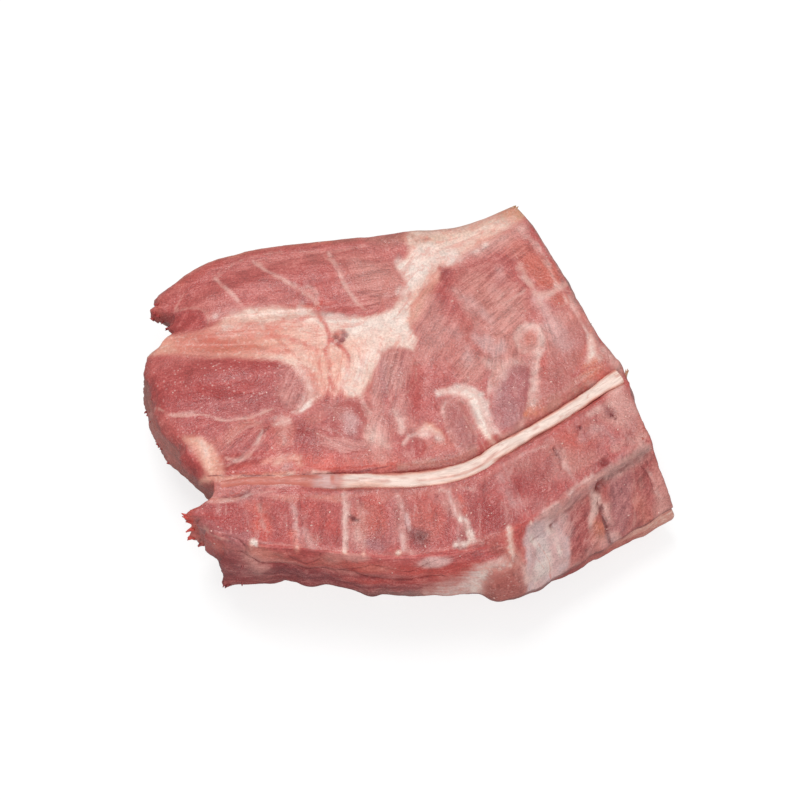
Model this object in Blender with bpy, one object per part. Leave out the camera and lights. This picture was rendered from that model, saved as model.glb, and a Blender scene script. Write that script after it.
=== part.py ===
import bpy
import bmesh
import math
import numpy as np

# Bone-in pork collar lying on its outer side, sawn face up.
# Plan axes in millimetres: +X towards the tail, +Y towards the back, +Z up.

MM = 0.001
GAP = 0.32

# faces closer to one plane than this are joined before they are cut into triangles
FLAT_ANGLE = math.radians(0.35)
WELD_DISTANCE = 0.06 * MM

# height of the sawn bone plane over the flat underside
SAWN_HEIGHT = 72.0
CUTTER_TOP = SAWN_HEIGHT + 14.0

# middle of the plan, from which the side walls swell, and the point moved to the origin at the end
WALL_CENTRE = (4.9, -3.5)
HALF_LENGTH = 147.0
HALF_WIDTH = 114.0
PLAN_CENTRE = (4.91, 0.69)

# usual length of the spine line and width from the canal to the back edge
LENGTH = 250.0
BACK_WIDTH = 150.0

# edges and lines of the sawn face in the plan, from the head end to the tail end
BACK_EDGE = ((-139, 60), (-116, 76), (-90, 86), (-57, 91), (0, 96.5), (34, 100.5), (65, 114))
CANAL_LINE = ((-107, -67), (-80, -63.5), (-37, -61.5), (0, -60), (27, -57), (43, -50.5),
              (54, -42.5), (87, -22), (121, 2))
BODY_EDGE = ((-104, -88), (-78, -96), (-54, -99), (-29, -102), (0, -103.5), (29, -100),
             (56, -90), (81, -77), (98, -64), (120, -47), (135, -37))
THROAT_EDGE = ((-97, -102), (-78, -106), (-60, -106.5), (-33, -107.5), (0, -113), (38, -111.5),
               (57, -116), (76, -108), (96, -95.5), (131, -74), (150.5, -62))

# how far the head end stands out past the straight cut, against the share of the cut's length
HEAD_RAG_BACK = ((0, 0), (0.04, -1), (0.2, 9), (0.43, 17), (0.62, 17.5), (0.72, 10), (0.79, -4),
                 (0.85, -2), (0.91, 5), (1, 1))
HEAD_RAG_BODY = ((0, 0), (0.3, 2), (0.5, 9), (0.7, 3), (1, 0))
HEAD_RAG_REACH = 46.0

# how far the tail-end cut bulges past a straight line, from the canal to the back edge
TAIL_BULGE = ((0, 0), (0.35, 0.6), (0.62, 2.0), (0.8, 2.4), (1, 0))
TAIL_BULGE_REACH = 30.0

# uneven throat edge: height of the waves and their lengths
THROAT_WAVES = ((1.1, 23.0, 0.4), (0.7, 13.0, 2.0))

# height of the border of the top face: share of the length, millimetres
BACK_HEIGHTS = ((0, 57), (0.15, 60), (0.5, 64), (0.8, 63), (1, 62))
THROAT_NECK_PROFILE = ((0, 72), (0.2, 71.4), (0.45, 67), (0.7, 58.5), (0.88, 48), (1, 36))
THROAT_CHEST_PROFILE = ((0, 72), (0.07, 70.5), (0.15, 64.5), (0.24, 60), (0.45, 52), (0.75, 42), (1, 31))
CHEST_START = 0.60
CHEST_FULL = 0.72
BACK_FALL_POWER = 1.5

# sag of the soft meat towards the head end
HEAD_SAG = 6.0
HEAD_SAG_ROW = 2.5
HEAD_SAG_LENGTH = 20.0

# radius of the rounded rim of the top face
RIM_BACK = 8.0
RIM_HEAD = 6.3
RIM_TAIL = 2.0

# side walls by side (tail, back, head, throat): swell and undercut in millimetres,
# share of the height at which the undercut starts, and how sharply it turns in
WALL_SWELL = (6.0, 5.0, 2.5, 0.5)
WALL_UNDERCUT = (5.0, 17.0, 14.0, 20.0)
UNDERCUT_START = (0.35, 0.42, 0.5, 0.98)
UNDERCUT_TURN = (2.2, 2.4, 2.0, 1.4)
WALL_STEPS = (1.0, 0.86, 0.7, 0.54, 0.38, 0.24, 0.13, 0.05, 0.0)

# low swells of single muscles: x, y, half length, half width, heading in degrees, height
SWELLS = ((-70, 60, 62, 17, 14, 2.6), (-98, 1, 40, 17, 4, 3.2), (-116, -44, 13, 11, 20, 2.4),
          (-60, -38, 26, 12, 0, 1.2), (2, -4, 12, 28, 4, 1.8), (30, 38, 22, 42, -24, 2.2),
          (88, 48, 16, 26, 20, 1.6), (-28, -26, 12, 12, 0, 0.8))
# hollows between them: x, y, half length, half width, heading in degrees, depth
HOLLOWS = ((-60, 42, 60, 5, 6, 1.4), (-96, 22, 34, 5, 0, 2.2), (12, 56, 44, 5, 48, 1.2),
           (-14, -10, 5, 26, 0, 1.0), (-90, -50, 26, 5, 8, 1.6), (70, 24, 12, 12, 0, 1.4),
           (0, -113, 52, 4, 0, 1.0))

# lattice of the meat: stations along the length and rows over the top face
STATIONS = 48
END_STEPS = (0.0, 1.0, 3.4, 8.0, 14.0)
ROWS_THROAT = 9
ROWS_BODY = 5
ROWS_BACK = 19
RIM_STEPS = (0.0, 0.9, 3.2, 8.0)

# the row of sawn vertebrae: places of the discs on the canal line and on the body edge
ROW_HEAD = (-103, -101)
DISC_PLACES = ((-79, -78), (-55, -54), (-29, -29), (0, 0), (24, 33), (51, 69), (77, 95), (103, 127))
ROW_TAIL = 1.1
DISC_HALF = 1.6
ROW_DEPTH = 15.5
ROW_INSET = 1.2
ROW_CORNER = 8.0
ROW_CORNER_SHAPE = ((0.0, 1.0), (0.16, 0.5), (0.5, 0.15), (1.0, 0.0))
PIECE_STATIONS = 5
TROUGH_STATIONS = 40

# the open canal and the pale nerve strand in it
CANAL_HALF = 6.0
CANAL_DEPTH = 7.4
STRAND_HALF_HEAD = 3.3
STRAND_HALF_TAIL = 4.4
STRAND_RISE = 3.6
STRAND_DEPTH = 3.4
STRAND_SHIFT = -0.8
STRAND_STATIONS = 38
STRAND_SIDES = 10
STRAND_START = 0.012
STRAND_STOP = 0.994
CANAL_STATIONS = 40
CANAL_OVERRUN = 0.12

# bone ends of the arches over the canal: x, y, half length, half width, heading in degrees, depth
ARCH_ENDS = ((-27.6, -25.6, 12, 9, 80, 14), (8.5, -43, 5.5, 5, 70, 10), (32, -28.8, 15, 6, 104, 14),
             (61, -12, 20, 10, 74, 16), (90, 9, 27, 8.5, 68, 16), (112.5, 12.5, 7, 4.5, 60, 10))
# rounded foot of a let-in piece: share of its depth and of its half width
FOOT_LEVELS = ((0.42, 1.0), (0.13, 0.86), (0.0, 0.57))
ARCH_SIDES = 20
ARCH_SQUARENESS = 2.6

# fat seam between the muscles: x, y, half width
FAT_BAND = ((-150, 19, 4), (-129, 24, 4.5), (-100, 28, 7), (-72, 32, 10), (-45, 32, 14), (-18, 34, 15),
            (4, 50, 12), (20, 70, 12), (40, 89, 10), (58, 103, 6), (76, 120, 4))
FAT_ARM = ((-28, 28, 17), (-22, 10, 11), (-19, -2, 6), (-17, -9, 4))
FAT_FLOOR = 42.0
FAT_PATCH = ((33, -9.5, 2.2), (40.5, -12.5, 4.2), (43, -20, 4.2), (45, -28, 3.2), (47, -35, 2))
FAT_PATCH_FLOOR = 58.0

# ribs on the chest side: x, y, half width, height of the underside
RIBS = (((81.5, -84, 9, 42), (82.5, -94, 10.5, 33), (83, -108, 10, 16), (83, -130, 9, 16)),
        ((106, -65, 4, 42), (111, -74, 5, 33), (118, -88, 6, 16), (125, -104, 6, 16)),
        ((144, -44, 6.5, 40), (149, -55, 7, 32), (156, -69, 7.5, 18), (163, -84, 7.5, 18)))

COLOURS = {
    "meat": (0.50, 0.155, 0.135),
    "bone": (0.47, 0.135, 0.125),
    "disc": (0.66, 0.36, 0.32),
    "nerve": (0.80, 0.58, 0.46),
    "fat": (0.80, 0.56, 0.47),
    "rib": (0.58, 0.33, 0.31),
}
ROUGHNESS = {"meat": 0.42, "bone": 0.55, "disc": 0.4, "nerve": 0.38, "fat": 0.45, "rib": 0.35}


def clamp(value, low=0.0, high=1.0):
    return max(low, min(high, value))


def smooth(value):
    value = clamp(value)
    return value * value * (3.0 - 2.0 * value)


def dense_line(points):
    """Smooth line through the points, with the share of its length at each sample."""
    points = np.array(points, dtype=float)
    ends = np.vstack([2 * points[0] - points[1], points, 2 * points[-1] - points[-2]])
    samples = []
    for k in range(1, len(ends) - 2):
        a, b, c, d = ends[k - 1], ends[k], ends[k + 1], ends[k + 2]
        for t in np.linspace(0, 1, 24, endpoint=False):
            samples.append(0.5 * (2 * b + (c - a) * t + (2 * a - 5 * b + 4 * c - d) * t ** 2
                                  + (3 * b - a - 3 * c + d) * t ** 3))
    samples.append(points[-1])
    samples = np.array(samples)
    steps = np.linalg.norm(np.diff(samples[:, :2], axis=0), axis=1)
    share = np.concatenate([[0.0], np.cumsum(steps)])
    return samples, share / share[-1]


def point_on(line, share):
    """Point at a share of the length; past the ends the line goes on straight."""
    samples, shares = line
    if share < 0.0:
        return samples[0] + (samples[1] - samples[0]) / shares[1] * share
    if share > 1.0:
        return samples[-1] + (samples[-1] - samples[-2]) / (shares[-1] - shares[-2]) * (share - 1.0)
    return np.array([np.interp(share, shares, samples[:, k]) for k in range(samples.shape[1])])


def share_at_x(line, x):
    samples, shares = line
    return float(np.interp(x, samples[:, 0], shares))


def curve_value(pairs, x):
    """Smooth value through pairs of place and value."""
    xs = [p[0] for p in pairs]
    for k in range(len(xs) - 1):
        if x <= xs[k + 1]:
            t = smooth((x - xs[k]) / (xs[k + 1] - xs[k]))
            return pairs[k][1] + (pairs[k + 1][1] - pairs[k][1]) * t
    return pairs[-1][1]


def line_value(pairs, x):
    return float(np.interp(x, [p[0] for p in pairs], [p[1] for p in pairs]))


BACK = dense_line(BACK_EDGE)
CANAL = dense_line(CANAL_LINE)
BODY = dense_line(BODY_EDGE)
THROAT = dense_line(THROAT_EDGE)


def plan_point(share, row):
    """Plan of the top face. row 0 is the throat edge, 1 the body edge, 2 the canal, 3 the back edge."""
    stops = (THROAT, BODY, CANAL, BACK)
    k = min(int(row), 2)
    part = row - k
    near = point_on(stops[k], share)[:2]
    far = point_on(stops[k + 1], share)[:2]
    point = near + (far - near) * part
    along = point_on(stops[k], 0.03)[:2] - point_on(stops[k], 0.0)[:2]
    if k == 2:
        start = point_on(CANAL, 0.0)[:2]
        stop = point_on(BACK, 0.0)[:2]
        rag = curve_value(HEAD_RAG_BACK, part)
    else:
        start = point_on(BODY, 0.0)[:2]
        stop = point_on(CANAL, 0.0)[:2]
        rag = curve_value(HEAD_RAG_BODY, part) if k == 1 else 0.0
    side = stop - start
    out = np.array([-side[1], side[0]]) / np.linalg.norm(side)
    if np.dot(out, along) > 0:
        out = -out
    fade = 1.0 - smooth(share * LENGTH / HEAD_RAG_REACH)
    point = point + out * rag * fade
    if k == 2:
        rise = 1.0 - smooth((1.0 - share) * LENGTH / TAIL_BULGE_REACH)
        ahead = point_on(CANAL, 1.0)[:2] - point_on(CANAL, 0.95)[:2]
        point = point + ahead / np.linalg.norm(ahead) * curve_value(TAIL_BULGE, part) * rise
    if k == 0:
        wave = sum(h * math.sin(math.tau * share * LENGTH / w + p) for h, w, p in THROAT_WAVES)
        point = point + np.array([0.0, -1.0]) * wave * (1.0 - part) ** 2
    return point


def bump(x, y, place):
    cx, cy, half_length, half_width, heading, height = place
    turn = math.radians(heading)
    u = ((x - cx) * math.cos(turn) + (y - cy) * math.sin(turn)) / half_length
    v = (-(x - cx) * math.sin(turn) + (y - cy) * math.cos(turn)) / half_width
    r = u * u + v * v
    return height * (1.0 - r) ** 2 if r < 1.0 else 0.0


def rim_drop(distance, radius):
    if distance >= radius:
        return 0.0
    return radius - math.sqrt(max(0.0, radius ** 2 - (radius - distance) ** 2))


def top_height(share, row, x, y):
    from_head = share * LENGTH
    if row >= 2:
        part = row - 2
        edge = curve_value(BACK_HEIGHTS, share)
        z = SAWN_HEIGHT - (SAWN_HEIGHT - edge) * part ** BACK_FALL_POWER
        soft = smooth(part / 0.12)
    elif row >= 1:
        z = SAWN_HEIGHT
        soft = 0.0
    else:
        part = 1.0 - row
        neck = line_value(THROAT_NECK_PROFILE, part)
        chest = line_value(THROAT_CHEST_PROFILE, part)
        mix = smooth((share - CHEST_START) / (CHEST_FULL - CHEST_START))
        z = neck + (chest - neck) * mix
        soft = smooth(part / 0.5)
    z -= (HEAD_SAG_ROW + (HEAD_SAG - HEAD_SAG_ROW) * soft) * math.exp(-from_head / HEAD_SAG_LENGTH)
    for place in SWELLS:
        z += bump(x, y, place) * soft
    for place in HOLLOWS:
        z -= bump(x, y, place) * soft
    z -= rim_drop(from_head, RIM_HEAD)
    z -= rim_drop((1.0 - share) * LENGTH, RIM_TAIL)
    if row > 2:
        width = np.linalg.norm(point_on(BACK, share) - point_on(CANAL, share))
        z -= rim_drop((3.0 - row) * width, RIM_BACK)
    return z


def station_shares():
    ends = [s / LENGTH for s in END_STEPS]
    inner = list(np.linspace(ends[-1], 1.0 - ends[-2], STATIONS - len(ends)))
    tail = [1.0 - s for s in reversed(ends[:-2])]
    return ends[:-1] + inner + tail


def row_places():
    rows = list(np.linspace(0.0, 1.0, ROWS_THROAT))
    rows += list(np.linspace(1.0, 2.0, ROWS_BODY))[1:]
    rim = [3.0 - s / BACK_WIDTH for s in reversed(RIM_STEPS)]
    rows += list(np.linspace(2.0, rim[0], ROWS_BACK - len(rim) + 2))[1:]
    return rows + rim[1:]


def side_value(values, x, y):
    """Mix of the four side values by the heading from the middle of the plan."""
    u = (x - WALL_CENTRE[0]) / HALF_LENGTH
    v = (y - WALL_CENTRE[1]) / HALF_WIDTH
    weights = (max(u, 0) ** 3, max(v, 0) ** 3, max(-u, 0) ** 3, max(-v, 0) ** 3)
    return sum(w * value for w, value in zip(weights, values)) / sum(weights)


def wall_offset(x, y, share):
    swell = side_value(WALL_SWELL, x, y)
    undercut = side_value(WALL_UNDERCUT, x, y)
    start = side_value(UNDERCUT_START, x, y)
    turn = side_value(UNDERCUT_TURN, x, y)
    offset = swell * math.sin(math.pi * clamp((1.0 - share) / 0.9)) ** 1.2
    if share < start:
        offset -= undercut * (1.0 - share / start) ** turn
    return offset


def new_object(name, vertices, faces):
    mesh = bpy.data.meshes.new(name)
    mesh.from_pydata([tuple(float(c) * MM for c in v) for v in vertices], [], faces)
    mesh.validate()
    work = bmesh.new()
    work.from_mesh(mesh)
    bmesh.ops.recalc_face_normals(work, faces=work.faces)
    bmesh.ops.triangulate(work, faces=work.faces)
    work.to_mesh(mesh)
    work.free()
    thing = bpy.data.objects.new(name, mesh)
    bpy.context.scene.collection.objects.link(thing)
    return thing


def collar_block():
    """The whole joint as one closed block: top face, four walls and a flat underside."""
    shares = station_shares()
    rows = row_places()
    count_i, count_j = len(shares), len(rows)
    vertices = []
    for share in shares:
        for row in rows:
            x, y = plan_point(share, row)
            vertices.append((x, y, top_height(share, row, x, y)))
    faces = []
    for i in range(count_i - 1):
        for j in range(count_j - 1):
            a = i * count_j + j
            faces.append((a, a + count_j, a + count_j + 1, a + 1))
    border = [(i, 0) for i in range(count_i)]
    border += [(count_i - 1, j) for j in range(1, count_j)]
    border += [(i, count_j - 1) for i in range(count_i - 2, -1, -1)]
    border += [(0, j) for j in range(count_j - 2, 0, -1)]
    ring = [i * count_j + j for i, j in border]
    for share in WALL_STEPS[1:]:
        lower = []
        for i, j in border:
            x, y, z = vertices[i * count_j + j]
            away = np.array([x - WALL_CENTRE[0], y - WALL_CENTRE[1]])
            away = away / np.linalg.norm(away)
            offset = wall_offset(x, y, share)
            lower.append(len(vertices))
            vertices.append((x + away[0] * offset, y + away[1] * offset, z * share))
        for k in range(len(ring)):
            n = (k + 1) % len(ring)
            faces.append((ring[k], ring[n], lower[n], lower[k]))
        ring = lower
    faces.append(tuple(ring))
    return new_object("block", vertices, faces)


def stacked_rings(name, rings):
    """Closed solid from rings with the same number of points."""
    count = len(rings[0])
    vertices = [point for ring in rings for point in ring]
    faces = [tuple(range(count))]
    for r in range(len(rings) - 1):
        for k in range(count):
            n = (k + 1) % count
            faces.append((r * count + k, r * count + n, (r + 1) * count + n, (r + 1) * count + k))
    faces.append(tuple((len(rings) - 1) * count + k for k in reversed(range(count))))
    return new_object(name, vertices, faces)


def oval_prism(name, place, grow):
    """Upright peg with an oval, slightly uneven outline and a rounded foot."""
    cx, cy, half_length, half_width, heading, depth = place
    turn = math.radians(heading)
    foot = SAWN_HEIGHT - depth - grow
    rings = []
    for level, scale in ((None, 1.0),) + FOOT_LEVELS:
        z = CUTTER_TOP if level is None else foot + depth * level
        ring = []
        for k in range(ARCH_SIDES):
            angle = 2.0 * math.pi * k / ARCH_SIDES
            c, s = math.cos(angle), math.sin(angle)
            radius = (abs(c) ** ARCH_SQUARENESS + abs(s) ** ARCH_SQUARENESS) ** (-1.0 / ARCH_SQUARENESS)
            radius *= 1.0 + 0.05 * math.sin(3.0 * angle + cx)
            u = (half_length * scale + grow) * radius * c
            v = (half_width * scale + grow) * radius * s
            ring.append((cx + u * math.cos(turn) - v * math.sin(turn),
                         cy + u * math.sin(turn) + v * math.cos(turn), z))
        rings.append(ring)
    return stacked_rings(name, rings)


def band_prism(name, places, grow, foot, stations):
    """Upright wall along a smooth line of centre points and half widths, narrower at its foot."""
    if len(places[0]) == 3:
        places = [tuple(p) + (foot,) for p in places]
    line = dense_line(places)
    left, right, feet = [], [], []
    for k in range(stations):
        share = k / (stations - 1)
        x, y, half, low = point_on(line, share)
        ahead = point_on(line, share + 0.01)[:2] - point_on(line, share - 0.01)[:2]
        ahead = ahead / np.linalg.norm(ahead)
        side = np.array([-ahead[1], ahead[0]])
        centre = np.array([x, y])
        if k == 0:
            centre = centre - ahead * grow
        if k == stations - 1:
            centre = centre + ahead * grow
        left.append((centre, side * (half + grow)))
        right.append((centre, -side * (half + grow)))
        feet.append(low - grow)
    rings = []
    for level, scale in ((None, 1.0),) + FOOT_LEVELS:
        ring = []
        order = [(left[k], feet[k]) for k in range(stations)]
        order += [(right[k], feet[k]) for k in reversed(range(stations))]
        for (centre, side), low in order:
            z = CUTTER_TOP if level is None else low + level * (SAWN_HEIGHT - low)
            point = centre + side * scale
            ring.append((point[0], point[1], z))
        rings.append(ring)
    return stacked_rings(name, rings)


def row_section(share_canal, share_body, grow):
    """Rounded trough section across the vertebrae, from the body edge to the canal wall."""
    outer = point_on(BODY, share_body)[:2]
    inner = point_on(CANAL, share_canal)[:2]
    across = inner - outer
    width = np.linalg.norm(across)
    across = across / width
    low = ROW_INSET - grow
    high = width - CANAL_HALF + grow
    foot = SAWN_HEIGHT - ROW_DEPTH - grow
    side = [(0.0, CUTTER_TOP)] + [(u * ROW_CORNER, foot + z * ROW_CORNER) for u, z in ROW_CORNER_SHAPE]
    points = [(low + u, z) for u, z in side] + [(high - u, z) for u, z in reversed(side)]
    return [(outer[0] + across[0] * w, outer[1] + across[1] * w, z) for w, z in points]


def row_prism(name, start, stop, grow, stations, slack=0.0):
    """Length of the vertebra row between two places, each a pair of shares on canal and body edge."""
    rings = []
    for k in range(stations):
        t = k / (stations - 1)
        canal = start[0] + (stop[0] - start[0]) * t
        body = start[1] + (stop[1] - start[1]) * t
        if k == 0:
            canal += slack / LENGTH
            body += slack / LENGTH
        if k == stations - 1:
            canal -= slack / LENGTH
            body -= slack / LENGTH
        rings.append(row_section(canal, body, grow))
    return stacked_rings(name, rings)


def swept_ring(share, half):
    x, y = point_on(CANAL, share)[:2]
    ahead = point_on(CANAL, share + 0.02)[:2] - point_on(CANAL, share - 0.02)[:2]
    ahead = ahead / np.linalg.norm(ahead)
    side = np.array([-ahead[1], ahead[0]])
    ring = []
    for k in range(STRAND_SIDES):
        angle = 2.0 * math.pi * k / STRAND_SIDES
        w = STRAND_SHIFT + half * math.cos(angle)
        z = SAWN_HEIGHT - STRAND_DEPTH + STRAND_RISE * math.sin(angle)
        ring.append((x + side[0] * w, y + side[1] * w, z))
    return ring


def strand_solid():
    rings = []
    for k in range(STRAND_STATIONS):
        t = k / (STRAND_STATIONS - 1)
        share = STRAND_START + (STRAND_STOP - STRAND_START) * t
        half = STRAND_HALF_HEAD + (STRAND_HALF_TAIL - STRAND_HALF_HEAD) * smooth(2.0 * t)
        rings.append(swept_ring(share, half))
    return stacked_rings("nerve_strand", rings)


def canal_cutter():
    """Open groove with a round floor along the canal."""
    rings = []
    for k in range(CANAL_STATIONS):
        share = -CANAL_OVERRUN + (1.0 + 2.0 * CANAL_OVERRUN) * k / (CANAL_STATIONS - 1)
        x, y = point_on(CANAL, share)[:2]
        ahead = point_on(CANAL, share + 0.02)[:2] - point_on(CANAL, share - 0.02)[:2]
        ahead = ahead / np.linalg.norm(ahead)
        side = np.array([-ahead[1], ahead[0]])
        floor = SAWN_HEIGHT - CANAL_DEPTH
        profile = [(-CANAL_HALF - 0.6, CUTTER_TOP), (-CANAL_HALF - 0.6, floor + 3.0), (-3.6, floor + 0.5),
                   (0.0, floor), (3.6, floor + 0.8), (CANAL_HALF, floor + 4.0),
                   (CANAL_HALF + 0.6, CUTTER_TOP)]
        rings.append([(x + side[0] * w, y + side[1] * w, z) for w, z in profile])
    return stacked_rings("canal", rings)


def boolean(target, cutter, operation):
    step = target.modifiers.new("step", "BOOLEAN")
    step.operation = operation
    step.solver = "EXACT"
    step.object = cutter
    graph = bpy.context.evaluated_depsgraph_get()
    result = bpy.data.meshes.new_from_object(target.evaluated_get(graph))
    target.modifiers.clear()
    old = target.data
    target.data = result
    bpy.data.meshes.remove(old)


def discard(thing):
    mesh = thing.data
    bpy.data.objects.remove(thing)
    bpy.data.meshes.remove(mesh)


def copy_of(thing, name):
    twin = bpy.data.objects.new(name, thing.data.copy())
    bpy.context.scene.collection.objects.link(twin)
    return twin


def tidy_mesh(thing):
    work = bmesh.new()
    work.from_mesh(thing.data)
    bmesh.ops.remove_doubles(work, verts=work.verts, dist=WELD_DISTANCE)
    bmesh.ops.dissolve_degenerate(work, edges=work.edges, dist=WELD_DISTANCE)
    bmesh.ops.dissolve_limit(work, angle_limit=FLAT_ANGLE, verts=work.verts, edges=work.edges)
    bmesh.ops.triangulate(work, faces=work.faces)
    work.to_mesh(thing.data)
    work.free()


def material(name):
    skin = bpy.data.materials.new(name)
    skin.use_nodes = True
    shader = skin.node_tree.nodes["Principled BSDF"]
    shader.inputs["Base Color"].default_value = COLOURS[name] + (1.0,)
    shader.inputs["Roughness"].default_value = ROUGHNESS[name]
    shader.inputs["Metallic"].default_value = 0.0
    skin.diffuse_color = COLOURS[name] + (1.0,)
    return skin


def finish_object(thing, skin):
    thing.data.materials.clear()
    own = skin.copy()
    own.name = thing.name + "_" + skin.name
    thing.data.materials.append(own)
    for face in thing.data.polygons:
        face.material_index = 0
        face.use_smooth = True


def build():
    for thing in list(bpy.data.objects):
        bpy.data.objects.remove(thing)
    block = collar_block()
    meat = copy_of(block, "meat")
    pieces = []

    def inlay(name, body, skin):
        """Piece with the top face of the block."""
        body.name = name
        boolean(body, block, "INTERSECT")
        pieces.append((body, skin))

    def pocket(cutter):
        boolean(meat, cutter, "DIFFERENCE")
        discard(cutter)

    marks = [(share_at_x(CANAL, a), share_at_x(BODY, b)) for a, b in (ROW_HEAD,) + DISC_PLACES]
    marks.append((ROW_TAIL, ROW_TAIL))
    half = DISC_HALF / LENGTH
    for k in range(len(marks) - 1):
        start = marks[k] if k == 0 else (marks[k][0] + half, marks[k][1] + half)
        stop = (marks[k + 1][0] - half, marks[k + 1][1] - half)
        inlay("vertebra_%d" % (k + 1), row_prism("v", start, stop, 0.0, PIECE_STATIONS), "bone")
        if k + 2 < len(marks):
            a = (marks[k + 1][0] - half, marks[k + 1][1] - half)
            b = (marks[k + 1][0] + half, marks[k + 1][1] + half)
            inlay("disc_%d" % (k + 1), row_prism("d", a, b, 0.0, 3, slack=GAP), "disc")
    gap_share = GAP / LENGTH
    head = (marks[0][0] - gap_share, marks[0][1] - gap_share)
    pocket(row_prism("trough", head, (ROW_TAIL + gap_share, ROW_TAIL + gap_share), GAP, TROUGH_STATIONS))
    pocket(canal_cutter())
    for k, place in enumerate(ARCH_ENDS):
        inlay("arch_end_%d" % (k + 1), oval_prism("a", place, 0.0), "bone")
        pocket(oval_prism("c", place, GAP))
    fat = band_prism("fat", FAT_BAND, 0.0, FAT_FLOOR, stations=26)
    arm = band_prism("arm", FAT_ARM, 0.0, FAT_FLOOR + 6.0, stations=10)
    boolean(fat, arm, "UNION")
    discard(arm)
    inlay("fat_seam", fat, "fat")
    pocket(band_prism("c", FAT_BAND, GAP, FAT_FLOOR, stations=26))
    pocket(band_prism("c", FAT_ARM, GAP, FAT_FLOOR + 6.0, stations=10))
    inlay("fat_patch", band_prism("p", FAT_PATCH, 0.0, FAT_PATCH_FLOOR, stations=9), "fat")
    pocket(band_prism("c", FAT_PATCH, GAP, FAT_PATCH_FLOOR, stations=9))
    for k, places in enumerate(RIBS):
        inlay("rib_%d" % (k + 1), band_prism("r", places, 0.0, None, stations=9), "rib")
        pocket(band_prism("c", places, GAP, None, stations=9))
    discard(block)
    pieces.append((strand_solid(), "nerve"))
    pieces.append((meat, "meat"))
    skins = {name: material(name) for name in COLOURS}
    for thing, skin in pieces:
        tidy_mesh(thing)
        for vertex in thing.data.vertices:
            vertex.co.x -= PLAN_CENTRE[0] * MM
            vertex.co.y -= PLAN_CENTRE[1] * MM
        finish_object(thing, skins[skin])
        print(thing.name, len(thing.data.polygons))
    for skin in skins.values():
        bpy.data.materials.remove(skin)


build()
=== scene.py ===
import math
import bpy
import numpy as np
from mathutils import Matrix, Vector


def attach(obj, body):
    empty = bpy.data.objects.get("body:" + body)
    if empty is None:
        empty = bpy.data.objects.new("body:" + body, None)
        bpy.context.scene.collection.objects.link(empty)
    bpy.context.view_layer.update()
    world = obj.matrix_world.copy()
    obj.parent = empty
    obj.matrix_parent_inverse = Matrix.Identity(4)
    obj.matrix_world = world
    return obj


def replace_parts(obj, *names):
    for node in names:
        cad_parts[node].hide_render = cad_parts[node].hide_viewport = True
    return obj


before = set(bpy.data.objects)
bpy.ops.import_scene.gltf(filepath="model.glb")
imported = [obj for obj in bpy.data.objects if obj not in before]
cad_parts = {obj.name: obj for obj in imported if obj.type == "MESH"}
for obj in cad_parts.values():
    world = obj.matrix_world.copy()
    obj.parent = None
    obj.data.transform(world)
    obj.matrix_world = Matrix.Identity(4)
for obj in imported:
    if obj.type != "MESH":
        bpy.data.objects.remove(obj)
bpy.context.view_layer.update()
print("frame loaded:", len(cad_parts), "nodes")

mm = 0.001  # the plan below is in millimetres, and becomes metres where a mesh is made

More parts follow.
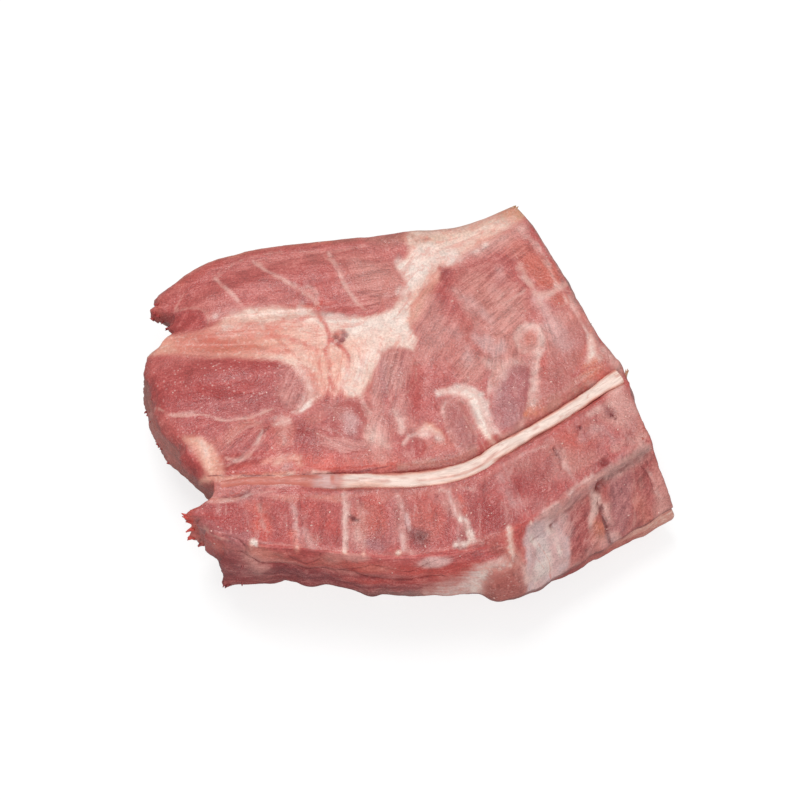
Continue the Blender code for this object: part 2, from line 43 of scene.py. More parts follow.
# the same plan as the solids: +X towards the tail, +Y towards the back, +Z up
collar = {
    "sawnHeight": 72.0, "length": 250.0,
    "wallCentre": (4.9, -3.5), "halfLength": 147.0, "halfWidth": 114.0, "planCentre": (4.91, 0.69),
    "back": ((-139, 60), (-116, 76), (-90, 86), (-57, 91), (0, 96.5), (34, 100.5), (65, 114)),
    "canal": ((-107, -67), (-80, -63.5), (-37, -61.5), (0, -60), (27, -57), (43, -50.5), (54, -42.5),
              (87, -22), (121, 2)),
    "body": ((-104, -88), (-78, -96), (-54, -99), (-29, -102), (0, -103.5), (29, -100), (56, -90),
             (81, -77), (98, -64), (120, -47), (135, -37)),
    "throat": ((-97, -102), (-78, -106), (-60, -106.5), (-33, -107.5), (0, -113), (38, -111.5),
               (57, -116), (76, -108), (96, -95.5), (131, -74), (150.5, -62)),
    "headRagBack": ((0, 0), (0.04, -1), (0.2, 9), (0.43, 17), (0.62, 17.5), (0.72, 10), (0.79, -4),
                    (0.85, -2), (0.91, 5), (1, 1)),
    "headRagBody": ((0, 0), (0.3, 2), (0.5, 9), (0.7, 3), (1, 0)), "headRagReach": 46.0,
    "tailBulge": ((0, 0), (0.35, 0.6), (0.62, 2.0), (0.8, 2.4), (1, 0)), "tailBulgeReach": 30.0,
    "throatWaves": ((1.1, 23.0, 0.4), (0.7, 13.0, 2.0)),
    "backShift": ((-120, 0), (-80, 1.4), (-50, 2.0), (-20, 1.6), (10, 0), (160, 0)),
    "throatShift": ((-97, 0), (-80, 1.6), (-66, 4.0), (-58, 2.4), (-50, -0.6), (-42, 1.0), (-34, -1.0),
        (-15, -1.0),
                    (0, 0), (60, 0), (79, 1.2), (100, 0.6), (135, 1.2), (160, 1.2)),
    "backHeights": ((0, 57), (0.15, 60), (0.5, 64), (0.8, 63), (1, 62)), "backFallPower": 1.5,
    "neckProfile": ((0, 72), (0.2, 71.4), (0.45, 67), (0.7, 58.5), (0.88, 48), (1, 36)),
    "chestProfile": ((0, 72), (0.07, 70.5), (0.15, 64.5), (0.24, 60), (0.45, 52), (0.75, 42), (1, 31)),
    "chestStart": 0.60, "chestFull": 0.72,
    "headSag": 6.0, "headSagRow": 2.5, "headSagLength": 20.0,
    "rimBack": 8.0, "rimHead": 6.3, "rimTail": 2.0,
    # walls: tail, back, head, throat
    "swell": (6.0, 5.0, 2.5, 0.5), "undercut": (5.0, 17.0, 14.0, 20.0),
    "undercutStart": (0.35, 0.42, 0.5, 0.98), "undercutTurn": (2.2, 2.4, 2.0, 1.4),
    "swells": ((-70, 60, 62, 17, 14, 2.6), (-98, 1, 40, 17, 4, 3.2), (-116, -44, 13, 11, 20, 2.4),
               (-60, -38, 26, 12, 0, 1.2), (2, -4, 12, 28, 4, 1.8), (30, 38, 22, 42, -24, 2.2),
               (88, 48, 16, 26, 20, 1.6), (-28, -26, 12, 12, 0, 0.8)),
    "hollows": ((-60, 42, 60, 5, 6, 1.4), (-96, 22, 34, 5, 0, 2.2), (12, 56, 44, 5, 48, 1.2),
                (-14, -10, 5, 26, 0, 1.0), (-90, -50, 26, 5, 8, 1.6), (70, 24, 12, 12, 0, 1.4),
                (0, -113, 52, 4, 0, 1.0)),
}

# linear colours, the shine of the wet surface not counted
tones = {
    "lean": (0.50, 0.096, 0.086), "rose": (0.45, 0.066, 0.062), "deep": (0.37, 0.048, 0.047),
    "wine": (0.25, 0.045, 0.050), "bright": (0.60, 0.080, 0.062), "salmon": (0.58, 0.165, 0.125),
    "milky": (0.58, 0.215, 0.180), "pinkMilk": (0.66, 0.300, 0.260), "dusky": (0.52, 0.190, 0.165),
    "violet": (0.42, 0.145, 0.150), "brown": (0.37, 0.140, 0.110), "tan": (0.60, 0.330, 0.200),
    "orange": (0.64, 0.180, 0.100), "throat": (0.30, 0.050, 0.052), "umber": (0.22, 0.075, 0.070),
    "lilac": (0.44, 0.145, 0.145),
    "grey": (0.43, 0.230, 0.205), "membrane": (0.72, 0.560, 0.560), "fascia": (0.74, 0.530, 0.490),
    "redFat": (0.62, 0.190, 0.125), "orangeRed": (0.58, 0.125, 0.085),
    "cream": (0.91, 0.660, 0.560), "sheath": (0.94, 0.740, 0.650), "pinkCream": (0.86, 0.440, 0.330),
    "rosyCream": (0.73, 0.260, 0.200),
    "film": (0.80, 0.500, 0.440), "veil": (0.70, 0.420, 0.400), "taupe": (0.50, 0.260, 0.235),
    "vein": (0.60, 0.08, 0.06),
    "brownPink": (0.50, 0.200, 0.160), "brownRed": (0.38, 0.085, 0.070), "hot": (0.68, 0.115, 0.080),
    "white": (0.92, 0.770, 0.690), "bone": (0.52, 0.105, 0.098), "paleBone": (0.60, 0.235, 0.220),
    "darkBone": (0.38, 0.075, 0.072), "gristle": (0.70, 0.430, 0.400),
}


def smoothStep(t):
    t = np.clip(t, 0.0, 1.0)
    return t * t * (3.0 - 2.0 * t)


# soft value noise from -1 to 1
def cloud(p, size, seed=0):
    q = p / size + seed * 17.31
    cell = np.floor(q).astype(np.int64)
    f = q - cell
    f = f * f * (3.0 - 2.0 * f)
    total = np.zeros(len(p))
    for corner in range(8):
        step = np.array([corner & 1, corner >> 1 & 1, corner >> 2 & 1])
        c = cell + step
        h = (c[:, 0] * 73856093) ^ (c[:, 1] * 19349663) ^ (c[:, 2] * 83492791) ^ (seed * 668265263)
        h = ((h ^ (h >> 13)) * 1274126177) & 0x7FFFFFFF
        h = ((h ^ (h >> 15)) * 1911520717) & 0x7FFFFFFF
        weight = np.prod(np.where(step, f, 1.0 - f), axis=1)
        total += weight * (h / 0x3FFFFFFF - 1.0)
    return total


# layers of noise: size in mm, seed and amount of each
def layers(points, parts):
    return sum(cloud(points, size, seed) * amount for size, seed, amount in parts)


def denseLine(points):
    points = np.array(points, float)
    ends = np.vstack([2 * points[0] - points[1], points, 2 * points[-1] - points[-2]])
    samples = []
    for k in range(1, len(ends) - 2):
        a, b, c, d = ends[k - 1], ends[k], ends[k + 1], ends[k + 2]
        for t in np.linspace(0, 1, 24, endpoint=False):
            samples.append(0.5 * (2 * b + (c - a) * t + (2 * a - 5 * b + 4 * c - d) * t ** 2
                                  + (3 * b - a - 3 * c + d) * t ** 3))
    samples = np.array(samples + [points[-1]])
    run = np.concatenate([[0.0], np.cumsum(np.linalg.norm(np.diff(samples[:, :2], axis=0), axis=1))])
    return samples, run / run[-1]


def alongLine(line, share):
    samples, shares = line
    share = np.asarray(share, float)
    columns = []
    for column in samples.T:
        before = (column[1] - column[0]) / shares[1]
        after = (column[-1] - column[-2]) / (shares[-1] - shares[-2])
        value = np.interp(share, shares, column)
        columns.append(value + np.minimum(share, 0) * before + np.maximum(share - 1, 0) * after)
    return np.stack(columns, -1)


def curveValue(pairs, x):
    xs = np.array([p[0] for p in pairs], float)
    ys = np.array([p[1] for p in pairs], float)
    k = np.clip(np.searchsorted(xs, x, side="right") - 1, 0, len(xs) - 2)
    return ys[k] + (ys[k + 1] - ys[k]) * smoothStep((x - xs[k]) / (xs[k + 1] - xs[k]))


lines = {name: denseLine(collar[name]) for name in ("throat", "body", "canal", "back")}
order = ("throat", "body", "canal", "back")


def shareAtX(name, x):
    samples, shares = lines[name]
    return float(np.interp(x, samples[:, 0], shares))


# row 0 is the throat edge, 1 the body edge, 2 the canal, 3 the back edge
def planPoints(share, row):
    length = collar["length"]
    places = [alongLine(lines[name], share) for name in order]
    k = np.clip(row.astype(int), 0, 2)
    part = row - k
    near = np.choose(k[..., None], places[:3])
    far = np.choose(k[..., None], places[1:])
    point = near + (far - near) * part[..., None]
    fade = 1.0 - smoothStep(share * length / collar["headRagReach"])
    for strip, first, last, rag in ((2, "canal", "back", "headRagBack"), (1, "body", "canal", "headRagBody")):
        side = alongLine(lines[last], 0.0) - alongLine(lines[first], 0.0)
        out = np.array([-side[1], side[0]]) / np.linalg.norm(side)
        if out @ (alongLine(lines[first], 0.03) - alongLine(lines[first], 0.0)) > 0:
            out = -out
        amount = np.where(k == strip, curveValue(collar[rag], part) * fade, 0.0)
        point = point + out * amount[..., None]
    ahead = alongLine(lines["canal"], 1.0) - alongLine(lines["canal"], 0.95)
    rise = 1.0 - smoothStep((1.0 - share) * length / collar["tailBulgeReach"])
    bulge = np.where(k == 2, curveValue(collar["tailBulge"], part) * rise, 0.0)
    point = point + ahead / np.linalg.norm(ahead) * bulge[..., None]
    wave = 0.4 * sum(h * np.sin(math.tau * share * length / w + p) for h, w, p in collar["throatWaves"])
    wave = wave - curveValue(collar["throatShift"], point[..., 0])
    point[..., 1] -= np.where(k == 2, curveValue(collar["backShift"], point[..., 0]) * part ** 3, 0.0)
    point[..., 1] -= np.where(k == 0, wave * (1.0 - part) ** 2, 0.0)
    return point


def turned(x, y, centre, heading):
    a = math.radians(heading)
    u = (x - centre[0]) * math.cos(a) + (y - centre[1]) * math.sin(a)
    v = -(x - centre[0]) * math.sin(a) + (y - centre[1]) * math.cos(a)
    return u, v


def lens(x, y, place):
    u, v = turned(x, y, place[:2], place[4])
    r = (u / place[2]) ** 2 + (v / place[3]) ** 2
    return place[5] * np.where(r < 1.0, (1.0 - r) ** 2, 0.0)


def rimDrop(distance, radius):
    inside = np.clip(distance, 0.0, radius)
    return radius - np.sqrt(np.maximum(0.0, radius ** 2 - (radius - inside) ** 2))


def topHeights(share, row, x, y):
    length, saw = collar["length"], collar["sawnHeight"]
    part = np.clip(row - 2.0, 0.0, 1.0)
    z = saw - (saw - curveValue(collar["backHeights"], share)) * part ** collar["backFallPower"]
    soft = smoothStep(part / 0.12)
    down = np.clip(1.0 - row, 0.0, 1.0)
    neck = np.interp(down, *np.array(collar["neckProfile"], float).T)
    chest = np.interp(down, *np.array(collar["chestProfile"], float).T)
    mix = smoothStep((share - collar["chestStart"]) / (collar["chestFull"] - collar["chestStart"]))
    z = np.where(row < 1.0, neck + (chest - neck) * mix, z)
    soft = np.where(row < 1.0, smoothStep(down / 0.5), soft)
    sag = collar["headSagRow"] + (collar["headSag"] - collar["headSagRow"]) * soft
    z = z - sag * np.exp(-share * length / collar["headSagLength"])
    for place in collar["swells"]:
        z = z + lens(x, y, place) * soft
    for place in collar["hollows"]:
        z = z - lens(x, y, place) * soft
    z = z - rimDrop(share * length, collar["rimHead"]) - rimDrop((1.0 - share) * length, collar["rimTail"])
    width = np.linalg.norm(alongLine(lines["back"], share) - alongLine(lines["canal"], share), axis=-1)
    return z - np.where(row > 2.0, rimDrop((3.0 - row) * width, collar["rimBack"]), 0.0)


def sideWeights(x, y):
    u = (x - collar["wallCentre"][0]) / collar["halfLength"]
    v = (y - collar["wallCentre"][1]) / collar["halfWidth"]
    weights = np.stack([np.maximum(w, 0.0) ** 3 for w in (u, v, -u, -v)], -1)
    return weights / weights.sum(-1, keepdims=True)


def wallOffset(x, y, share):
    weights = sideWeights(x, y)
    swell, undercut, start, turn = (weights @ np.array(collar[name]) for name in
                                    ("swell", "undercut", "undercutStart", "undercutTurn"))
    offset = swell * np.sin(np.pi * np.clip((1.0 - share) / 0.9, 0.0, 1.0)) ** 1.2
    below = np.clip(1.0 - share / start, 0.0, 1.0)
    return offset - undercut * below ** turn


# the whole joint as one fine lattice, later cut along the edges of its pieces

weave = {
    "step": 0.95, "headArc": 9, "tailArc": 5, "throatRows": 36, "boneRows": 36, "backRows": 126, "rimRows": 8,
    "wallLevels": 27,
}
boneRow = {
    "discs": ((-79, -78), (-55, -54), (-29, -29), (0, 0), (24, 33), (51, 69), (77, 95), (103, 127)),
    "head": (-103, -101), "discHalf": 1.6, "inset": 1.2, "canalSide": 6.0,
}
# the canal across: distance from its middle line and how deep its floor lies there
canalFloor = ((-5.6, 0.5), (-5.0, 1.2), (-4.2, 2.2), (-3.0, 3.6), (-1.0, 4.8), (1.0, 4.8), (2.2, 4.2),
              (3.0, 3.6),
              (3.8, 2.9), (4.8, 2.0), (5.8, 1.2), (6.6, 0.6), (7.4, 0.15))


def arcSteps(radius, count):
    return [radius * (1.0 - math.cos(math.pi / 2 * k / (count - 1))) for k in range(count)]


# ends of every vertebra as shares on the canal and on the body edge, and the station between them
def rowKnots():
    half = boneRow["discHalf"] / collar["length"]
    knots = [(0.0, 0.0), tuple(shareAtX(n, x) for n, x in zip(("canal", "body"), boneRow["head"]))]
    for pair in boneRow["discs"]:
        centre = [shareAtX(n, x) for n, x in zip(("canal", "body"), pair)]
        knots += [tuple(c - half for c in centre), tuple(c + half for c in centre)]
    knots.append((1.0, 1.0))
    knots = np.array(knots)
    return knots, knots.mean(axis=1)


def stationPlaces():
    length = collar["length"]
    head = arcSteps(collar["rimHead"], weave["headArc"])
    tail = arcSteps(collar["rimTail"], weave["tailArc"])
    count = int((length - head[-1] - tail[-1]) / weave["step"])
    inner = np.linspace(head[-1], length - tail[-1], count)
    stations = np.concatenate([head[:-1], inner, [length - s for s in reversed(tail[:-1])]]) / length
    _, middle = rowKnots()
    for knot in middle[1:-1]:
        stations[np.argmin(np.abs(stations - knot))] = knot
    return np.sort(stations)


# how far the canal is open: at the head end tissue fills most of it
def canalOpening(share):
    return 0.12 + 0.88 * smoothStep((share - 0.2) / 0.16)


def collarLattice():
    stations = stationPlaces()
    knots, middle = rowKnots()
    canal, body = (np.interp(stations, middle, knots[:, k]) for k in range(2))
    down = np.linspace(0, 1, 200)
    profile = np.interp(down, *np.array(collar["chestProfile"], float).T)
    run = np.concatenate([[0], np.cumsum(np.hypot(np.diff(down) * 20.0, np.diff(profile)))])
    throatRows = 1.0 - np.interp(np.linspace(1, 0, weave["throatRows"] + 1), run / run[-1], down)[:-1]
    width = np.linalg.norm(alongLine(lines["canal"], canal) - alongLine(lines["body"], body), axis=1)
    backWidth = np.linalg.norm(alongLine(lines["back"], canal) - alongLine(lines["canal"], canal), axis=1)
    inset, side = boneRow["inset"], boneRow["canalSide"]
    columns = [np.full(len(stations), r) for r in throatRows]
    columns += [1.0 + 0 * width, 1.0 + inset / 2 / width]
    bonesFrom = len(columns)
    for t in np.linspace(0, 1, weave["boneRows"]):
        columns.append(1.0 + (inset + (width - inset - side) * t) / width)
    bonesTo = len(columns) - 1
    for offset, _ in canalFloor:
        columns.append(2.0 + offset / (width if offset < 0 else backWidth))
    canalTo = len(columns)
    first, last = canalFloor[-1][0] + 0.9, collar["rimBack"]
    for t in np.linspace(0, 1, weave["backRows"]):
        columns.append(2.0 + (first + (backWidth - last - first) * t) / backWidth)
    for s in reversed(arcSteps(collar["rimBack"], weave["rimRows"])[:-1]):
        columns.append(3.0 - s / backWidth)
    row = np.stack(columns, 1)
    share = body[:, None] + (canal - body)[:, None] * np.clip(row - 1.0, 0.0, 1.0)
    plan = planPoints(share, row)
    z = topHeights(share, row, plan[..., 0], plan[..., 1])
    opened = canalOpening(canal)
    for k, (_, deep) in enumerate(canalFloor):
        z[:, bonesTo + 1 + k] -= deep * opened
    station = np.repeat(stations[:, None], row.shape[1], 1)
    return {"station": station, "share": share, "row": row, "points": np.dstack([plan, z]),
            "bones": (bonesFrom, bonesTo), "canalTo": canalTo}


def gridFaces(rows, columns):
    i, j = np.meshgrid(np.arange(rows - 1), np.arange(columns - 1), indexing="ij")
    a = (i * columns + j).ravel()
    return np.stack([a, a + columns, a + columns + 1, a + 1], 1)


# draws the wall in under the chest edge at the tail and under the back edge at the head
def wallTuck(x, y, share):
    chest = 3.3 * smoothStep((-20 - y) / 30) * smoothStep((x - 70) / 50)
    back = 2.2 * smoothStep((y - 60) / 20) * smoothStep((20 - x) / 40)
    flap = 7.5 * np.exp(-((y - 38) / 13) ** 2) * smoothStep((-100 - x) / 20)
    return (chest + back + flap) * np.sin(np.pi * np.clip((1.0 - share) / 0.9, 0.0, 1.0)) ** 0.6


def borderRing(ni, nj):
    border = [(i, 0) for i in range(ni)] + [(ni - 1, j) for j in range(1, nj)]
    border += [(i, nj - 1) for i in range(ni - 2, -1, -1)] + [(0, j) for j in range(nj - 2, 0, -1)]
    return np.array([i * nj + j for i, j in border])


def closedBlock(lattice):
    points = lattice["points"]
    ni, nj = points.shape[:2]
    top = points.reshape(-1, 3)
    ring = borderRing(ni, nj)
    edge = top[ring]
    away = edge[:, :2] - np.array(collar["wallCentre"])
    away = away / np.linalg.norm(away, axis=1, keepdims=True)
    vertices, walls, level = [top], [], [np.ones(len(top))]
    count = len(top)
    following = np.roll(np.arange(len(ring)), -1)
    for share in np.linspace(1.0, 0.0, weave["wallLevels"])[1:]:
        offset = wallOffset(edge[:, 0], edge[:, 1], share) - wallTuck(edge[:, 0], edge[:, 1], share)
        vertices.append(np.column_stack([edge[:, :2] + away * offset[:, None], edge[:, 2] * share]))
        level.append(np.full(len(ring), share))
        lower = np.arange(count, count + len(ring))
        walls.append(np.stack([lower, lower[following], ring[following], ring], 1))
        count += len(ring)
        ring = lower
    return {"vertices": np.vstack(vertices), "top": gridFaces(ni, nj), "walls": np.vstack(walls),
            "base": ring[::-1], "level": np.concatenate(level), "shape": (ni, nj)}


def newMesh(name, vertices, faces):
    mesh = bpy.data.meshes.new(name)
    moved = (np.asarray(vertices, float) - (*collar["planCentre"], 0.0)) * mm
    mesh.from_pydata(moved.tolist(), [], [tuple(int(i) for i in f) for f in faces])
    mesh.shade_smooth()
    mesh.update()
    return mesh


def placed(name, data):
    thing = bpy.data.objects.new(name, data)
    bpy.context.scene.collection.objects.link(thing)
    return thing


def setAttributes(mesh, values):
    for name, value in values.items():
        value = np.asarray(value, float)
        kind = {1: "FLOAT", 2: {3: "FLOAT_VECTOR", 4: "FLOAT_COLOR"}.get(value.shape[-1])}[value.ndim]
        field = {"FLOAT": "value", "FLOAT_VECTOR": "vector", "FLOAT_COLOR": "color"}[kind]
        layer = mesh.attributes.new(name, kind, "POINT")
        layer.data.foreach_set(field, value.astype(np.float32).ravel())


# what is drawn on the meat, in plan millimetres

# drawn lines: half width, strength, depth, then x, y of each point
# pale connective lines between the muscles
paleLines = (
    (0.8, 0.5, 0, -126, 48.5, -123.5, 53, -121.5, 56.5),
    (1.1, 0.35, 0, -100.5, 72, -103, 66, -100, 58.5, -92, 51.5, -86.5, 43),
    (1, 0.45, 0, -101, 60, -92, 51.5, -86.5, 43),
    (1.3, 0.6, 0, -79.5, 73, -72.5, 66, -64.5, 60, -54.5, 53.5, -49.5, 50.5, -46, 46.5),
    (1.2, 0.55, 0, -41.5, 75.5, -36, 71.5, -33, 65.5, -31, 58, -25.5, 50, -19.5, 42),
    (1, 0.3, 0, -104, 66, -90, 76, -70, 80.5, -40, 80, -20, 84),
    (1, 0.35, 0, -125.5, 46.5, -117, 47, -109, 43.5, -106.5, 36, -111, 30.5),
    (0.9, 0.75, 0, -137, -14, -122.5, -21, -106.5, -21.5, -96.5, -25, -90, -25, -80, -23.5, -72, -20, -69,
     -19), (1.3, 0.6, 0, -93, -52, -83, -47.5, -78, -43, -74.5, -39.5, -73, -35.5),
    (1.6, 0.7, 0, 67, 71.5, 71.5, 61, 76.5, 52, 83.5, 52, 88, 54, 93, 57.5),
    (1.9, 0.5, 0, 76.5, 53, 77, 46.5, 81, 41.5), (1, 0.45, 0, 81, 43.5, 88, 42.5, 95.5, 47, 97, 51, 91, 54),
    (0.8, 0.35, 0, -7, -9, -3, -20, -2, -30), (0.8, 0.4, 0, 33, -20, 40, -33, 46, -43),
    (0.8, 0.7, 0, -104.5, -86, -100.5, -90.5, -96.5, -93, -91, -94.5),
    (1.1, 0.4, 0, 125.5, -48.5, 127, -57, 128, -67, 128.5, -76),
    (0.9, 0.45, 0, 84, -78, 97, -66, 110, -56, 128, -44.5),
    (0.9, 0.35, 0, -92, -38, -85, -31, -76, -27, -69, -21),
    (0.8, 0.4, 0, -100, -70.5, -88, -72, -78, -69, -66, -67.5),
    (0.9, 0.3, 0, -19.5, -75.5, -18.5, -90, -19, -103), (0.9, 0.3, 0, 29, -74, 33, -84, 38, -96),
    (0.8, 0.3, 0, 2, -12, 8, -4, 9, 8),
)
# dark clefts: painted shade along the creases, over grooves of the given depth
shadedClefts = (
    (0.7, 0.85, 1.8, 107.5, -69, 109.5, -72, 113, -77, 116, -83),
    (0.6, 0.45, 1.1, 70.5, -91.5, 79, -85, 86.5, -78.5, 96, -71, 107, -63, 114, -57.5, 121, -51.5, 129.5, -46,
     136, -43), (0.6, 0.6, 1, 131.5, -49, 136, -52, 139, -57.5),
    (0.45, 0.5, 0.4, 56, 24.5, 60, 26.5, 64, 29.5), (0.45, 0.45, 0.4, -20.5, 56, -12, 54.5, -2, 57),
    (0.4, 0.45, 0.3, -16, 51, -6, 50, -1, 52.5),
    (0.6, 0.75, 0.7, -104, -57.5, -74.5, -58.5, -48, -57.5, -26.5, -56.5, -4, -53),
    (0.7, 0.5, 0.6, -95, -70, -89, -70.5, -84, -68.5), (0.5, 0.5, 0.3, -53, -73, -52.5, -80, -51.5, -86),
    (0.4, 0.45, 0.3, -62, 75.5, -70, 72.5, -76, 72),
)
# on the throat side, places are x and the way down over the surface from the bones' edge
throatPatches = (
    (-20, 4, 80, 7, 0, 3, "bone", 0.8), (-45, 11, 60, 5, 0, 3, "salmon", 0.6),
    (20, 10, 40, 6, 0, 4, "rose", 0.7), (-52, 8, 9, 8, 0, 3, "rose", 0.7),
    (-74, 9, 7, 7, 0, 3, "salmon", 0.8), (-35, 7, 5, 5, 0, 2, "milky", 0.7),
    (-24, 3, 7, 5, 0, 2, "pinkMilk", 0.7), (-20, 12, 10, 5, 0, 3, "bright", 0.5),
    (10, 12, 12, 5, 0, 3, "bright", 0.5), (-14, 13, 9, 3, 0, 2, "salmon", 0.6),
    (30, 16, 18, 6, 0, 4, "bright", 0.5), (-70, 17, 16, 3, 0, 2, "milky", 0.6),
    (-35, 19.5, 36, 2, 0, 1.5, "dusky", 0.7), (-52, 31, 30, 9, 0, 4, "wine", 0.85),
    (-86, 27, 16, 16, 0, 5, "wine", 0.6), (-10, 29, 26, 9, 0, 4, "throat", 0.8),
    # the thin bright line at -18, 26 is a painted highlight on the wet lower throat
    (-18, 26, 14, 2.5, 0, 2, "bright", 0.6), (12, 24, 14, 4, 0, 3, "bright", 0.4),
    (-8, 44, 50, 6, 0, 3, "umber", 0.85), (26, 40, 30, 6, 0, 3, "grey", 0.6),
    (-50, 42, 24, 7, 0, 4, "throat", 0.7), (18, 7.5, 8, 4.5, 0, 1.6, "gristle", 0.8),
)
# painted shade along the clefts of the throat side, over grooves of the given depth
throatShadedClefts = (
    (0.8, 0.85, 1.3, -84, 12, -77, 17, -70, 21, -53, 22, -37, 20.5, -26, 19, -12, 23.5, 4, 24, 22, 20.5),
    (0.6, 0.7, 0.9, -30, 17, -21, 13.5, -12, 10, 0, 14.5, 8, 14, 14, 8),
    (0.7, 0.6, 0.9, -94, 2, -89, -1, -84, 1.5, -81.5, 7, -82, 12),
    (0.6, 0.6, 0.6, -62, 32, -48, 35, -36, 32, -20, 36, 0, 33),
    (0.5, 0.5, 0.5, -60, 4, -57, 12, -50, 15, -43, 11, -42, 5),
)
# sheets of tissue: tone, strength, soft edge, then x, y of the outline
sheets = (
    ("membrane", 0.95, 1.6, 67.5, -87.5, 74, -84.5, 81, -81, 87, -83, 91, -86.5, 92.5, -91.5, 91.5, -97, 85.5,
     -101.5, 78.5, -108, 72.5, -113, 68.5, -113, 67, -106.5, 66, -101, 66, -94.5),
    ("milky", 0.35, 4, 70, -104, 78, -98, 80, -106, 72, -113),
    ("lilac", 0.25, 3, 69, -90, 75, -92, 74, -106, 68, -110),
)
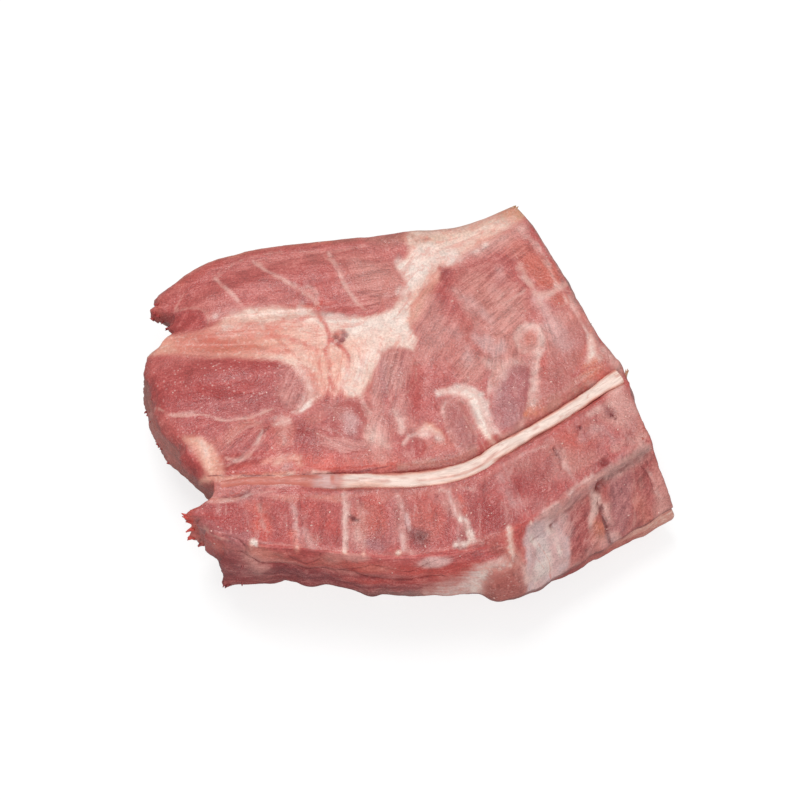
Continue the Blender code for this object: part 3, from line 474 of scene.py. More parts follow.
# bands of tissue over the sawn face: tone, strength, soft edge, then x, y, half width of each place
veils = (
    ("film", 0.8, 2, 106.5, -6, 2.2, 111, -4.5, 3.4, 115.5, -4, 2.2, 118.5, -6, 1.7),
    ("salmon", 0.6, 3, 109.5, 14.5, 2.2, 113.5, 8, 2.8, 118.5, 5.5, 2.2),
    ("film", 0.9, 1.5, 29.5, -80.5, 1.1, 32.5, -84.5, 2.2, 35.5, -91, 2, 37.5, -96, 1.7),
    ("fascia", 0.6, 3, 59, -103, 1.7, 63.5, -105, 2.2, 66, -108, 1.7),
    ("tan", 0.35, 2.5, 2.5, 88, 2.2, 17, 87.5, 2.2, 34, 90.5, 1.7, 51, 98, 1.7),
    ("wine", 0.5, 2, -125.5, 46, 1.7, -130.5, 43.5, 2.2, -135, 44.5, 1.7),
    ("tan", 0.35, 3, 1, 89.5, 1.7, 17, 89.5, 2.2, 34, 93, 1.7, 52.5, 101, 1.7),
    ("pinkCream", 0.85, 4, 22.5, 73.5, 2.8, 18.5, 61.5, 2.8, 11.5, 48.5, 3.4, 6.5, 37, 2.8),
    ("pinkMilk", 0.75, 4, 31, 72, 2.2, 42.5, 79, 3.9, 56.5, 86.5, 3.9, 68, 96, 3.4),
    ("white", 0.8, 2.5, 13, -34, 1.7, 17, -34, 2.2, 21.5, -37, 1.7),
    ("rose", 0.8, 5, -90.5, -41.5, 4.5, -80.5, -43, 5, -74, -46, 3.4),
    ("rose", 0.8, 3, -104, -60.5, 1.7, -93.5, -59.5, 2.2, -80.5, -59, 1.7, -69.5, -61, 1.7),
    ("pinkMilk", 0.85, 4, -8.5, -38, 2.2, -7.5, -45, 2.8, -9.5, -51, 1.7),
    ("milky", 0.8, 5, 90, -48.5, 3.4, 96, -52.5, 4.5, 102.5, -48.5, 2.8),
    ("pinkMilk", 0.7, 4, -11, 15.5, 1.7, -8, 9, 2.2, -6.5, 0.5, 1.7),
    ("film", 0.7, 3, 129, -42, 2.2, 133.5, -42.5, 1.7, 125.5, -45.5, 2.2),
    ("pinkMilk", 0.85, 4, 111.5, -6.5, 2.8, 115, -10, 2.8, 119, -14.5, 2.2),
    ("film", 0.6, 3, 85.5, -100.5, 1.7, 91, -97.5, 1.7, 96.5, -94, 1.1),
    ("film", 0.6, 2, 62.5, 97.5, 1.7, 68, 97, 2.2, 71.5, 90, 1.7),
    ("brownRed", 0.75, 3, 51.5, -111.5, 3.4, 57, -111.5, 5, 62, -110, 3.4),
    ("film", 0.8, 1, 99, -60, 1, 104, -64.5, 1.8, 106, -67.5, 2, 104.5, -72.5, 1.8, 103.5, -79, 1.6),
    ("film", 0.7, 1, 109.5, -66, 1, 112.5, -72.5, 1.2, 116, -79, 1.2, 121, -84.5, 1),
    ("film", 0.8, 1.5, 66, 69, 1.1, 69.5, 62, 1.4, 73, 55.5, 1.7, 77, 50, 2.2, 82.5, 51, 1.7, 88, 54, 1.4, 93,
     58, 0.8), ("veil", 0.5, 4, 56.5, 73, 1.7, 55, 64.5, 2.2, 54, 54.5, 1.7),
    ("veil", 0.6, 4, 76.5, 47.5, 2.2, 80.5, 38, 2.8, 86, 28.5, 4.5, 91, 19, 3.4),
    ("film", 0.85, 1.5, 64, 24, 1.7, 66.5, 29, 2, 70.5, 31.5, 1.7, 75.5, 30, 1.7, 78, 25, 2, 77.5, 18.5, 2.2,
     74.5, 14, 2.2, 69, 13.5, 1.1, 65, 19, 1.1),
    ("film", 0.85, 1.5, 75, 14, 2.2, 74.5, 6.5, 1.7, 73.5, -1.5, 1.7, 72.5, -11.5, 1.7, 72, -17.5, 1.1),
    ("veil", 0.8, 3, 42, 25, 2.2, 47.5, 21.5, 3.4, 52.5, 16, 3.4, 57, 21, 2.2),
    ("film", 0.8, 3, 47, 9, 1.7, 52.5, 6.5, 3.4, 56, 2.5, 3.4, 53.5, -3.5, 2.2),
    ("film", 0.85, 1, 52.5, 2.5, 0.8, 49.5, -5.5, 0.8, 47.5, -14.5, 0.8, 48.5, -23.5, 0.8, 51, -30.5, 1.1, 55,
     -34, 1.1, 60.5, -32.5, 0.8, 65, -29, 0.7, 69, -25.5, 0.6),
    ("veil", 0.45, 4, 54.5, -11.5, 2.2, 58.5, -20.5, 2.8, 60.5, -26.5, 2.2),
    ("white", 0.95, 2, 21.5, -9.5, 1.1, 27, -8, 2, 33.5, -9, 2.8, 39, -10, 3.9, 42.5, -15.5, 4.5, 44.5, -22,
     4.5, 47, -28.5, 3.4, 49, -33, 1.4),
    ("film", 0.6, 1, 25, -15.5, 0.7, 23.5, -21.5, 0.7, 25.5, -29, 0.7, 28, -35, 0.8, 30, -38.5, 0.6),
    ("film", 0.5, 1, 27, -14, 0.7, 32.5, -14.5, 0.7, 37, -18, 0.6),
    ("film", 0.7, 2, 11, -34.5, 1.1, 15, -32.5, 2.2, 19.5, -34.5, 2.2, 23.5, -38, 1.1),
    ("white", 0.9, 2, 104.5, 25, 1.1, 105.5, 18.5, 2.2, 105.5, 12, 2, 104, 8, 1.1),
    ("orange", 0.8, 2, 100, 1, 1.1, 102.5, 4.5, 2.2, 107, 8, 1.7, 109.5, 11, 1.1),
    ("film", 0.65, 1, 73.5, 89, 0.6, 81.5, 72.5, 0.6, 89, 56, 0.6, 92.5, 52, 0.6, 98.5, 37.5, 0.6, 104.5, 22,
     0.6, 109.5, 8, 0.8),
    ("film", 0.5, 4, 20, 68.5, 1.7, 23.5, 73.5, 2.2, 31, 78, 2.8, 42.5, 84, 3.4, 56.5, 90.5, 2.2),
    ("film", 0.4, 3, 30.5, 54, 2.2, 36, 44, 2.2, 45.5, 28.5, 1.7),
    ("film", 0.6, 0.8, 57, 44, 0.4, 63, 49, 0.5, 69, 54.5, 0.3),
    ("film", 0.5, 0.8, 54.5, 48, 0.4, 60.5, 54.5, 0.5, 65, 59.5, 0.3),
    ("brownPink", 0.75, 1.5, 0, -54, 1.1, 16, -51, 1.7, 32, -48, 1.7, 48.5, -40, 2, 59.5, -32.5, 2, 70, -25.5,
     2, 81, -18, 2, 92.5, -10.5, 2, 102.5, -4, 1.4),
    ("orange", 0.9, 1.2, 68, -23.5, 1.1, 72.5, -20.5, 1.4, 76.5, -17.5, 0.8),
    ("hot", 0.9, 1.2, 101, -3.5, 0.7, 104.5, -1.5, 0.8, 109, 1.5, 1, 112.5, 4, 0.7),
    ("film", 0.8, 3, 107, -5.5, 2.8, 112, -4.5, 3.4, 115, -8, 2.2),
    ("salmon", 0.7, 3, -90.5, -35.5, 4.5, -85.5, -30, 5, -80, -28, 3.9),
    ("rose", 0.8, 2, -86, -40, 4.5, -83, -35.5, 4.5, -80, -31.5, 2.8),
    ("film", 0.85, 1, -74, -31.5, 0.4, -76, -38.5, 0.8, -79, -42.5, 1, -84.5, -47, 1.2, -88.5, -48.5, 0.9,
     -93, -47, 0.6), ("pinkMilk", 0.7, 2, -69, -24.5, 1.1, -64.5, -25.5, 2.2, -61, -30, 1.7, -65, -33, 1.1),
    ("film", 0.5, 1, -63.5, -24.5, 0.6, -62.5, -32, 0.8, -63.5, -39.5, 0.6),
    ("deep", 0.7, 3, -51, -31, 3.9, -47.5, -38, 5, -44, -45, 3.9),
    ("rosyCream", 0.8, 1.5, -74, -51, 1.1, -69.5, -49.5, 1.7, -64.5, -48, 1.4, -59, -47.5, 1.4, -54, -49.5,
     1.1, -52.5, -53, 0.8, -55, -56, 0.8), ("veil", 0.45, 1.5, -61, -52.5, 1.7, -56.5, -53, 1.7),
    ("film", 0.4, 1, -51, -32, 0.6, -43, -35, 0.6, -36, -39.5, 0.6, -31, -45.5, 0.6, -28.5, -51.5, 0.6),
    ("film", 0.35, 1, -42, -31, 0.6, -35, -33, 0.6, -28.5, -38, 0.6),
    ("veil", 0.6, 3, -29.5, -22.5, 2.2, -26, -26.5, 3.4, -27, -32, 2.2),
    ("deep", 0.5, 2, -38, -21, 2.2, -36, -29.5, 2.2, -32.5, -36.5, 1.7),
    ("rose", 0.5, 2, -30, -16, 2.2, -24, -17.5, 2.2, -20.5, -25, 1.7),
    ("hot", 0.65, 3, -52.5, -51.5, 2.8, -40, -51.5, 3.4, -26.5, -51.5, 2.8, -13.5, -52.5, 2.2, -1, -51, 1.7),
    ("pinkMilk", 0.8, 3, -15, -29, 2.2, -13.5, -37, 2.8, -14, -44, 2.2, -9.5, -49.5, 1.7),
    ("film", 0.8, 2, -2, -20.5, 1.1, 0, -25.5, 2, 0.5, -32, 1.4),
    ("film", 0.7, 1, 2, -40, 0.7, 5, -35.5, 0.8, 9.5, -34.5, 1.1, 14.5, -36.5, 1.1),
    ("pinkCream", 0.9, 3, -115.5, -36, 1.7, -110, -40, 3.4, -105, -45.5, 3.9, -101, -51.5, 3.4, -99, -56.5,
     2.2), ("rose", 0.8, 2, -117, -45.5, 3.4, -113, -50, 3.9, -109, -54.5, 2.8),
    ("film", 0.5, 0.8, -100, -70, 0.6, -93, -71.5, 0.6, -85, -70.5, 0.6),
    ("wine", 0.8, 0.8, -82, -70, 0.6, -80, -67.5, 0.7, -78.5, -66.5, 0.6),
    ("film", 0.7, 1.5, -77, -63, 1.1, -70.5, -61.5, 1.4, -64, -63.5, 0.8, -57.5, -63, 1.4, -52, -61, 1.4),
    ("hot", 0.5, 2, -80.5, -74, 1.7, -79, -84, 1.7, -78, -92, 1.1),
    ("hot", 0.55, 2, -73, -75.5, 2.2, -69.5, -84, 2.2, -70.5, -92.5, 1.7),
    ("wine", 0.45, 1.5, -72, -72.5, 1.7, -70, -78, 2, -67.5, -85, 1.7),
    ("veil", 0.55, 1.5, -57, -71.5, 0.8, -55.5, -84, 1.4, -54, -95, 1.4),
    ("deep", 0.8, 0.6, -52.5, -71, 0.5, -52, -79.5, 0.6, -51.5, -87.5, 0.4),
    ("veil", 0.6, 1.5, -50.5, -88.5, 0.8, -48.5, -95, 1.4, -45.5, -99, 1.1),
    ("film", 0.8, 1, -31, -69.5, 0.7, -29.5, -81, 1, -28.5, -90.5, 1.3, -28.5, -99.5, 1.3),
    ("film", 0.6, 1.5, -24, -83.5, 1.1, -22.5, -92.5, 1.6, -22, -100, 1.2),
    ("violet", 0.75, 2, -18.5, -96.5, 2.2, -14.5, -97, 3.4, -10.5, -97.5, 2.2),
    ("film", 0.7, 1.5, -0.5, -71.5, 1.1, 1, -77.5, 1.7, 2.5, -82.5, 1.8),
    ("film", 0.65, 1.2, 1, -89.5, 1, 2, -95, 1.2, 2.5, -101, 1.2),
    ("wine", 0.55, 2, 6, -89.5, 2.2, 10, -93, 3.9, 12.5, -91, 2.2),
    ("film", 0.9, 1, 21.5, -67, 0.6, 25, -68.5, 0.9, 27.5, -74.5, 1.1, 29, -78, 0.8),
    ("film", 0.9, 1, 29, -81, 0.9, 32.5, -84, 1.8, 35.5, -90, 1.6, 37, -95, 1.6, 42, -96.5, 0.7),
    ("film", 0.8, 1, 28.5, -98, 0.9, 32.5, -97.5, 0.9),
    ("film", 0.8, 0.8, 32.5, -65.5, 0.8, 35, -65.5, 0.9, 39, -66.5, 0.4),
    ("deep", 0.75, 5, 37, -78.5, 4.5, 46.5, -81, 6.7, 53, -84, 4.5),
    ("dusky", 0.6, 3, 66.5, -55.5, 3.9, 74.5, -58.5, 5, 81.5, -55.5, 3.9),
    ("veil", 0.4, 2, 53.5, -60, 1.7, 57, -67, 2.2, 59.5, -74.5, 1.7),
    ("film", 0.5, 1, 85.5, -51, 0.6, 89.5, -56.5, 0.7, 94.5, -61, 0.7),
    ("film", 0.55, 1.5, 102.5, -22, 1.7, 116.5, -16, 1.7, 127, -20.5, 1.7),
    ("wine", 0.9, 1, 110, -17, 1, 112.5, -21, 1.7, 114.5, -24.5, 1.1),
    ("wine", 0.7, 1, 94.5, -30, 1.1, 96, -33.5, 1.7),
    ("wine", 0.85, 1.5, 105, -54, 2.2, 109, -54, 2.8, 112.5, -52, 1.7),
    ("film", 0.6, 1, 101.5, -60, 0.6, 103.5, -53.5, 0.8, 107, -49, 0.8, 112.5, -48, 0.6),
    ("pinkCream", 0.9, 1, 57.5, -87.5, 0.8, 58.5, -92, 1, 59.5, -96.5, 1.7, 61.5, -99, 1.5, 63.5, -101, 0.9),
    ("brownRed", 0.7, 2.5, 32.5, -99.5, 2.2, 41, -98.5, 2.8, 48.5, -97, 2.8, 54.5, -93.5, 1.7),
    ("veil", 0.95, 4, 73.5, -88.5, 2.8, 79.5, -86, 5, 84, -90, 5.6, 82, -95.5, 5),
    ("veil", 0.95, 3, 70, -93.5, 2.2, 71.5, -99.5, 3.4, 73, -105.5, 3.4, 76, -108, 1.7),
    ("film", 0.6, 1.5, 63, -101.5, 1.4, 66.5, -105, 1.7, 69, -108.5, 1.4),
    ("vein", 0.5, 0.6, 64, -95.5, 0.4, 65, -99, 0.4, 66, -102, 0.4),
    ("taupe", 0.85, 1.5, 70, -88, 1.1, 77, -82.5, 1.7, 85, -76, 2.2, 93, -70, 2.5, 101.5, -63, 2.5, 109.5,
     -57, 2.2, 118, -51.5, 2, 126.5, -46, 1.7, 133, -42.5, 1.4),
    ("film", 0.7, 0.8, 72, -84, 0.6, 79.5, -78.5, 0.7, 87.5, -71.5, 0.7, 96, -64, 0.7, 102.5, -59, 0.6),
    ("film", 0.4, 0.8, 77, -84, 0.4, 86, -77.5, 0.4, 96, -70, 0.4, 106, -61.5, 0.4),
    ("veil", 0.6, 1.5, 86, -80, 1.7, 88.5, -84.5, 1.7, 91, -89, 1.1),
    ("film", 0.75, 1.2, 101.5, -64.5, 1.1, 104, -68, 2, 104, -74, 1.7, 102.5, -79.5, 1.1),
    ("salmon", 0.7, 2, 107, -73.5, 2.2, 108.5, -79, 2.8, 109, -84.5, 2.2),
    ("film", 0.65, 1, 109.5, -68, 0.8, 114.5, -72.5, 1.1, 118.5, -77.5, 1.2, 121, -82, 1),
    ("film", 0.6, 1, 106, -61, 0.9, 112.5, -58, 1, 119.5, -53.5, 0.8),
    ("film", 0.4, 1, 130.5, -54, 0.7, 133, -62, 0.8, 134.5, -71, 0.8),
    ("rose", 0.7, 1.5, 133, -46.5, 0.8, 136, -52, 1.1, 138.5, -57.5, 1),
    ("taupe", 0.5, 3, 142.5, -60, 2.8, 147.5, -62, 2.2, 143, -65.5, 2.2),
    ("redFat", 0.8, 1.5, -97, 80.5, 1.1, -85, 83, 1.2, -68, 84.5, 1.2, -51, 86, 1.1, -39.5, 87, 0.8),
    ("brown", 0.6, 2, -37, 86, 1.1, -22.5, 87.5, 1.4, -8.5, 89.5, 1.7, 1, 92, 1.4),
    ("hot", 0.45, 3, -138.5, 47.5, 1.7, -133, 60.5, 2.2, -124.5, 65, 2.2, -113, 70, 2, -102, 76.5, 1.4),
    ("film", 0.6, 1, -104, 64, 0.6, -96.5, 56, 0.8, -91.5, 49.5, 0.8, -87.5, 44, 0.6),
    ("film", 0.6, 1, -83, 75, 0.6, -74, 67, 0.7, -65, 61, 0.7, -56, 55.5, 0.8),
    ("film", 0.55, 1.2, -56, 55, 0.8, -50.5, 56, 0.9, -46.5, 51, 0.9, -47, 45.5, 0.8),
    ("wine", 0.5, 0.8, -56.5, 49, 0.6, -55.5, 46, 0.7, -55, 42.5, 0.4),
    ("film", 0.65, 1, -40.5, 79.5, 0.8, -36, 71.5, 1, -33, 62.5, 0.9, -28, 54.5, 0.8, -23.5, 47, 0.7),
    ("milky", 0.6, 3, -25.5, 73, 2.2, -14, 66.5, 3.4, -3, 61.5, 2.8),
    ("wine", 0.45, 0.6, -32, 59.5, 0.3, -25, 58.5, 0.4, -18.5, 59.5, 0.3),
    ("wine", 0.45, 0.6, -27, 54.5, 0.3, -20, 53.5, 0.3, -12.5, 51.5, 0.3),
    ("white", 0.7, 3, -103, 39.5, 1.1, -92, 41.5, 1.7, -77, 42, 2.2, -61, 40, 2.2, -52.5, 37.5, 1.7),
    ("hot", 0.35, 2, -86, 35.5, 1.1, -75, 33, 1.7, -61, 32, 1.7, -47, 33, 1.1),
    ("hot", 0.35, 2, -111, 27, 1.7, -94, 22, 2.2, -77, 17.5, 2.2, -63.5, 16, 1.7),
    ("wine", 0.5, 1.5, -37, 25.5, 0.8, -34, 26, 1.4, -31.5, 27.5, 0.8),
    ("violet", 0.7, 1.5, -38, 23, 1.1, -34, 22.5, 1.7, -32, 24.5, 1.1),
    ("film", 0.7, 1, -103, -73.5, 0.6, -94.5, -73, 0.7, -85, -72, 0.6, -75.5, -67, 0.6),
    ("hot", 0.8, 1.5, -77.5, -72.5, 0.8, -76, -81, 1.1, -76, -92, 0.7),
    ("hot", 0.5, 3, -73, -79.5, 2.2, -71.5, -86.5, 2.2),
    ("pinkMilk", 0.7, 1.5, -75, -75.5, 0.8, -73, -82.5, 1.1, -71.5, -89.5, 0.8),
    ("pinkMilk", 0.5, 3, -73.5, -67, 1.7, -69, -71, 1.7, -71, -76.5, 1.7),
    ("film", 0.6, 1, -55.5, -75.5, 0.6, -54.5, -87, 0.8, -54.5, -99.5, 0.8),
    ("pinkMilk", 0.5, 1.5, -51, -79.5, 0.8, -49.5, -89.5, 0.8, -47.5, -98, 1.7),
    ("deep", 0.5, 3, -50.5, -72.5, 1.7, -48.5, -79.5, 2.2, -50, -86, 1.1),
    ("film", 0.85, 1, -29.5, -70.5, 1.7, -28.5, -77, 1.4, -29, -84, 0.8, -28.5, -92.5, 1.1, -29, -99.5, 1.4),
    ("pinkMilk", 0.7, 1.5, -23.5, -72.5, 1.7, -21, -81, 1.1, -20.5, -89.5, 1.4, -20, -98, 2),
    ("umber", 0.9, 1, -27, -82, 0.8, -25, -83.5, 1, -22, -83.5, 0.6),
    ("violet", 0.7, 2.5, -17, -96, 2.2, -12.5, -98, 2.2, -10.5, -100, 1.1),
    ("film", 0.8, 1.5, -1, -71, 1.4, 1, -76, 1.4),
    ("veil", 0.9, 1, 2, -79.5, 1, 3.5, -84, 1.4, 4.5, -88.5, 1.1),
    ("pinkMilk", 0.7, 1.5, 3.5, -89.5, 1.1, 4, -96.5, 1.1, 6, -102, 1.4),
    ("umber", 0.75, 2, 7, -93.5, 1.7, 10, -92, 2.2, 14, -92.5, 1.7),
    ("umber", 0.6, 2, 9, -97, 1.7, 12.5, -96.5, 1.1),
    ("film", 0.6, 2, 22, -68.5, 1.7, 25, -74.5, 2.2, 28, -79.5, 1.7),
    ("hot", 0.6, 1, 30.5, -69.5, 0.8, 32.5, -74.5, 1.1, 34, -79.5, 0.7),
    ("white", 0.9, 1, 31, -83, 1.1, 34, -84.5, 1.7, 35.5, -89.5, 1.7, 36.5, -96, 1.7),
    ("white", 0.8, 1.5, 28.5, -98.5, 1.4, 32.5, -97.5, 1.7),
    ("violet", 0.6, 4, -89.5, -94.5, 2.8, -84, -95.5, 3.9),
    ("pinkMilk", 0.6, 3, -81.5, -99, 1.7, -76.5, -102, 2.2, -70, -104, 1.7),
    ("cream", 0.6, 3, -17, -32, 1.7, -14, -37, 2.2, -10.5, -41.5, 2.2),
    ("film", 0.7, 2, -21, -11, 1.1, -19, -15, 1.7, -17, -20, 1.4, -16.5, -26, 0.8),
    ("wine", 0.45, 2, 38, -17.5, 1.1, 41, -26.5, 1.7, 41, -35, 1.4, 37.5, -42, 1.1),
    ("violet", 0.5, 4, 30.5, -21.5, 2.2, 33.5, -31, 3.9, 33.5, -38, 2.8),
    ("violet", 0.6, 3, 56, -5.5, 2.2, 57.5, -17.5, 3.4, 59.5, -29.5, 2.8),
    ("veil", 0.35, 2, 51.5, 0, 1.7, 50, -11.5, 1.4, 51.5, -23.5, 1.4, 54, -32.5, 1.7),
    ("film", 0.7, 1.5, 73, 3.5, 1.7, 74.5, -5.5, 1.4, 74.5, -14.5, 1.1, 72, -21.5, 1.1),
    ("orange", 0.9, 1.5, 69, -23, 1.7, 73.5, -21, 2, 78, -19.5, 1.1),
    ("brownPink", 0.7, 1.5, 0, -53, 1.1, 13.5, -51, 2.2, 27, -47.5, 2.2, 37.5, -43, 1.1),
    ("brownPink", 0.7, 1.5, 78.5, -20, 1.4, 89.5, -13, 2.2, 100.5, -4.5, 2.2, 109, 1.5, 1.7),
    ("hot", 0.8, 1.2, 105.5, -3.5, 1.1, 109.5, -0.5, 1.7, 112, 2, 1.4),
    ("wine", 0.95, 1.2, 111, -18.5, 1.4, 113, -21, 1.7, 115.5, -24.5, 1.4),
    ("wine", 0.75, 1, 95, -30, 1.1, 96.5, -32.5, 1.1, 98.5, -34, 0.8),
    # painted shade: the black of a narrow slit in the bone
    ("umber", 1, 0.8, 83, -44.5, 0.8, 84, -47.5, 1, 85, -50, 0.6),
    ("film", 0.6, 1.5, 86.5, -44, 0.8, 88, -51, 1.4, 92, -55.5, 1.1),
    ("wine", 0.8, 1.8, 103.5, -55.5, 1.7, 107, -52, 2.5, 111, -50, 2),
    ("deep", 0.5, 3, 60, -55.5, 2.2, 64, -60, 3.4, 61, -66, 2.2),
    ("film", 0.4, 1, 58.5, -56.5, 0.6, 61.5, -50, 0.7, 67, -45, 0.7, 78, -41.5, 0.6),
    ("brownRed", 0.8, 1, -37.5, -66, 0.8, -16, -67.5, 0.8, 5.5, -66.5, 0.8, 21.5, -62.5, 0.7, 37.5, -58, 0.8,
     53.5, -48, 1.1, 70, -38, 0.8, 86.5, -26.5, 0.8, 103, -15.5, 0.7),
    ("vein", 0.7, 1, -43.5, 49, 0.7, -45.5, 40.5, 0.7, -41, 32.5, 0.8, -38.5, 24.5, 0.7, -40.5, 17, 0.7),
    ("vein", 0.6, 1, -40.5, 17, 0.6, -38, 9.5, 0.7, -39.5, 1, 0.7, -36, -6.5, 0.6),
    ("vein", 0.55, 1, -45.5, 40.5, 0.6, -55.5, 35, 0.7, -65.5, 36.5, 0.6),
    ("vein", 0.5, 1, -38.5, 24.5, 0.6, -32, 20, 0.6, -27.5, 12, 0.7, -28.5, 0.5, 0.6),
    ("vein", 0.5, 1, -83, 26, 0.7, -69, 26.5, 0.7, -56, 22, 0.7, -46, 17, 0.6),
    ("vein", 0.5, 1, -76.5, 37, 0.6, -71, 30, 0.7, -60.5, 16, 0.6),
    ("salmon", 0.6, 2.5, -122, 27.5, 2.8, -105.5, 27, 2.8, -88.5, 31, 2.2, -76.5, 34, 1.7),
    ("salmon", 0.5, 2.5, -110.5, 17.5, 2.2, -94, 20.5, 2.2, -76, 17.5, 1.7),
    ("white", 0.8, 3, -55.5, 41.5, 2.2, -39, 37, 2.8, -26.5, 34.5, 2.8),
    ("white", 0.7, 3, -26.5, 29.5, 3.4, -15.5, 32, 3.9, -4.5, 38, 3.4),
    ("white", 0.7, 2.5, 2, 53.5, 2.2, 6.5, 60, 2.8, 13.5, 69.5, 2.8, 22.5, 77.5, 2.8),
    ("salmon", 0.6, 2, 9, 73.5, 0.8, 3.5, 64.5, 1.1, 1, 55, 1.4, -2, 48.5, 1.1),
    ("vein", 0.6, 1, 5, 68, 0.6, 2, 61.5, 0.7, 5.5, 54, 0.7, 2, 46.5, 0.6),
    ("pinkCream", 0.6, 2, 34, 81.5, 2.8, 45.5, 88, 2.8, 54.5, 94.5, 2.8),
    ("white", 0.7, 1.5, 29.5, 73.5, 1.7, 39.5, 80, 1.1, 48.5, 85, 1.1),
    # painted highlight: white sheen on the wet membrane, here and on the next line
    ("white", 0.9, 1.5, 71, -91, 1.7, 75, -95, 1.7, 74, -101.5, 1.7, 72, -107.5, 1.1),
    ("white", 0.8, 1.5, 79, -84.5, 1.7, 83.5, -88, 1.4, 86, -92.5, 1.1),
    ("veil", 0.6, 3, 79.5, -91, 3.4, 80.5, -96.5, 3.9), ("grey", 0.7, 1.5, 80, -83.5, 1.4, 81.5, -85, 1.1),
    ("fascia", 0.8, 2, 37.5, -111, 1.7, 42.5, -110, 2.2, 48.5, -108, 2.2, 56, -104, 2.2),
    ("lilac", 0.7, 2, 116, -57, 2.8, 119, -64.5, 3.9, 121, -73.5, 3.4),
    ("violet", 0.5, 2, 115, -57.5, 2.2, 117.5, -67, 2.8),
    ("brownRed", 0.6, 2, 127.5, -49, 2.2, 130.5, -54, 2.2, 133, -59.5, 1.7),
    ("salmon", 0.7, 3, 130.5, -62.5, 3.4, 134.5, -67, 3.9, 137, -70, 3.4),
    ("pinkMilk", 0.7, 1.5, 139, -56.5, 1.7, 143, -60.5, 2.2, 147.5, -65.5, 2.2),
    ("film", 0.6, 1, 134.5, -49, 0.8, 139, -54.5, 0.8, 142.5, -59, 0.8),
    ("rose", 0.7, 2, 95, -72, 2.2, 98, -77, 3.4, 99, -85, 3.4, 96.5, -90.5, 2.2),
    ("veil", 0.7, 2, 85, -79, 2.2, 88.5, -81, 2.8, 91, -84, 2),
    ("film", 0.8, 1.5, 106.5, -66, 2.2, 105.5, -70, 2.2, 103.5, -75, 1.7, 102.5, -79, 1.1),
    ("orange", 0.7, 2, 106.5, -78, 2.2, 109.5, -80, 2.8),
    ("umber", 1, 0.5, 108.5, -70, 0.9, 111, -74, 1.1, 113.5, -79, 1.1, 116.5, -83, 1.1),
    ("pinkMilk", 0.8, 1.2, 112, -68, 1.4, 115, -72.5, 1.4, 118.5, -76.5, 1.7, 120, -81, 2),
    ("brownRed", 0.9, 1.5, 106, -63, 2, 108, -61.5, 2, 109.5, -63.5, 1.1),
    ("umber", 0.8, 0.8, 113.5, -55.5, 1, 118, -53, 1.1, 123.5, -49.5, 1.1, 129.5, -46, 0.9),
    ("taupe", 0.7, 1.5, 72.5, -84.5, 1.1, 82, -78.5, 2.2, 93, -69.5, 2.5, 107, -59, 2.2, 121, -50, 2, 133.5,
     -41.5, 1.7), ("violet", 0.5, 1, 85, -77, 0.9, 96, -68.5, 1, 107, -60, 1),
    ("pinkMilk", 0.7, 1.5, 115, -44, 1.7, 123.5, -39, 2.2, 131.5, -36.5, 2.2),
    ("film", 0.5, 1, 78.5, -78.5, 0.9, 87.5, -69.5, 0.9, 98.5, -61.5, 0.9),
    ("deep", 0.55, 3, 62.5, -65, 3.4, 71, -59.5, 4.5, 78, -55.5, 3.4),
    ("rose", 0.9, 1.2, 105, -54.5, 2.2, 108.5, -51.5, 2.8, 112, -48.5, 1.7),
    ("umber", 0.7, 0.5, 103.5, -56, 0.8, 107, -50.5, 0.8, 111.5, -47, 0.8),
    ("wine", 1, 0.8, 111.5, -19, 1.4, 113.5, -21, 2, 115.5, -24, 1.7),
    ("wine", 0.9, 0.8, 95, -30, 1.4, 97, -32.5, 1.4, 99, -34.5, 1.1),
    # painted shade in the same slit
    ("umber", 1, 0.5, 82.5, -44, 1, 84, -47.5, 1.2, 85, -50.5, 0.9),
    ("grey", 0.6, 2, 90, -97, 2.2, 98, -93, 2.2, 106.5, -87.5, 2.2),
    ("rose", 0.7, 2, 62, -96, 2.2, 64, -102, 2.2, 64.5, -106.5, 1.7),
    ("hot", 0.6, 1.5, 64.5, -96.5, 1.1, 65.5, -102.5, 1.1),
    ("white", 0.85, 0.8, 39, -110.5, 1.4, 45, -109, 1.7, 51, -106, 1.7, 57.5, -103, 1.4),
    ("white", 0.9, 0.6, 57, -88, 1, 58, -93.5, 1.2, 60, -97, 1.6, 59.5, -101.5, 1.1),
    ("brownRed", 0.6, 3, 48, -112, 3.9, 54, -112, 5, 61.5, -111.5, 3.9),
    ("film", 0.7, 0.8, 43.5, -108.5, 0.9, 52.5, -105.5, 0.9, 61, -103.5, 0.9, 66, -105.5, 0.9, 67.5, -109,
     0.9), ("bright", 0.5, 3, 84.5, -33.5, 3.4, 92.5, -39.5, 3.9),
    ("pinkMilk", 0.5, 4, 116.5, -14.5, 3.9, 121.5, -23.5, 4.5, 126.5, -32.5, 3.9),
    ("violet", 0.4, 3, 122, -17.5, 2.8, 125, -29.5, 2.8),
    ("film", 0.7, 2.5, 111.5, 15.5, 2.2, 114.5, 8, 2.8, 116.5, 1, 2.2),
    ("rose", 0.7, 3, -83.5, -42, 3.4, -77.5, -46, 2.8), ("hot", 0.5, 3, -59, -45, 3.4, -53.5, -44, 2.8),
    ("brownRed", 0.9, 0.8, -86, -71.5, 0.9, -82, -67, 1.2, -76, -67, 0.9),
    ("rose", 0.8, 2, 37, -103, 2.2, 46, -101, 2.8, 55.5, -98.5, 2.2),
    ("salmon", 0.8, 2, -52.5, 6, 2.2, -49, -0.5, 2.8, -47, -9, 2.2),
    ("violet", 0.5, 2.5, -107, -83.5, 2.8, -92, -92, 2.8, -81.5, -93.5, 2.8),
    ("white", 0.9, 0.6, -77.5, -95.5, 1.5, -76.5, -96.5, 1.1),
    ("rose", 0.8, 2, -62, -44.5, 2.8, -53.5, -43.5, 3.4), ("lean", 0.7, 3, 75, 38.5, 3.9, 78, 36, 2.8),
    ("rose", 0.7, 4, -114, -22.5, 3.9, -105.5, -24.5, 5, -97.5, -26, 3.9),
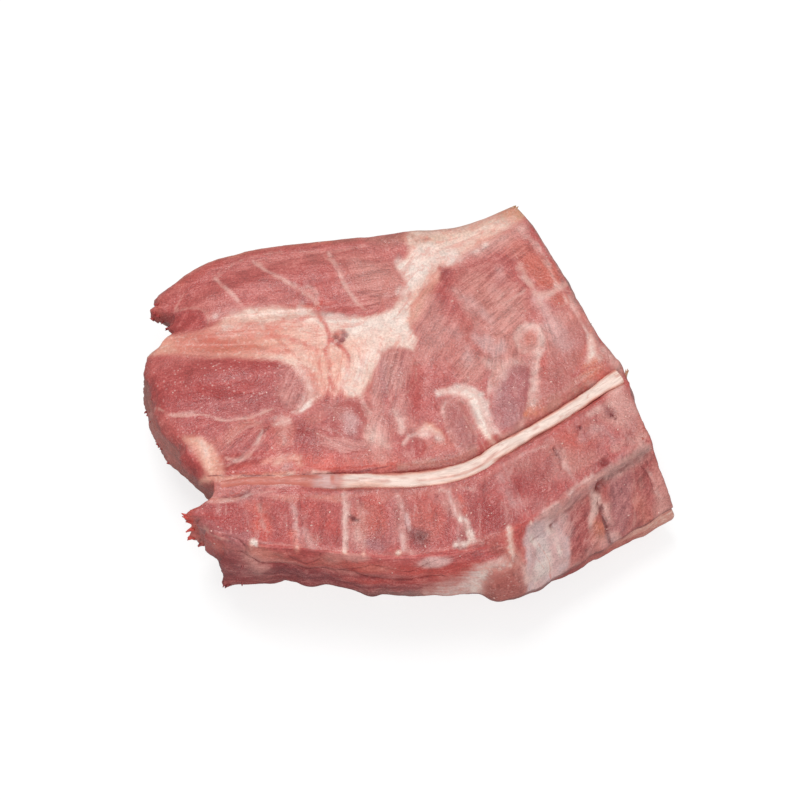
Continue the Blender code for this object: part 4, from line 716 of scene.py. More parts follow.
    ("vein", 0.6, 0.6, -44, 49, 1, -45.5, 40.5, 1.1, -41.5, 32.5, 1.1, -38.5, 24.5, 1, -40, 17, 0.9, -38, 8,
     1, -39.5, -0.5, 0.9, -36, -8, 0.8),
    ("vein", 0.6, 0.6, -45.5, 40.5, 0.9, -55.5, 35.5, 1, -64.5, 36.5, 0.8),
    ("vein", 0.8, 0.6, -38.5, 24.5, 0.9, -32, 19.5, 0.9, -27.5, 10.5, 0.9, -29, 0.5, 0.8),
    ("vein", 0.7, 0.6, -85.5, 26.5, 0.9, -69, 27.5, 0.9, -56.5, 23.5, 0.9, -47.5, 18.5, 0.8),
    ("redFat", 0.7, 1, -102, 17.5, 1.4, -88.5, 20.5, 1.4, -74.5, 21.5, 1.1),
    ("redFat", 0.6, 1, -76.5, 35.5, 1, -72, 29.5, 1.1, -63, 18.5, 1.1, -55, 11, 1.1),
    ("wine", 0.8, 1, -35.5, 27, 1.3, -32, 28.5, 1.2, -29, 25.5, 1.1),
    ("lilac", 0.8, 1, -30.5, 23.5, 1.3, -34, 22.5, 1),
    ("white", 0.8, 1.5, -30, 3, 2, -30.5, -5.5, 1.7, -26, -8, 1.7),
    ("white", 0.7, 1.5, -23.5, -2, 1.4, -21, 7, 1.4, -15.5, 15.5, 1.7),
    ("brownRed", 0.8, 2, 49.5, -99, 2.8, 56, -102, 2.8, 59.5, -104.5, 2.2),
    ("pinkMilk", 0.7, 2, 63, -98, 1.7, 64, -102, 1.7, 63, -107.5, 2.2),
    ("film", 0.6, 3, 112.5, 15.5, 1.7, 115, 9.5, 2.2, 116, 5, 1.7),
    ("veil", 0.5, 3, 110, -83.5, 2.2, 117, -80.5, 2.2),
    ("hot", 0.7, 1.5, -56.5, -90.5, 1.7, -54.5, -96.5, 1.7, -54, -100.5, 1.1),
    ("wine", 0.6, 2, -85, -70.5, 1.4, -78.5, -69.5, 1.7, -72.5, -67, 1.1),
    ("brownPink", 0.8, 2, 3.5, 89.5, 1.7, 9, 88, 2, 14.5, 88.5, 1.7),
    ("salmon", 0.6, 3, 53.5, 6.5, 2.2, 52.5, -2.5, 2.2), ("lean", 0.7, 3, 49, -20.5, 2.2, 50, -28.5, 1.7),
    ("veil", 0.6, 3, 38, 47.5, 2.2, 44.5, 40, 2.8, 51, 34, 2.2),
    ("pinkMilk", 0.6, 3, 55.5, 48, 1.7, 61, 39, 2.2, 58.5, 29, 2.2),
    ("veil", 0.5, 3, 28.5, 28, 1.7, 34, 19, 2.2, 38.5, 9, 2.2),
    ("dusky", 0.6, 4, 16.5, 48, 3.4, 20, 34.5, 3.9, 22, 19, 3.4),
    ("rose", 0.5, 3, 39.5, 73, 2.8, 48, 66.5, 3.4, 56, 58.5, 2.8),
    ("pinkCream", 0.75, 1.5, -124.5, -59, 0.8, -107, -59, 1.1, -85.5, -59, 1.1, -64.5, -58, 1.4, -45.5, -60.5,
     1.7, -29.5, -62, 1.7), ("cream", 0.7, 1, -59, -57, 0.7, -43, -57, 0.8, -26.5, -60, 0.8),
    ("pinkCream", 0.6, 2, -40, -64, 1.1, -29.5, -64.5, 1.1),
    ("membrane", 0.7, 3, 74.5, -88, 2.8, 77.5, -93.5, 3.4, 75, -100.5, 2.8),
    ("bright", 0.4, 3, -53, -72.5, 3.4, -42.5, -81, 3.9, -34, -89.5, 2.8),
    ("bright", 0.4, 3, -16, -72.5, 2.8, -10.5, -81, 2.8, -13, -89.5, 2.2),
    ("bright", 0.35, 3, 13.5, -72.5, 2.8, 18.5, -81, 3.4, 21, -88.5, 2.2),
    ("rosyCream", 0.7, 2, -100.5, -42.5, 1.4, -97.5, -48, 1.7, -96, -54.5, 1.4),
    ("white", 0.6, 1, -108, -37.5, 0.8, -105, -43.5, 0.8, -102, -50.5, 0.8),
    ("film", 0.7, 2, -56, 4.5, 1.1, -50.5, -3.5, 1.7, -49, -10.5, 1.7, -53, -17.5, 1.4),
    ("white", 0.5, 1.5, -53, -1.5, 1.1, -50.5, -9, 1.4, -54, -17, 1.1),
    ("milky", 0.5, 3, -63.5, -10.5, 2.2, -58.5, -16.5, 2.2),
    ("rose", 0.6, 2, -117.5, -45, 1.7, -114, -50, 1.7, -111.5, -54.5, 1.1),
    ("pinkMilk", 0.5, 1, -121, -42, 0.6, -118.5, -39.5, 0.6, -114.5, -36, 0.6),
    ("film", 0.5, 1, -128, -20, 0.6, -108.5, -20, 0.6, -92, -25, 0.6, -73, -20, 0.6),
    # painted shade: a dark grey line along the tail rim where the cut wall shows edge-on
    ("grey", 0.85, 0.6, 77, 92, 0.8, 83, 85.5, 1, 88, 75, 1.1, 90.5, 60, 1, 95.5, 49, 1.1, 102, 37.5, 1.1,
     107, 25, 1, 111.5, 12.5, 1, 116, 5, 0.8),
    ("film", 0.8, 0.6, 74, 90, 0.4, 79.5, 80.5, 0.5, 84.5, 68.5, 0.5, 87.5, 56.5, 0.6, 93, 45, 0.6, 99.5, 33,
     0.6, 104.5, 20.5, 0.6, 109.5, 8, 0.6),
    ("white", 0.7, 3, 1, 73, 3.4, 6.5, 64.5, 3.9, 10, 78, 3.9, 17, 82.5, 3.4),
    ("cream", 0.7, 3, 22.5, 85.5, 2.8, 37, 90, 2.8, 51, 96, 2.2, 62.5, 101.5, 2.2),
    ("white", 0.6, 2, 0, 55, 2.2, 2, 45.5, 2.2, 0, 34.5, 2.2),
    ("deep", 0.9, 1.5, 24.5, 69.5, 1.7, 27, 66.5, 2.2, 24.5, 62.5, 1.7),
    ("wine", 0.7, 2, 26, 67.5, 1.1, 26.5, 65.5, 1.1),
    ("rose", 0.8, 1.2, 95.5, 0.5, 0.8, 101, 3, 1, 107, 6, 1.1, 111.5, 8, 0.8),
    ("brownPink", 0.7, 1.2, 76, -17, 1.1, 87, -10, 1.4, 98, -2.5, 1.4, 109, 4, 1.1),
    # painted shade in the same slit
    ("umber", 1, 0.4, 80, -43.5, 0.4, 81, -46.5, 0.6, 82, -49, 0.4),
    ("pinkMilk", 0.6, 3, 114, -11.5, 2.8, 122, -17.5, 3.4, 118.5, -26.5, 3.4),
    ("veil", 0.5, 3, 96.5, -38, 1.7, 107.5, -31, 2.2, 115.5, -38, 2.2),
    ("deep", 0.6, 3, 94.5, -29.5, 2.2, 99.5, -35.5, 2.2),
    # painted highlight on the wet membrane
    ("white", 0.7, 2, 77.5, -92.5, 2.8, 79.5, -97, 2.8, 75, -103.5, 2.2),
    ("film", 0.7, 1, 86, -77.5, 0.8, 89, -81, 0.8, 91.5, -85, 0.6),
)
# round spots that cut into the surface: x, y, radius, strength, depth
darkSpots = (
    (-35, 25, 1.8, 0.55, 0.8), (-32, 23, 2, 0.6, 0.8), (-34, 20.5, 1.2, 0.4, 0.5),
    (107, -62.5, 2.2, 0.7, 1.6), (109.3, -60.2, 1.8, 0.6, 1.2), (81, -83.5, 0.9, 0.8, 0.6),
)
# fat and other pale tissue: name, kind, tone, then an outline of x, y or a band of x, y, half width
paleTissue = (
    ("seam", "outline", "cream", -146, 26, -138, 34, -123.5, 29, -113, 30, -103.5, 33.5, -97, 39.5, -84.5, 44,
     -72.5, 45, -58, 44, -50, 43, -46, 37.5, -43.5, 36.5, -30.5, 36, -18.5, 37, -4, 43, 0.5, 50, 3.5, 58.5, 1,
     65.5, -1.5, 70.5, 3, 76, 5, 82.5, 2.5, 90, 7, 99, 23, 103, 40, 107, 52.5, 111, 62, 124, 78, 124, 73, 106,
     68.5, 101, 63, 96.5, 54.5, 90.5, 45, 85.5, 37.5, 80.5, 33, 75.5, 31, 70, 26.5, 70.5, 22, 68.5, 18, 63.5,
     12.5, 55.5, 6.5, 44.5, 5.5, 32.5, 9, 24.5, 7.5, 16.5, 0, 19, -5.5, 19, -10, 15, -12.5, 7.5, -17.5, -4,
     -20.5, -12, -27, -12.5, -31, -9.5, -35.5, -12, -39, -9, -43.5, -12.5, -52.5, -18.5, -49, -11.5, -51.5,
     -4, -54.5, 2, -60.5, 7.5, -67, 11, -82.5, 12, -96, 13, -107.5, 14.5, -121.5, 16.5, -133, 18, -146, 18),
    ("patch", "band", "cream", 22.5, -8.5, 0.6, 28.5, -9, 1.5, 36, -10, 2.6, 40, -15.5, 3, 42.5, -25, 2.8, 46,
     -33.5, 2.2, 50.5, -39, 1),
    ("fascia", "band", "white", -52.5, 2, 0.8, -48.5, -6.5, 2.2, -48.5, -14, 2.2, -52.5, -19, 1.6, -57, -21,
     0.5),
    ("lobe", "band", "pinkCream", -116.5, -35.5, 0.8, -110, -37.5, 3, -103.5, -45.5, 4.6, -99.5, -53, 5,
     -95.5, -59, 3),
    ("curl", "band", "pinkCream", -67, -51, 1.6, -62.5, -48.5, 1.6, -58, -47.5, 1.6, -54, -49.5, 1.2, -52.5,
     -53, 0.6), ("wisp", "band", "white", -67, -28.5, 0.6, -63, -26.5, 1.6, -60.5, -25.5, 0.8),
    ("byOval", "band", "pinkCream", 11, -32.5, 0.8, 14, -31, 1.8, 18.5, -31.5, 2.6, 23, -35.5, 0.9),
    ("sideSpot", "band", "pinkCream", 103.5, 27, 0.8, 105, 20, 2, 105.5, 13, 1.6, 104, 8, 0.7),
    ("creamBand", "band", "fascia", 14, -112.5, 0.8, 29.5, -112, 1.8, 40, -109.5, 2.6, 50, -108.5, 2.4, 58,
     -105.5, 1.8, 62, -102.5, 1),
    ("stalk", "band", "cream", 57, -85, 0.6, 57.5, -90.5, 1.1, 58, -95, 1.2, 58.5, -99, 2.2, 60, -103.5,
     1.5),
)
# thin red veins in the fat
veinLines = (
    (1.1, 0.55, 0, -56, 49, -54.5, 45.5, -47, 44, -44, 36, -46.5, 28.5),
    (0.8, 0.4, 0, -73, 32, -56, 29, -46, 26.5),
    (1.2, 0.45, 0, -46.5, 26, -45, 13.5, -42.5, 0.5, -40.5, -8.5),
    (1, 0.4, 0, -39, 18.5, -38, 6.5, -36.5, -7), (1.2, 0.4, 0, -31.5, 20, -29, 6.5, -32.5, -8.5),
    (1.2, 0.35, 0, -22.5, 17, -21.5, 5, -24.5, -5.5), (2.4, 0.5, 0, -93, 29, -109.5, 25, -124, 21),
    (1, 0.35, 0, -90, 21.5, -76, 19.5, -62, 21), (1, 0.35, 0, -88, 35, -76, 34, -62, 36),
    (0.8, 0.35, 0, -50, 14, -49.5, 4, -47, -6), (0.8, 0.3, 0, 2, 60, -1, 50, -2, 44),
    (0.5, 0.5, 0, 74, -92, 80, -97, 82, -104), (0.4, 0.4, 0, 72, -98, 77, -100.5),
    (1.4, 0.4, 0, -128, 21, -112, 17.5, -98, 16.5), (1, 0.35, 0, -8, 40, -10, 52, -6, 62),
)
# soft patches of colour on the lean: x, y, half length, half width, heading, soft edge, colour, strength
leanPatches = (
    (-72, -38, 40, 21, 0, 8, "rose", 0.6), (-95, -78, 12, 8, 0, 4, "rose", 0.7),
    # the two milky patches on the next line are painted sheen on the wet upper muscles
    (-56.5, 74.5, 34, 6, 6, 4, "milky", 0.35), (-12.5, 60, 20, 14, 5, 8, "milky", 0.7),
    (-75, 60, 26, 10, 10, 9, "dusky", 0.35), (-30, 50, 14, 8, -20, 6, "lean", 0.6),
    (-3, 87.5, 10, 3.6, 5, 3, "brown", 0.6), (-50, 52, 4.5, 5, 40, 2, "milky", 0.7),
    (-54.5, 47.5, 1.6, 4, 0, 1.2, "wine", 0.6), (-118, 53.5, 18, 7, 40, 5, "rose", 0.5),
    (-119, 37.5, 11.5, 8.5, 0, 1.2, "rose", 0.95), (-136.5, 46, 6, 9, 60, 4, "wine", 0.25),
    # the deep bands at -81.5, -14.5 and, two lines down, at -93, -17.5 are painted shade on the lower side of
    # the swelling oval muscle
    (-96, -3.5, 47, 18, 2, 3, "rose", 0.85), (-81.5, -14.5, 32, 6, -4, 6, "deep", 0.45),
    (-118, 6, 16, 8, 0, 7, "lean", 0.6), (-59, -4, 8, 12, 6, 4, "dusky", 0.6),
    (-93, -17.5, 24, 5, -2, 4, "deep", 0.7), (-118, -29, 17, 6, -6, 4, "rose", 0.45),
    (-115, -48, 8, 12, 15, 2.5, "rose", 0.8), (-124, -36, 5, 10, 0, 3, "lean", 0.6),
    (-84.5, -37.5, 16, 6, 40, 3, "salmon", 0.6), (-90, -46, 9, 4, 30, 2.5, "rose", 0.6),
    (-76, -30, 8, 6, 50, 3, "rose", 0.6), (-70, -42, 5, 9, -12, 2.5, "bright", 0.45),
    (-73.5, -55, 19, 4.5, 0, 2.5, "bright", 0.55), (-63, -38, 5, 13, 0, 3.5, "salmon", 0.7),
    (-58, -52, 7, 4, 10, 2, "salmon", 0.6), (-52, -38, 5.5, 10, 10, 2, "deep", 0.8),
    (-47, -26, 7, 4, 30, 3, "salmon", 0.5), (-45.5, -50.5, 14, 6, 4, 3.5, "bright", 0.8),
    (-44, -40, 4, 7, 0, 2.5, "milky", 0.6), (-30, -20, 12, 6, 0, 4, "dusky", 0.7),
    (-38, -29, 4, 6, 0, 2.5, "rose", 0.6), (-25, -30, 4, 8, 0, 3, "violet", 0.5),
    (-28, -41.5, 13, 3.2, 0, 2.5, "pinkMilk", 0.5), (-22, -50, 12, 4, 0, 3, "rose", 0.6),
    (-13, -33.5, 6, 12, 0, 3.5, "pinkMilk", 0.7), (-9, -26, 3, 6, 20, 2, "rose", 0.5),
    (-10, -43, 6, 3, 10, 2, "bright", 0.45), (-13.5, -49, 12, 4, 4, 3, "salmon", 0.6),
    (-2, 7, 9.5, 17, -8, 2.5, "dusky", 0.95), (-10, 3, 3, 14, 4, 2.5, "violet", 0.7),
    (4, 12, 3.5, 9, -10, 2.5, "violet", 0.6), (-13, -10.5, 3.5, 15, 8, 2.5, "pinkMilk", 0.6),
    (-5, -14, 3, 8, 4, 2, "rose", 0.5), (0, -20, 6, 8, 0, 3, "dusky", 0.7),
    (5, -29, 9, 5, 0, 4, "milky", 0.55), (10, -20, 5, 8, 20, 3, "rose", 0.5),
    (25, 30, 22, 34, -20, 8, "lean", 0.5), (27, 47.5, 8, 20, 8, 6, "rose", 0.55),
    (16, 48, 7, 13, 12, 4, "lean", 0.6), (25.5, 65, 5, 4, 0, 2, "deep", 0.8),
    (15.5, 30, 7, 15, 0, 5, "dusky", 0.7), (12, 12, 8, 7, 30, 4, "milky", 0.5),
    (30, 14, 8, 14, -30, 5, "lean", 0.6), (51, 50, 15, 23, 26, 7, "milky", 0.75),
    (58, 36, 8, 16, -30, 5, "milky", 0.55), (63.5, 84.5, 15, 7, -35, 4, "salmon", 0.7),
    (57, 72, 12, 7, -30, 5, "rose", 0.4), (80, 66, 14, 7.5, -52, 2.5, "orangeRed", 0.9),
    (89, 48, 7.5, 4.2, -15, 1.8, "orangeRed", 0.75), (78, 32, 5, 14, 4, 4, "pinkMilk", 0.65),
    (91, 32, 8, 14, -20, 4, "milky", 0.7), (93, 22, 6, 10, 0, 4, "lean", 0.5),
    (71.5, 23.5, 8, 8, 0, 2.5, "pinkMilk", 0.9), (71.5, 23.5, 3.2, 4.6, 20, 1.2, "salmon", 1),
    (56.5, 21, 10, 8, 0, 5, "milky", 0.7), (60, 6, 9, 6, 20, 3, "pinkMilk", 0.8),
    (53, 2, 4, 9, 0, 3, "violet", 0.35), (38.5, 3, 8, 9, 0, 4, "milky", 0.7),
    (24, 0, 8, 8, 0, 4, "lean", 0.5), (38, 22, 6, 10, -20, 4, "rose", 0.35),
    (105, 2, 3.5, 8, -28, 2, "orange", 0.75), (74, 0, 2.6, 20, 4, 1.6, "pinkMilk", 0.75),
    (79, 8, 2.5, 12, 0, 2, "bright", 0.4), (72, -17, 8, 2.4, 32, 1.6, "salmon", 0.9),
    (96, 10, 10, 3, 40, 2.5, "salmon", 0.5), (30, -50, 34, 2.6, 8, 1.8, "brown", 0.4),
    (78, -27, 34, 2.4, 33, 1.6, "brown", 0.55), (22, -41, 10, 4, 10, 3, "salmon", 0.6),
    (55, -113, 15, 8.5, 12, 1.6, "milky", 0.8), (60, -90, 6, 5, 30, 3, "bright", 0.5),
    (97, -78, 10, 11, 40, 3, "lean", 0.8), (93, -86, 3, 8, 60, 2, "rose", 0.8),
    (105, -81, 3.5, 4, 0, 2, "orange", 0.6), (119, -63, 7, 19, -8, 2, "lilac", 0.9),
    (134, -57.5, 5, 19, 8, 2, "rose", 0.7), (129, -52, 3, 14, 8, 2, "rose", 0.6),
    (144, -58.5, 6, 12, 20, 3, "pinkMilk", 0.6), (133, -74.5, 9, 4, 30, 3, "brownRed", 0.4),
    (-114, -79, 8, 5, 0, 3, "bright", 0.8), (84, -79, 20, 2.2, 36, 1.6, "pinkMilk", 0.5),
    (112, -57, 20, 2.4, 30, 1.6, "milky", 0.6), (-76, 58, 38, 15, 8, 8, "lean", 0.45),
    (-72, 62, 30, 10, 8, 8, "rose", 0.3), (30, 20, 14, 16, 0, 8, "milky", 0.5),
    (-96, -3, 38, 14, 2, 6, "deep", 0.3), (97, -80, 9, 10, 40, 3, "violet", 0.45),
    (128, -60, 9, 16, -8, 4, "violet", 0.3), (-100, -40, 6, 5, 0, 3, "salmon", 0.5),
)
# the sawn arch ends: index, inner tone, rim tone
archTones = (
    ("lean", "dusky", 0.3), ("rose", "pinkMilk", 0.7), ("dusky", "pinkMilk", 0.8), ("violet", "film", 0.8),
    ("dusky", "salmon", 0.6), ("milky", "salmon", 0.4),
)
# soft patches of colour on the pale tissue
palePatches = (
    (2, 36, 8, 10, 0, 4, "white", 0.5), (8, 62, 8, 12, -30, 4, "white", 0.45),
    (22, 80, 12, 7, 30, 4, "white", 0.5), (-60, 40, 20, 3, 0, 2, "pinkCream", 0.6),
    (62, 108, 12, 8, 20, 4, "fascia", 0.6), (-104, 23, 44, 11, 0, 6, "rosyCream", 1),
    (-84, 30, 22, 7, 0, 6, "rosyCream", 0.6), (-27, 6, 14, 16, 0, 8, "pinkCream", 0.8),
    (-34, 23.5, 4.5, 3.6, 20, 2, "violet", 0.8), (-66, 39, 26, 5, 0, 4, "cream", 0.7),
    (-90, 32, 16, 4, 14, 3, "cream", 0.5), (-62, 22, 24, 10, 0, 8, "pinkCream", 0.7),
    (-40, 4, 14, 18, 0, 8, "pinkCream", 0.75), (-24, 0, 5, 14, 0, 4, "cream", 0.7),
    (-16, 10, 5, 12, -20, 4, "cream", 0.9), (-40, -10, 12, 4, 0, 3, "rosyCream", 0.7),
    (30, 76, 15, 7, 35, 4, "white", 0.85), (12, 82, 12, 6, 20, 5, "pinkCream", 0.35),
    (66, 110, 12, 12, 0, 6, "tan", 1), (44, 104, 22, 4, 20, 3, "rosyCream", 0.5),
    (18, 97, 22, 4, 8, 3, "brown", 0.3), (-130, 24, 8, 6, 0, 4, "pinkCream", 0.7),
    (-104, -50, 3, 11, 25, 1.5, "cream", 0.7), (44, -22, 3, 11, 15, 2, "white", 0.5),
    (33, -10, 9, 3, 0, 2, "rosyCream", 0.4), (80, -90, 6, 9, 40, 4, "white", 0.35),
)
# which way the fibres run: x, y, half length, half width, heading, fibre heading, how streaky, milky film
# (the membrane, with painted sheen), how thick the pale specks of painted wet glint lie
fibreFields = (
    (-80, 60, 70, 26, 8, 6, 0.25, 0.05, 0.1), (-12, 58, 26, 20, 0, 4, 0.75, 0.2, 0),
    (-120, 38, 12, 9, 0, 60, 0.1, 0, 0.1), (-96, -3, 48, 19, 2, 15, 0.1, 0, 1),
    (-59, -6, 9, 14, 0, 70, 0.6, 0.35, 0.2), (-120, -30, 20, 14, 0, 10, 0.1, 0, 0.6),
    (-84, -40, 22, 12, 20, 45, 0.45, 0.1, 0.2), (-52, -38, 8, 13, 0, 75, 0.3, 0, 0.5),
    (-28, -41, 14, 5, 0, 170, 0.8, 0.4, 0.2), (-13, -34, 8, 13, 0, 80, 0.6, 0.3, 0),
    (-3, 2, 14, 26, -6, 78, 0.7, 0.15, 0.7), (20, 34, 16, 34, -16, 66, 0.45, 0.1, 0.1),
    (52, 50, 19, 29, 24, 40, 1, 0.35, 0), (60, 80, 20, 12, -30, 40, 0.6, 0.1, 0),
    (81, 65, 16, 9, -52, 128, 0.35, 0, 0.2), (38, 6, 13, 13, 0, 52, 0.9, 0.3, 0),
    (86, 28, 12, 20, 8, 96, 0.6, 0.25, 0.4), (57, 14, 12, 14, 0, 84, 0.7, 0.3, 0),
    (-30, -104, 90, 9, -2, 2, 0.45, 0, 0.1), (30, -103, 34, 7, 8, 14, 0.6, 0, 0.2),
    (54, -112, 18, 10, 12, 120, 0.1, 0.1, 0.6), (97, -80, 14, 13, 30, 64, 1, 0.3, 0.3),
    (120, -62, 11, 24, -4, 82, 0.6, 0.15, 0.3), (134, -57, 9, 24, 6, 76, 0.7, 0.15, 0.1),
    (147, -58, 7, 14, 20, 70, 0.8, 0.4, 0), (-70, 27, 60, 14, 2, 2, 0.8, 0, 0),
    (-34, 4, 20, 20, 0, 86, 0.8, 0, 0), (2, 60, 14, 30, -30, 62, 0.5, 0, 0),
    (40, 92, 30, 10, 30, 28, 0.4, 0, 0),
)

# soft patches on the sawn bones and discs
bonePatches = (
    (-92, -83.5, 13, 14, 0, 4, "rose", 0.9), (-66, -84, 10, 16, 0, 4, "rose", 0.55),
    (-42, -84, 12, 14, 0, 4, "rose", 0.35), (-72.5, -84, 5, 10, 0, 2.5, "bright", 0.7),
    (-60, -84, 5, 12, 0, 3, "lean", 0.6), (-42, -84, 11, 12, 0, 5, "lean", 0.5),
    (-46, -95, 5, 3, 0, 2, "milky", 0.5), (-27, -86, 3.2, 14, 0, 2.5, "dusky", 0.7),
    (-20, -94, 2.6, 9, 0, 2, "pinkMilk", 0.5), (-13, -95, 6, 5, 0, 3, "violet", 0.5),
    (-12, -80, 9, 9, 0, 5, "rose", 0.4), (1, -82, 4, 12, 0, 2.5, "dusky", 0.6),
    (10, -94, 6, 7, 20, 3, "wine", 0.45), (15, -80, 8, 8, 0, 5, "lean", 0.6),
    (31, -77, 4.5, 9, 62, 2.5, "pinkMilk", 0.6), (46, -81, 8, 9, 0, 4, "rose", 0.6),
    (55, -88, 9, 4, 20, 3, "wine", 0.35), (69, -61.5, 9, 10, 30, 4, "rose", 0.7),
    (64, -53.5, 8, 3.5, 30, 3, "dusky", 0.6), (95, -38, 9, 9, 30, 4, "lean", 0.6),
    (86, -52, 3, 9, 30, 2.5, "dusky", 0.5), (104, -34, 4, 7, 20, 3, "dusky", 0.5),
    (119, -20.5, 11, 10, 40, 4, "pinkMilk", 0.75), (88, -42, 9, 9, 30, 4, "milky", 0.5),
    (117, -14, 10, 4, 36, 3, "dusky", 0.6), (131, -38, 5, 4, 30, 3, "cream", 0.35),
    (129.5, -26.5, 4, 8, 20, 3, "salmon", 0.6), (-16, -84, 9, 12, 0, 4, "salmon", 0.55),
    (14, -84, 10, 12, 0, 4, "salmon", 0.4), (95, -36, 10, 9, 30, 4, "salmon", 0.35),
)
boneHoles = (
    (-24.5, -83, 1.5, 0.8, 0.7), (11, -94, 1.3, 0.6, 0.5), (14, -95.5, 1, 0.5, 0.4), (8, -92, 0.9, 0.5, 0.4),
    (97, -31, 1.3, 0.85, 0.7), (114.5, -23.5, 1.5, 0.9, 0.8), (116.5, -25.5, 1, 0.8, 0.6),
    (109, -51, 2.8, 0.5, 1.2), (82.5, -43.2, 1.2, 0.9, 0.9), (84, -46, 0.9, 0.8, 0.7),
)
# pale dots of ligament at the outer ends of the discs: x, y, radius
discDots = (
    (-78, -96.5, 1.8), (-54, -99, 1.5), (-54.5, -96, 1), (-29, -101, 1.9), (-19, -103.2, 1.3),
    (-1, -102.2, 1.6), (35.5, -98, 1.5), (69, -85, 1),
)
# how clearly each disc shows
discSeen = (0.15, 0.35, 0.9, 0.75, 0.95, 0.45, 0.55, 0.5)
archEnds = (
    (-27.6, -25.6, 12, 9, 80, 14), (8.5, -43, 5.5, 5, 70, 10), (32, -28.8, 15, 6, 104, 14),
    (61, -12, 20, 10, 74, 16), (90, 9, 27, 8.5, 68, 16), (112.5, 12.5, 7, 4.5, 60, 10),
)
ribBands = (((81.5, -84, 9), (82.5, -94, 10.5), (83, -108, 10), (83, -130, 9)),
            ((106, -65, 4), (111, -74, 5), (118, -88, 6), (125, -104, 6)),
            ((144, -44, 6.5), (149, -55, 7), (156, -69, 7.5), (163, -84, 7.5)))


def segmentPlace(x, y, a, b):
    d = b[:2] - a[:2]
    t = np.clip(((x - a[0]) * d[0] + (y - a[1]) * d[1]) / (d @ d), 0.0, 1.0)
    dx, dy = x - (a[0] + d[0] * t), y - (a[1] + d[1] * t)
    side = np.sign((x - a[0]) * d[1] - (y - a[1]) * d[0])
    return t, np.hypot(dx, dy), side


def finePoints(points, step=2.0):
    samples, shares = denseLine(points)
    run = np.linalg.norm(np.diff(samples[:, :2], axis=0), axis=1).sum()
    return alongLine((samples, shares), np.linspace(0, 1, max(3, int(run / step) + 1)))


# signed distance into a band, positive inside
def bandDepth(x, y, places):
    places = finePoints(places, 4.0)
    depth = np.full(len(x), -1e3)
    for a, b in zip(places[:-1], places[1:]):
        t, distance, _ = segmentPlace(x, y, a, b)
        depth = np.maximum(depth, a[2] + (b[2] - a[2]) * t - distance)
    return depth


# signed distance into a closed outline, positive inside
def outlineDepth(x, y, points):
    points = np.array(points, float)
    distance = np.full(len(x), 1e6)
    inside = np.zeros(len(x), bool)
    for a, b in zip(points, np.roll(points, -1, axis=0)):
        distance = np.minimum(distance, segmentPlace(x, y, a, b)[1])
        crosses = (a[1] > y) != (b[1] > y)
        with np.errstate(divide="ignore", invalid="ignore"):
            at = a[0] + (y - a[1]) * (b[0] - a[0]) / (b[1] - a[1])
        inside ^= crosses & (x < at)
    return np.where(inside, distance, -distance)


def ovalDepth(x, y, oval, power=2.0):
    u, v = turned(x, y, oval[:2], oval[4])
    r = (np.abs(u / oval[2]) ** power + np.abs(v / oval[3]) ** power) ** (1.0 / power)
    return (1.0 - r) * min(oval[2], oval[3])


def tissueDepth(x, y, tissue):
    if tissue[1] == "outline":
        return outlineDepth(x, y, np.reshape(tissue[3:], (-1, 2)))
    return bandDepth(x, y, np.reshape(tissue[3:], (-1, 3)))


# nearest line of a table: signed place across it, in half widths, and strength
def strokes(x, y, table):
    place = np.full(len(x), 9.0)
    strength = np.zeros(len(x))
    for half, power, _, *line in table:
        points = finePoints(np.reshape(line, (-1, 2)))
        for a, b in zip(points[:-1], points[1:]):
            _, distance, side = segmentPlace(x, y, a, b)
            across = distance / half
            nearer = across < np.abs(place)
            place = np.where(nearer, across * np.where(side == 0, 1, side), place)
            strength = np.where(nearer, power, strength)
    reach = np.clip((6.0 - np.abs(place)) / 3.0, 0.0, 1.0)
    return np.clip(place, -9, 9), strength * reach


def grooved(x, y, table):
    grooves = np.zeros(len(x))
    for half, _, deep, *line in table:
        points = finePoints(np.reshape(line, (-1, 2)))
        for a, b in zip(points[:-1], points[1:]):
            _, distance, _ = segmentPlace(x, y, a, b)
            grooves = np.maximum(grooves, deep * np.exp(-(distance / (half * 1.8)) ** 2))
    return grooves


def mixTone(colour, tone, amount):
    return colour + (np.array(tones[tone]) - colour) * amount[:, None]


# cloudy patches of colour: tone, strength, size in mm, seed, contrast, share of the surface
def clouded(points, colour, table):
    for tone, strength, size, seed, gain, lift in table:
        colour = mixTone(colour, tone, strength * smoothStep(cloud(points, size, seed) * gain + lift))
    return colour


def toned(tone, points):
    return np.tile(tones[tone], (len(points), 1))


def ramp(value, name):
    start, span = ramps[name]
    return smoothStep((value - start) / span)


def shaded(colour, name, amount):
    tone, strength = shades[name]
    return mixTone(colour, tone, strength * amount)


def archDepth(x, y, place):
    return ovalDepth(x, y, place[:5], letIn["archSquareness"])


def patched(x, y, colour, table):
    for cx, cy, halfLength, halfWidth, heading, soft, tone, strength in table:
        depth = ovalDepth(x, y, (cx, cy, halfLength, halfWidth, heading))
        colour = mixTone(colour, tone, strength * smoothStep(depth / (2 * soft) + 0.5))
    return colour


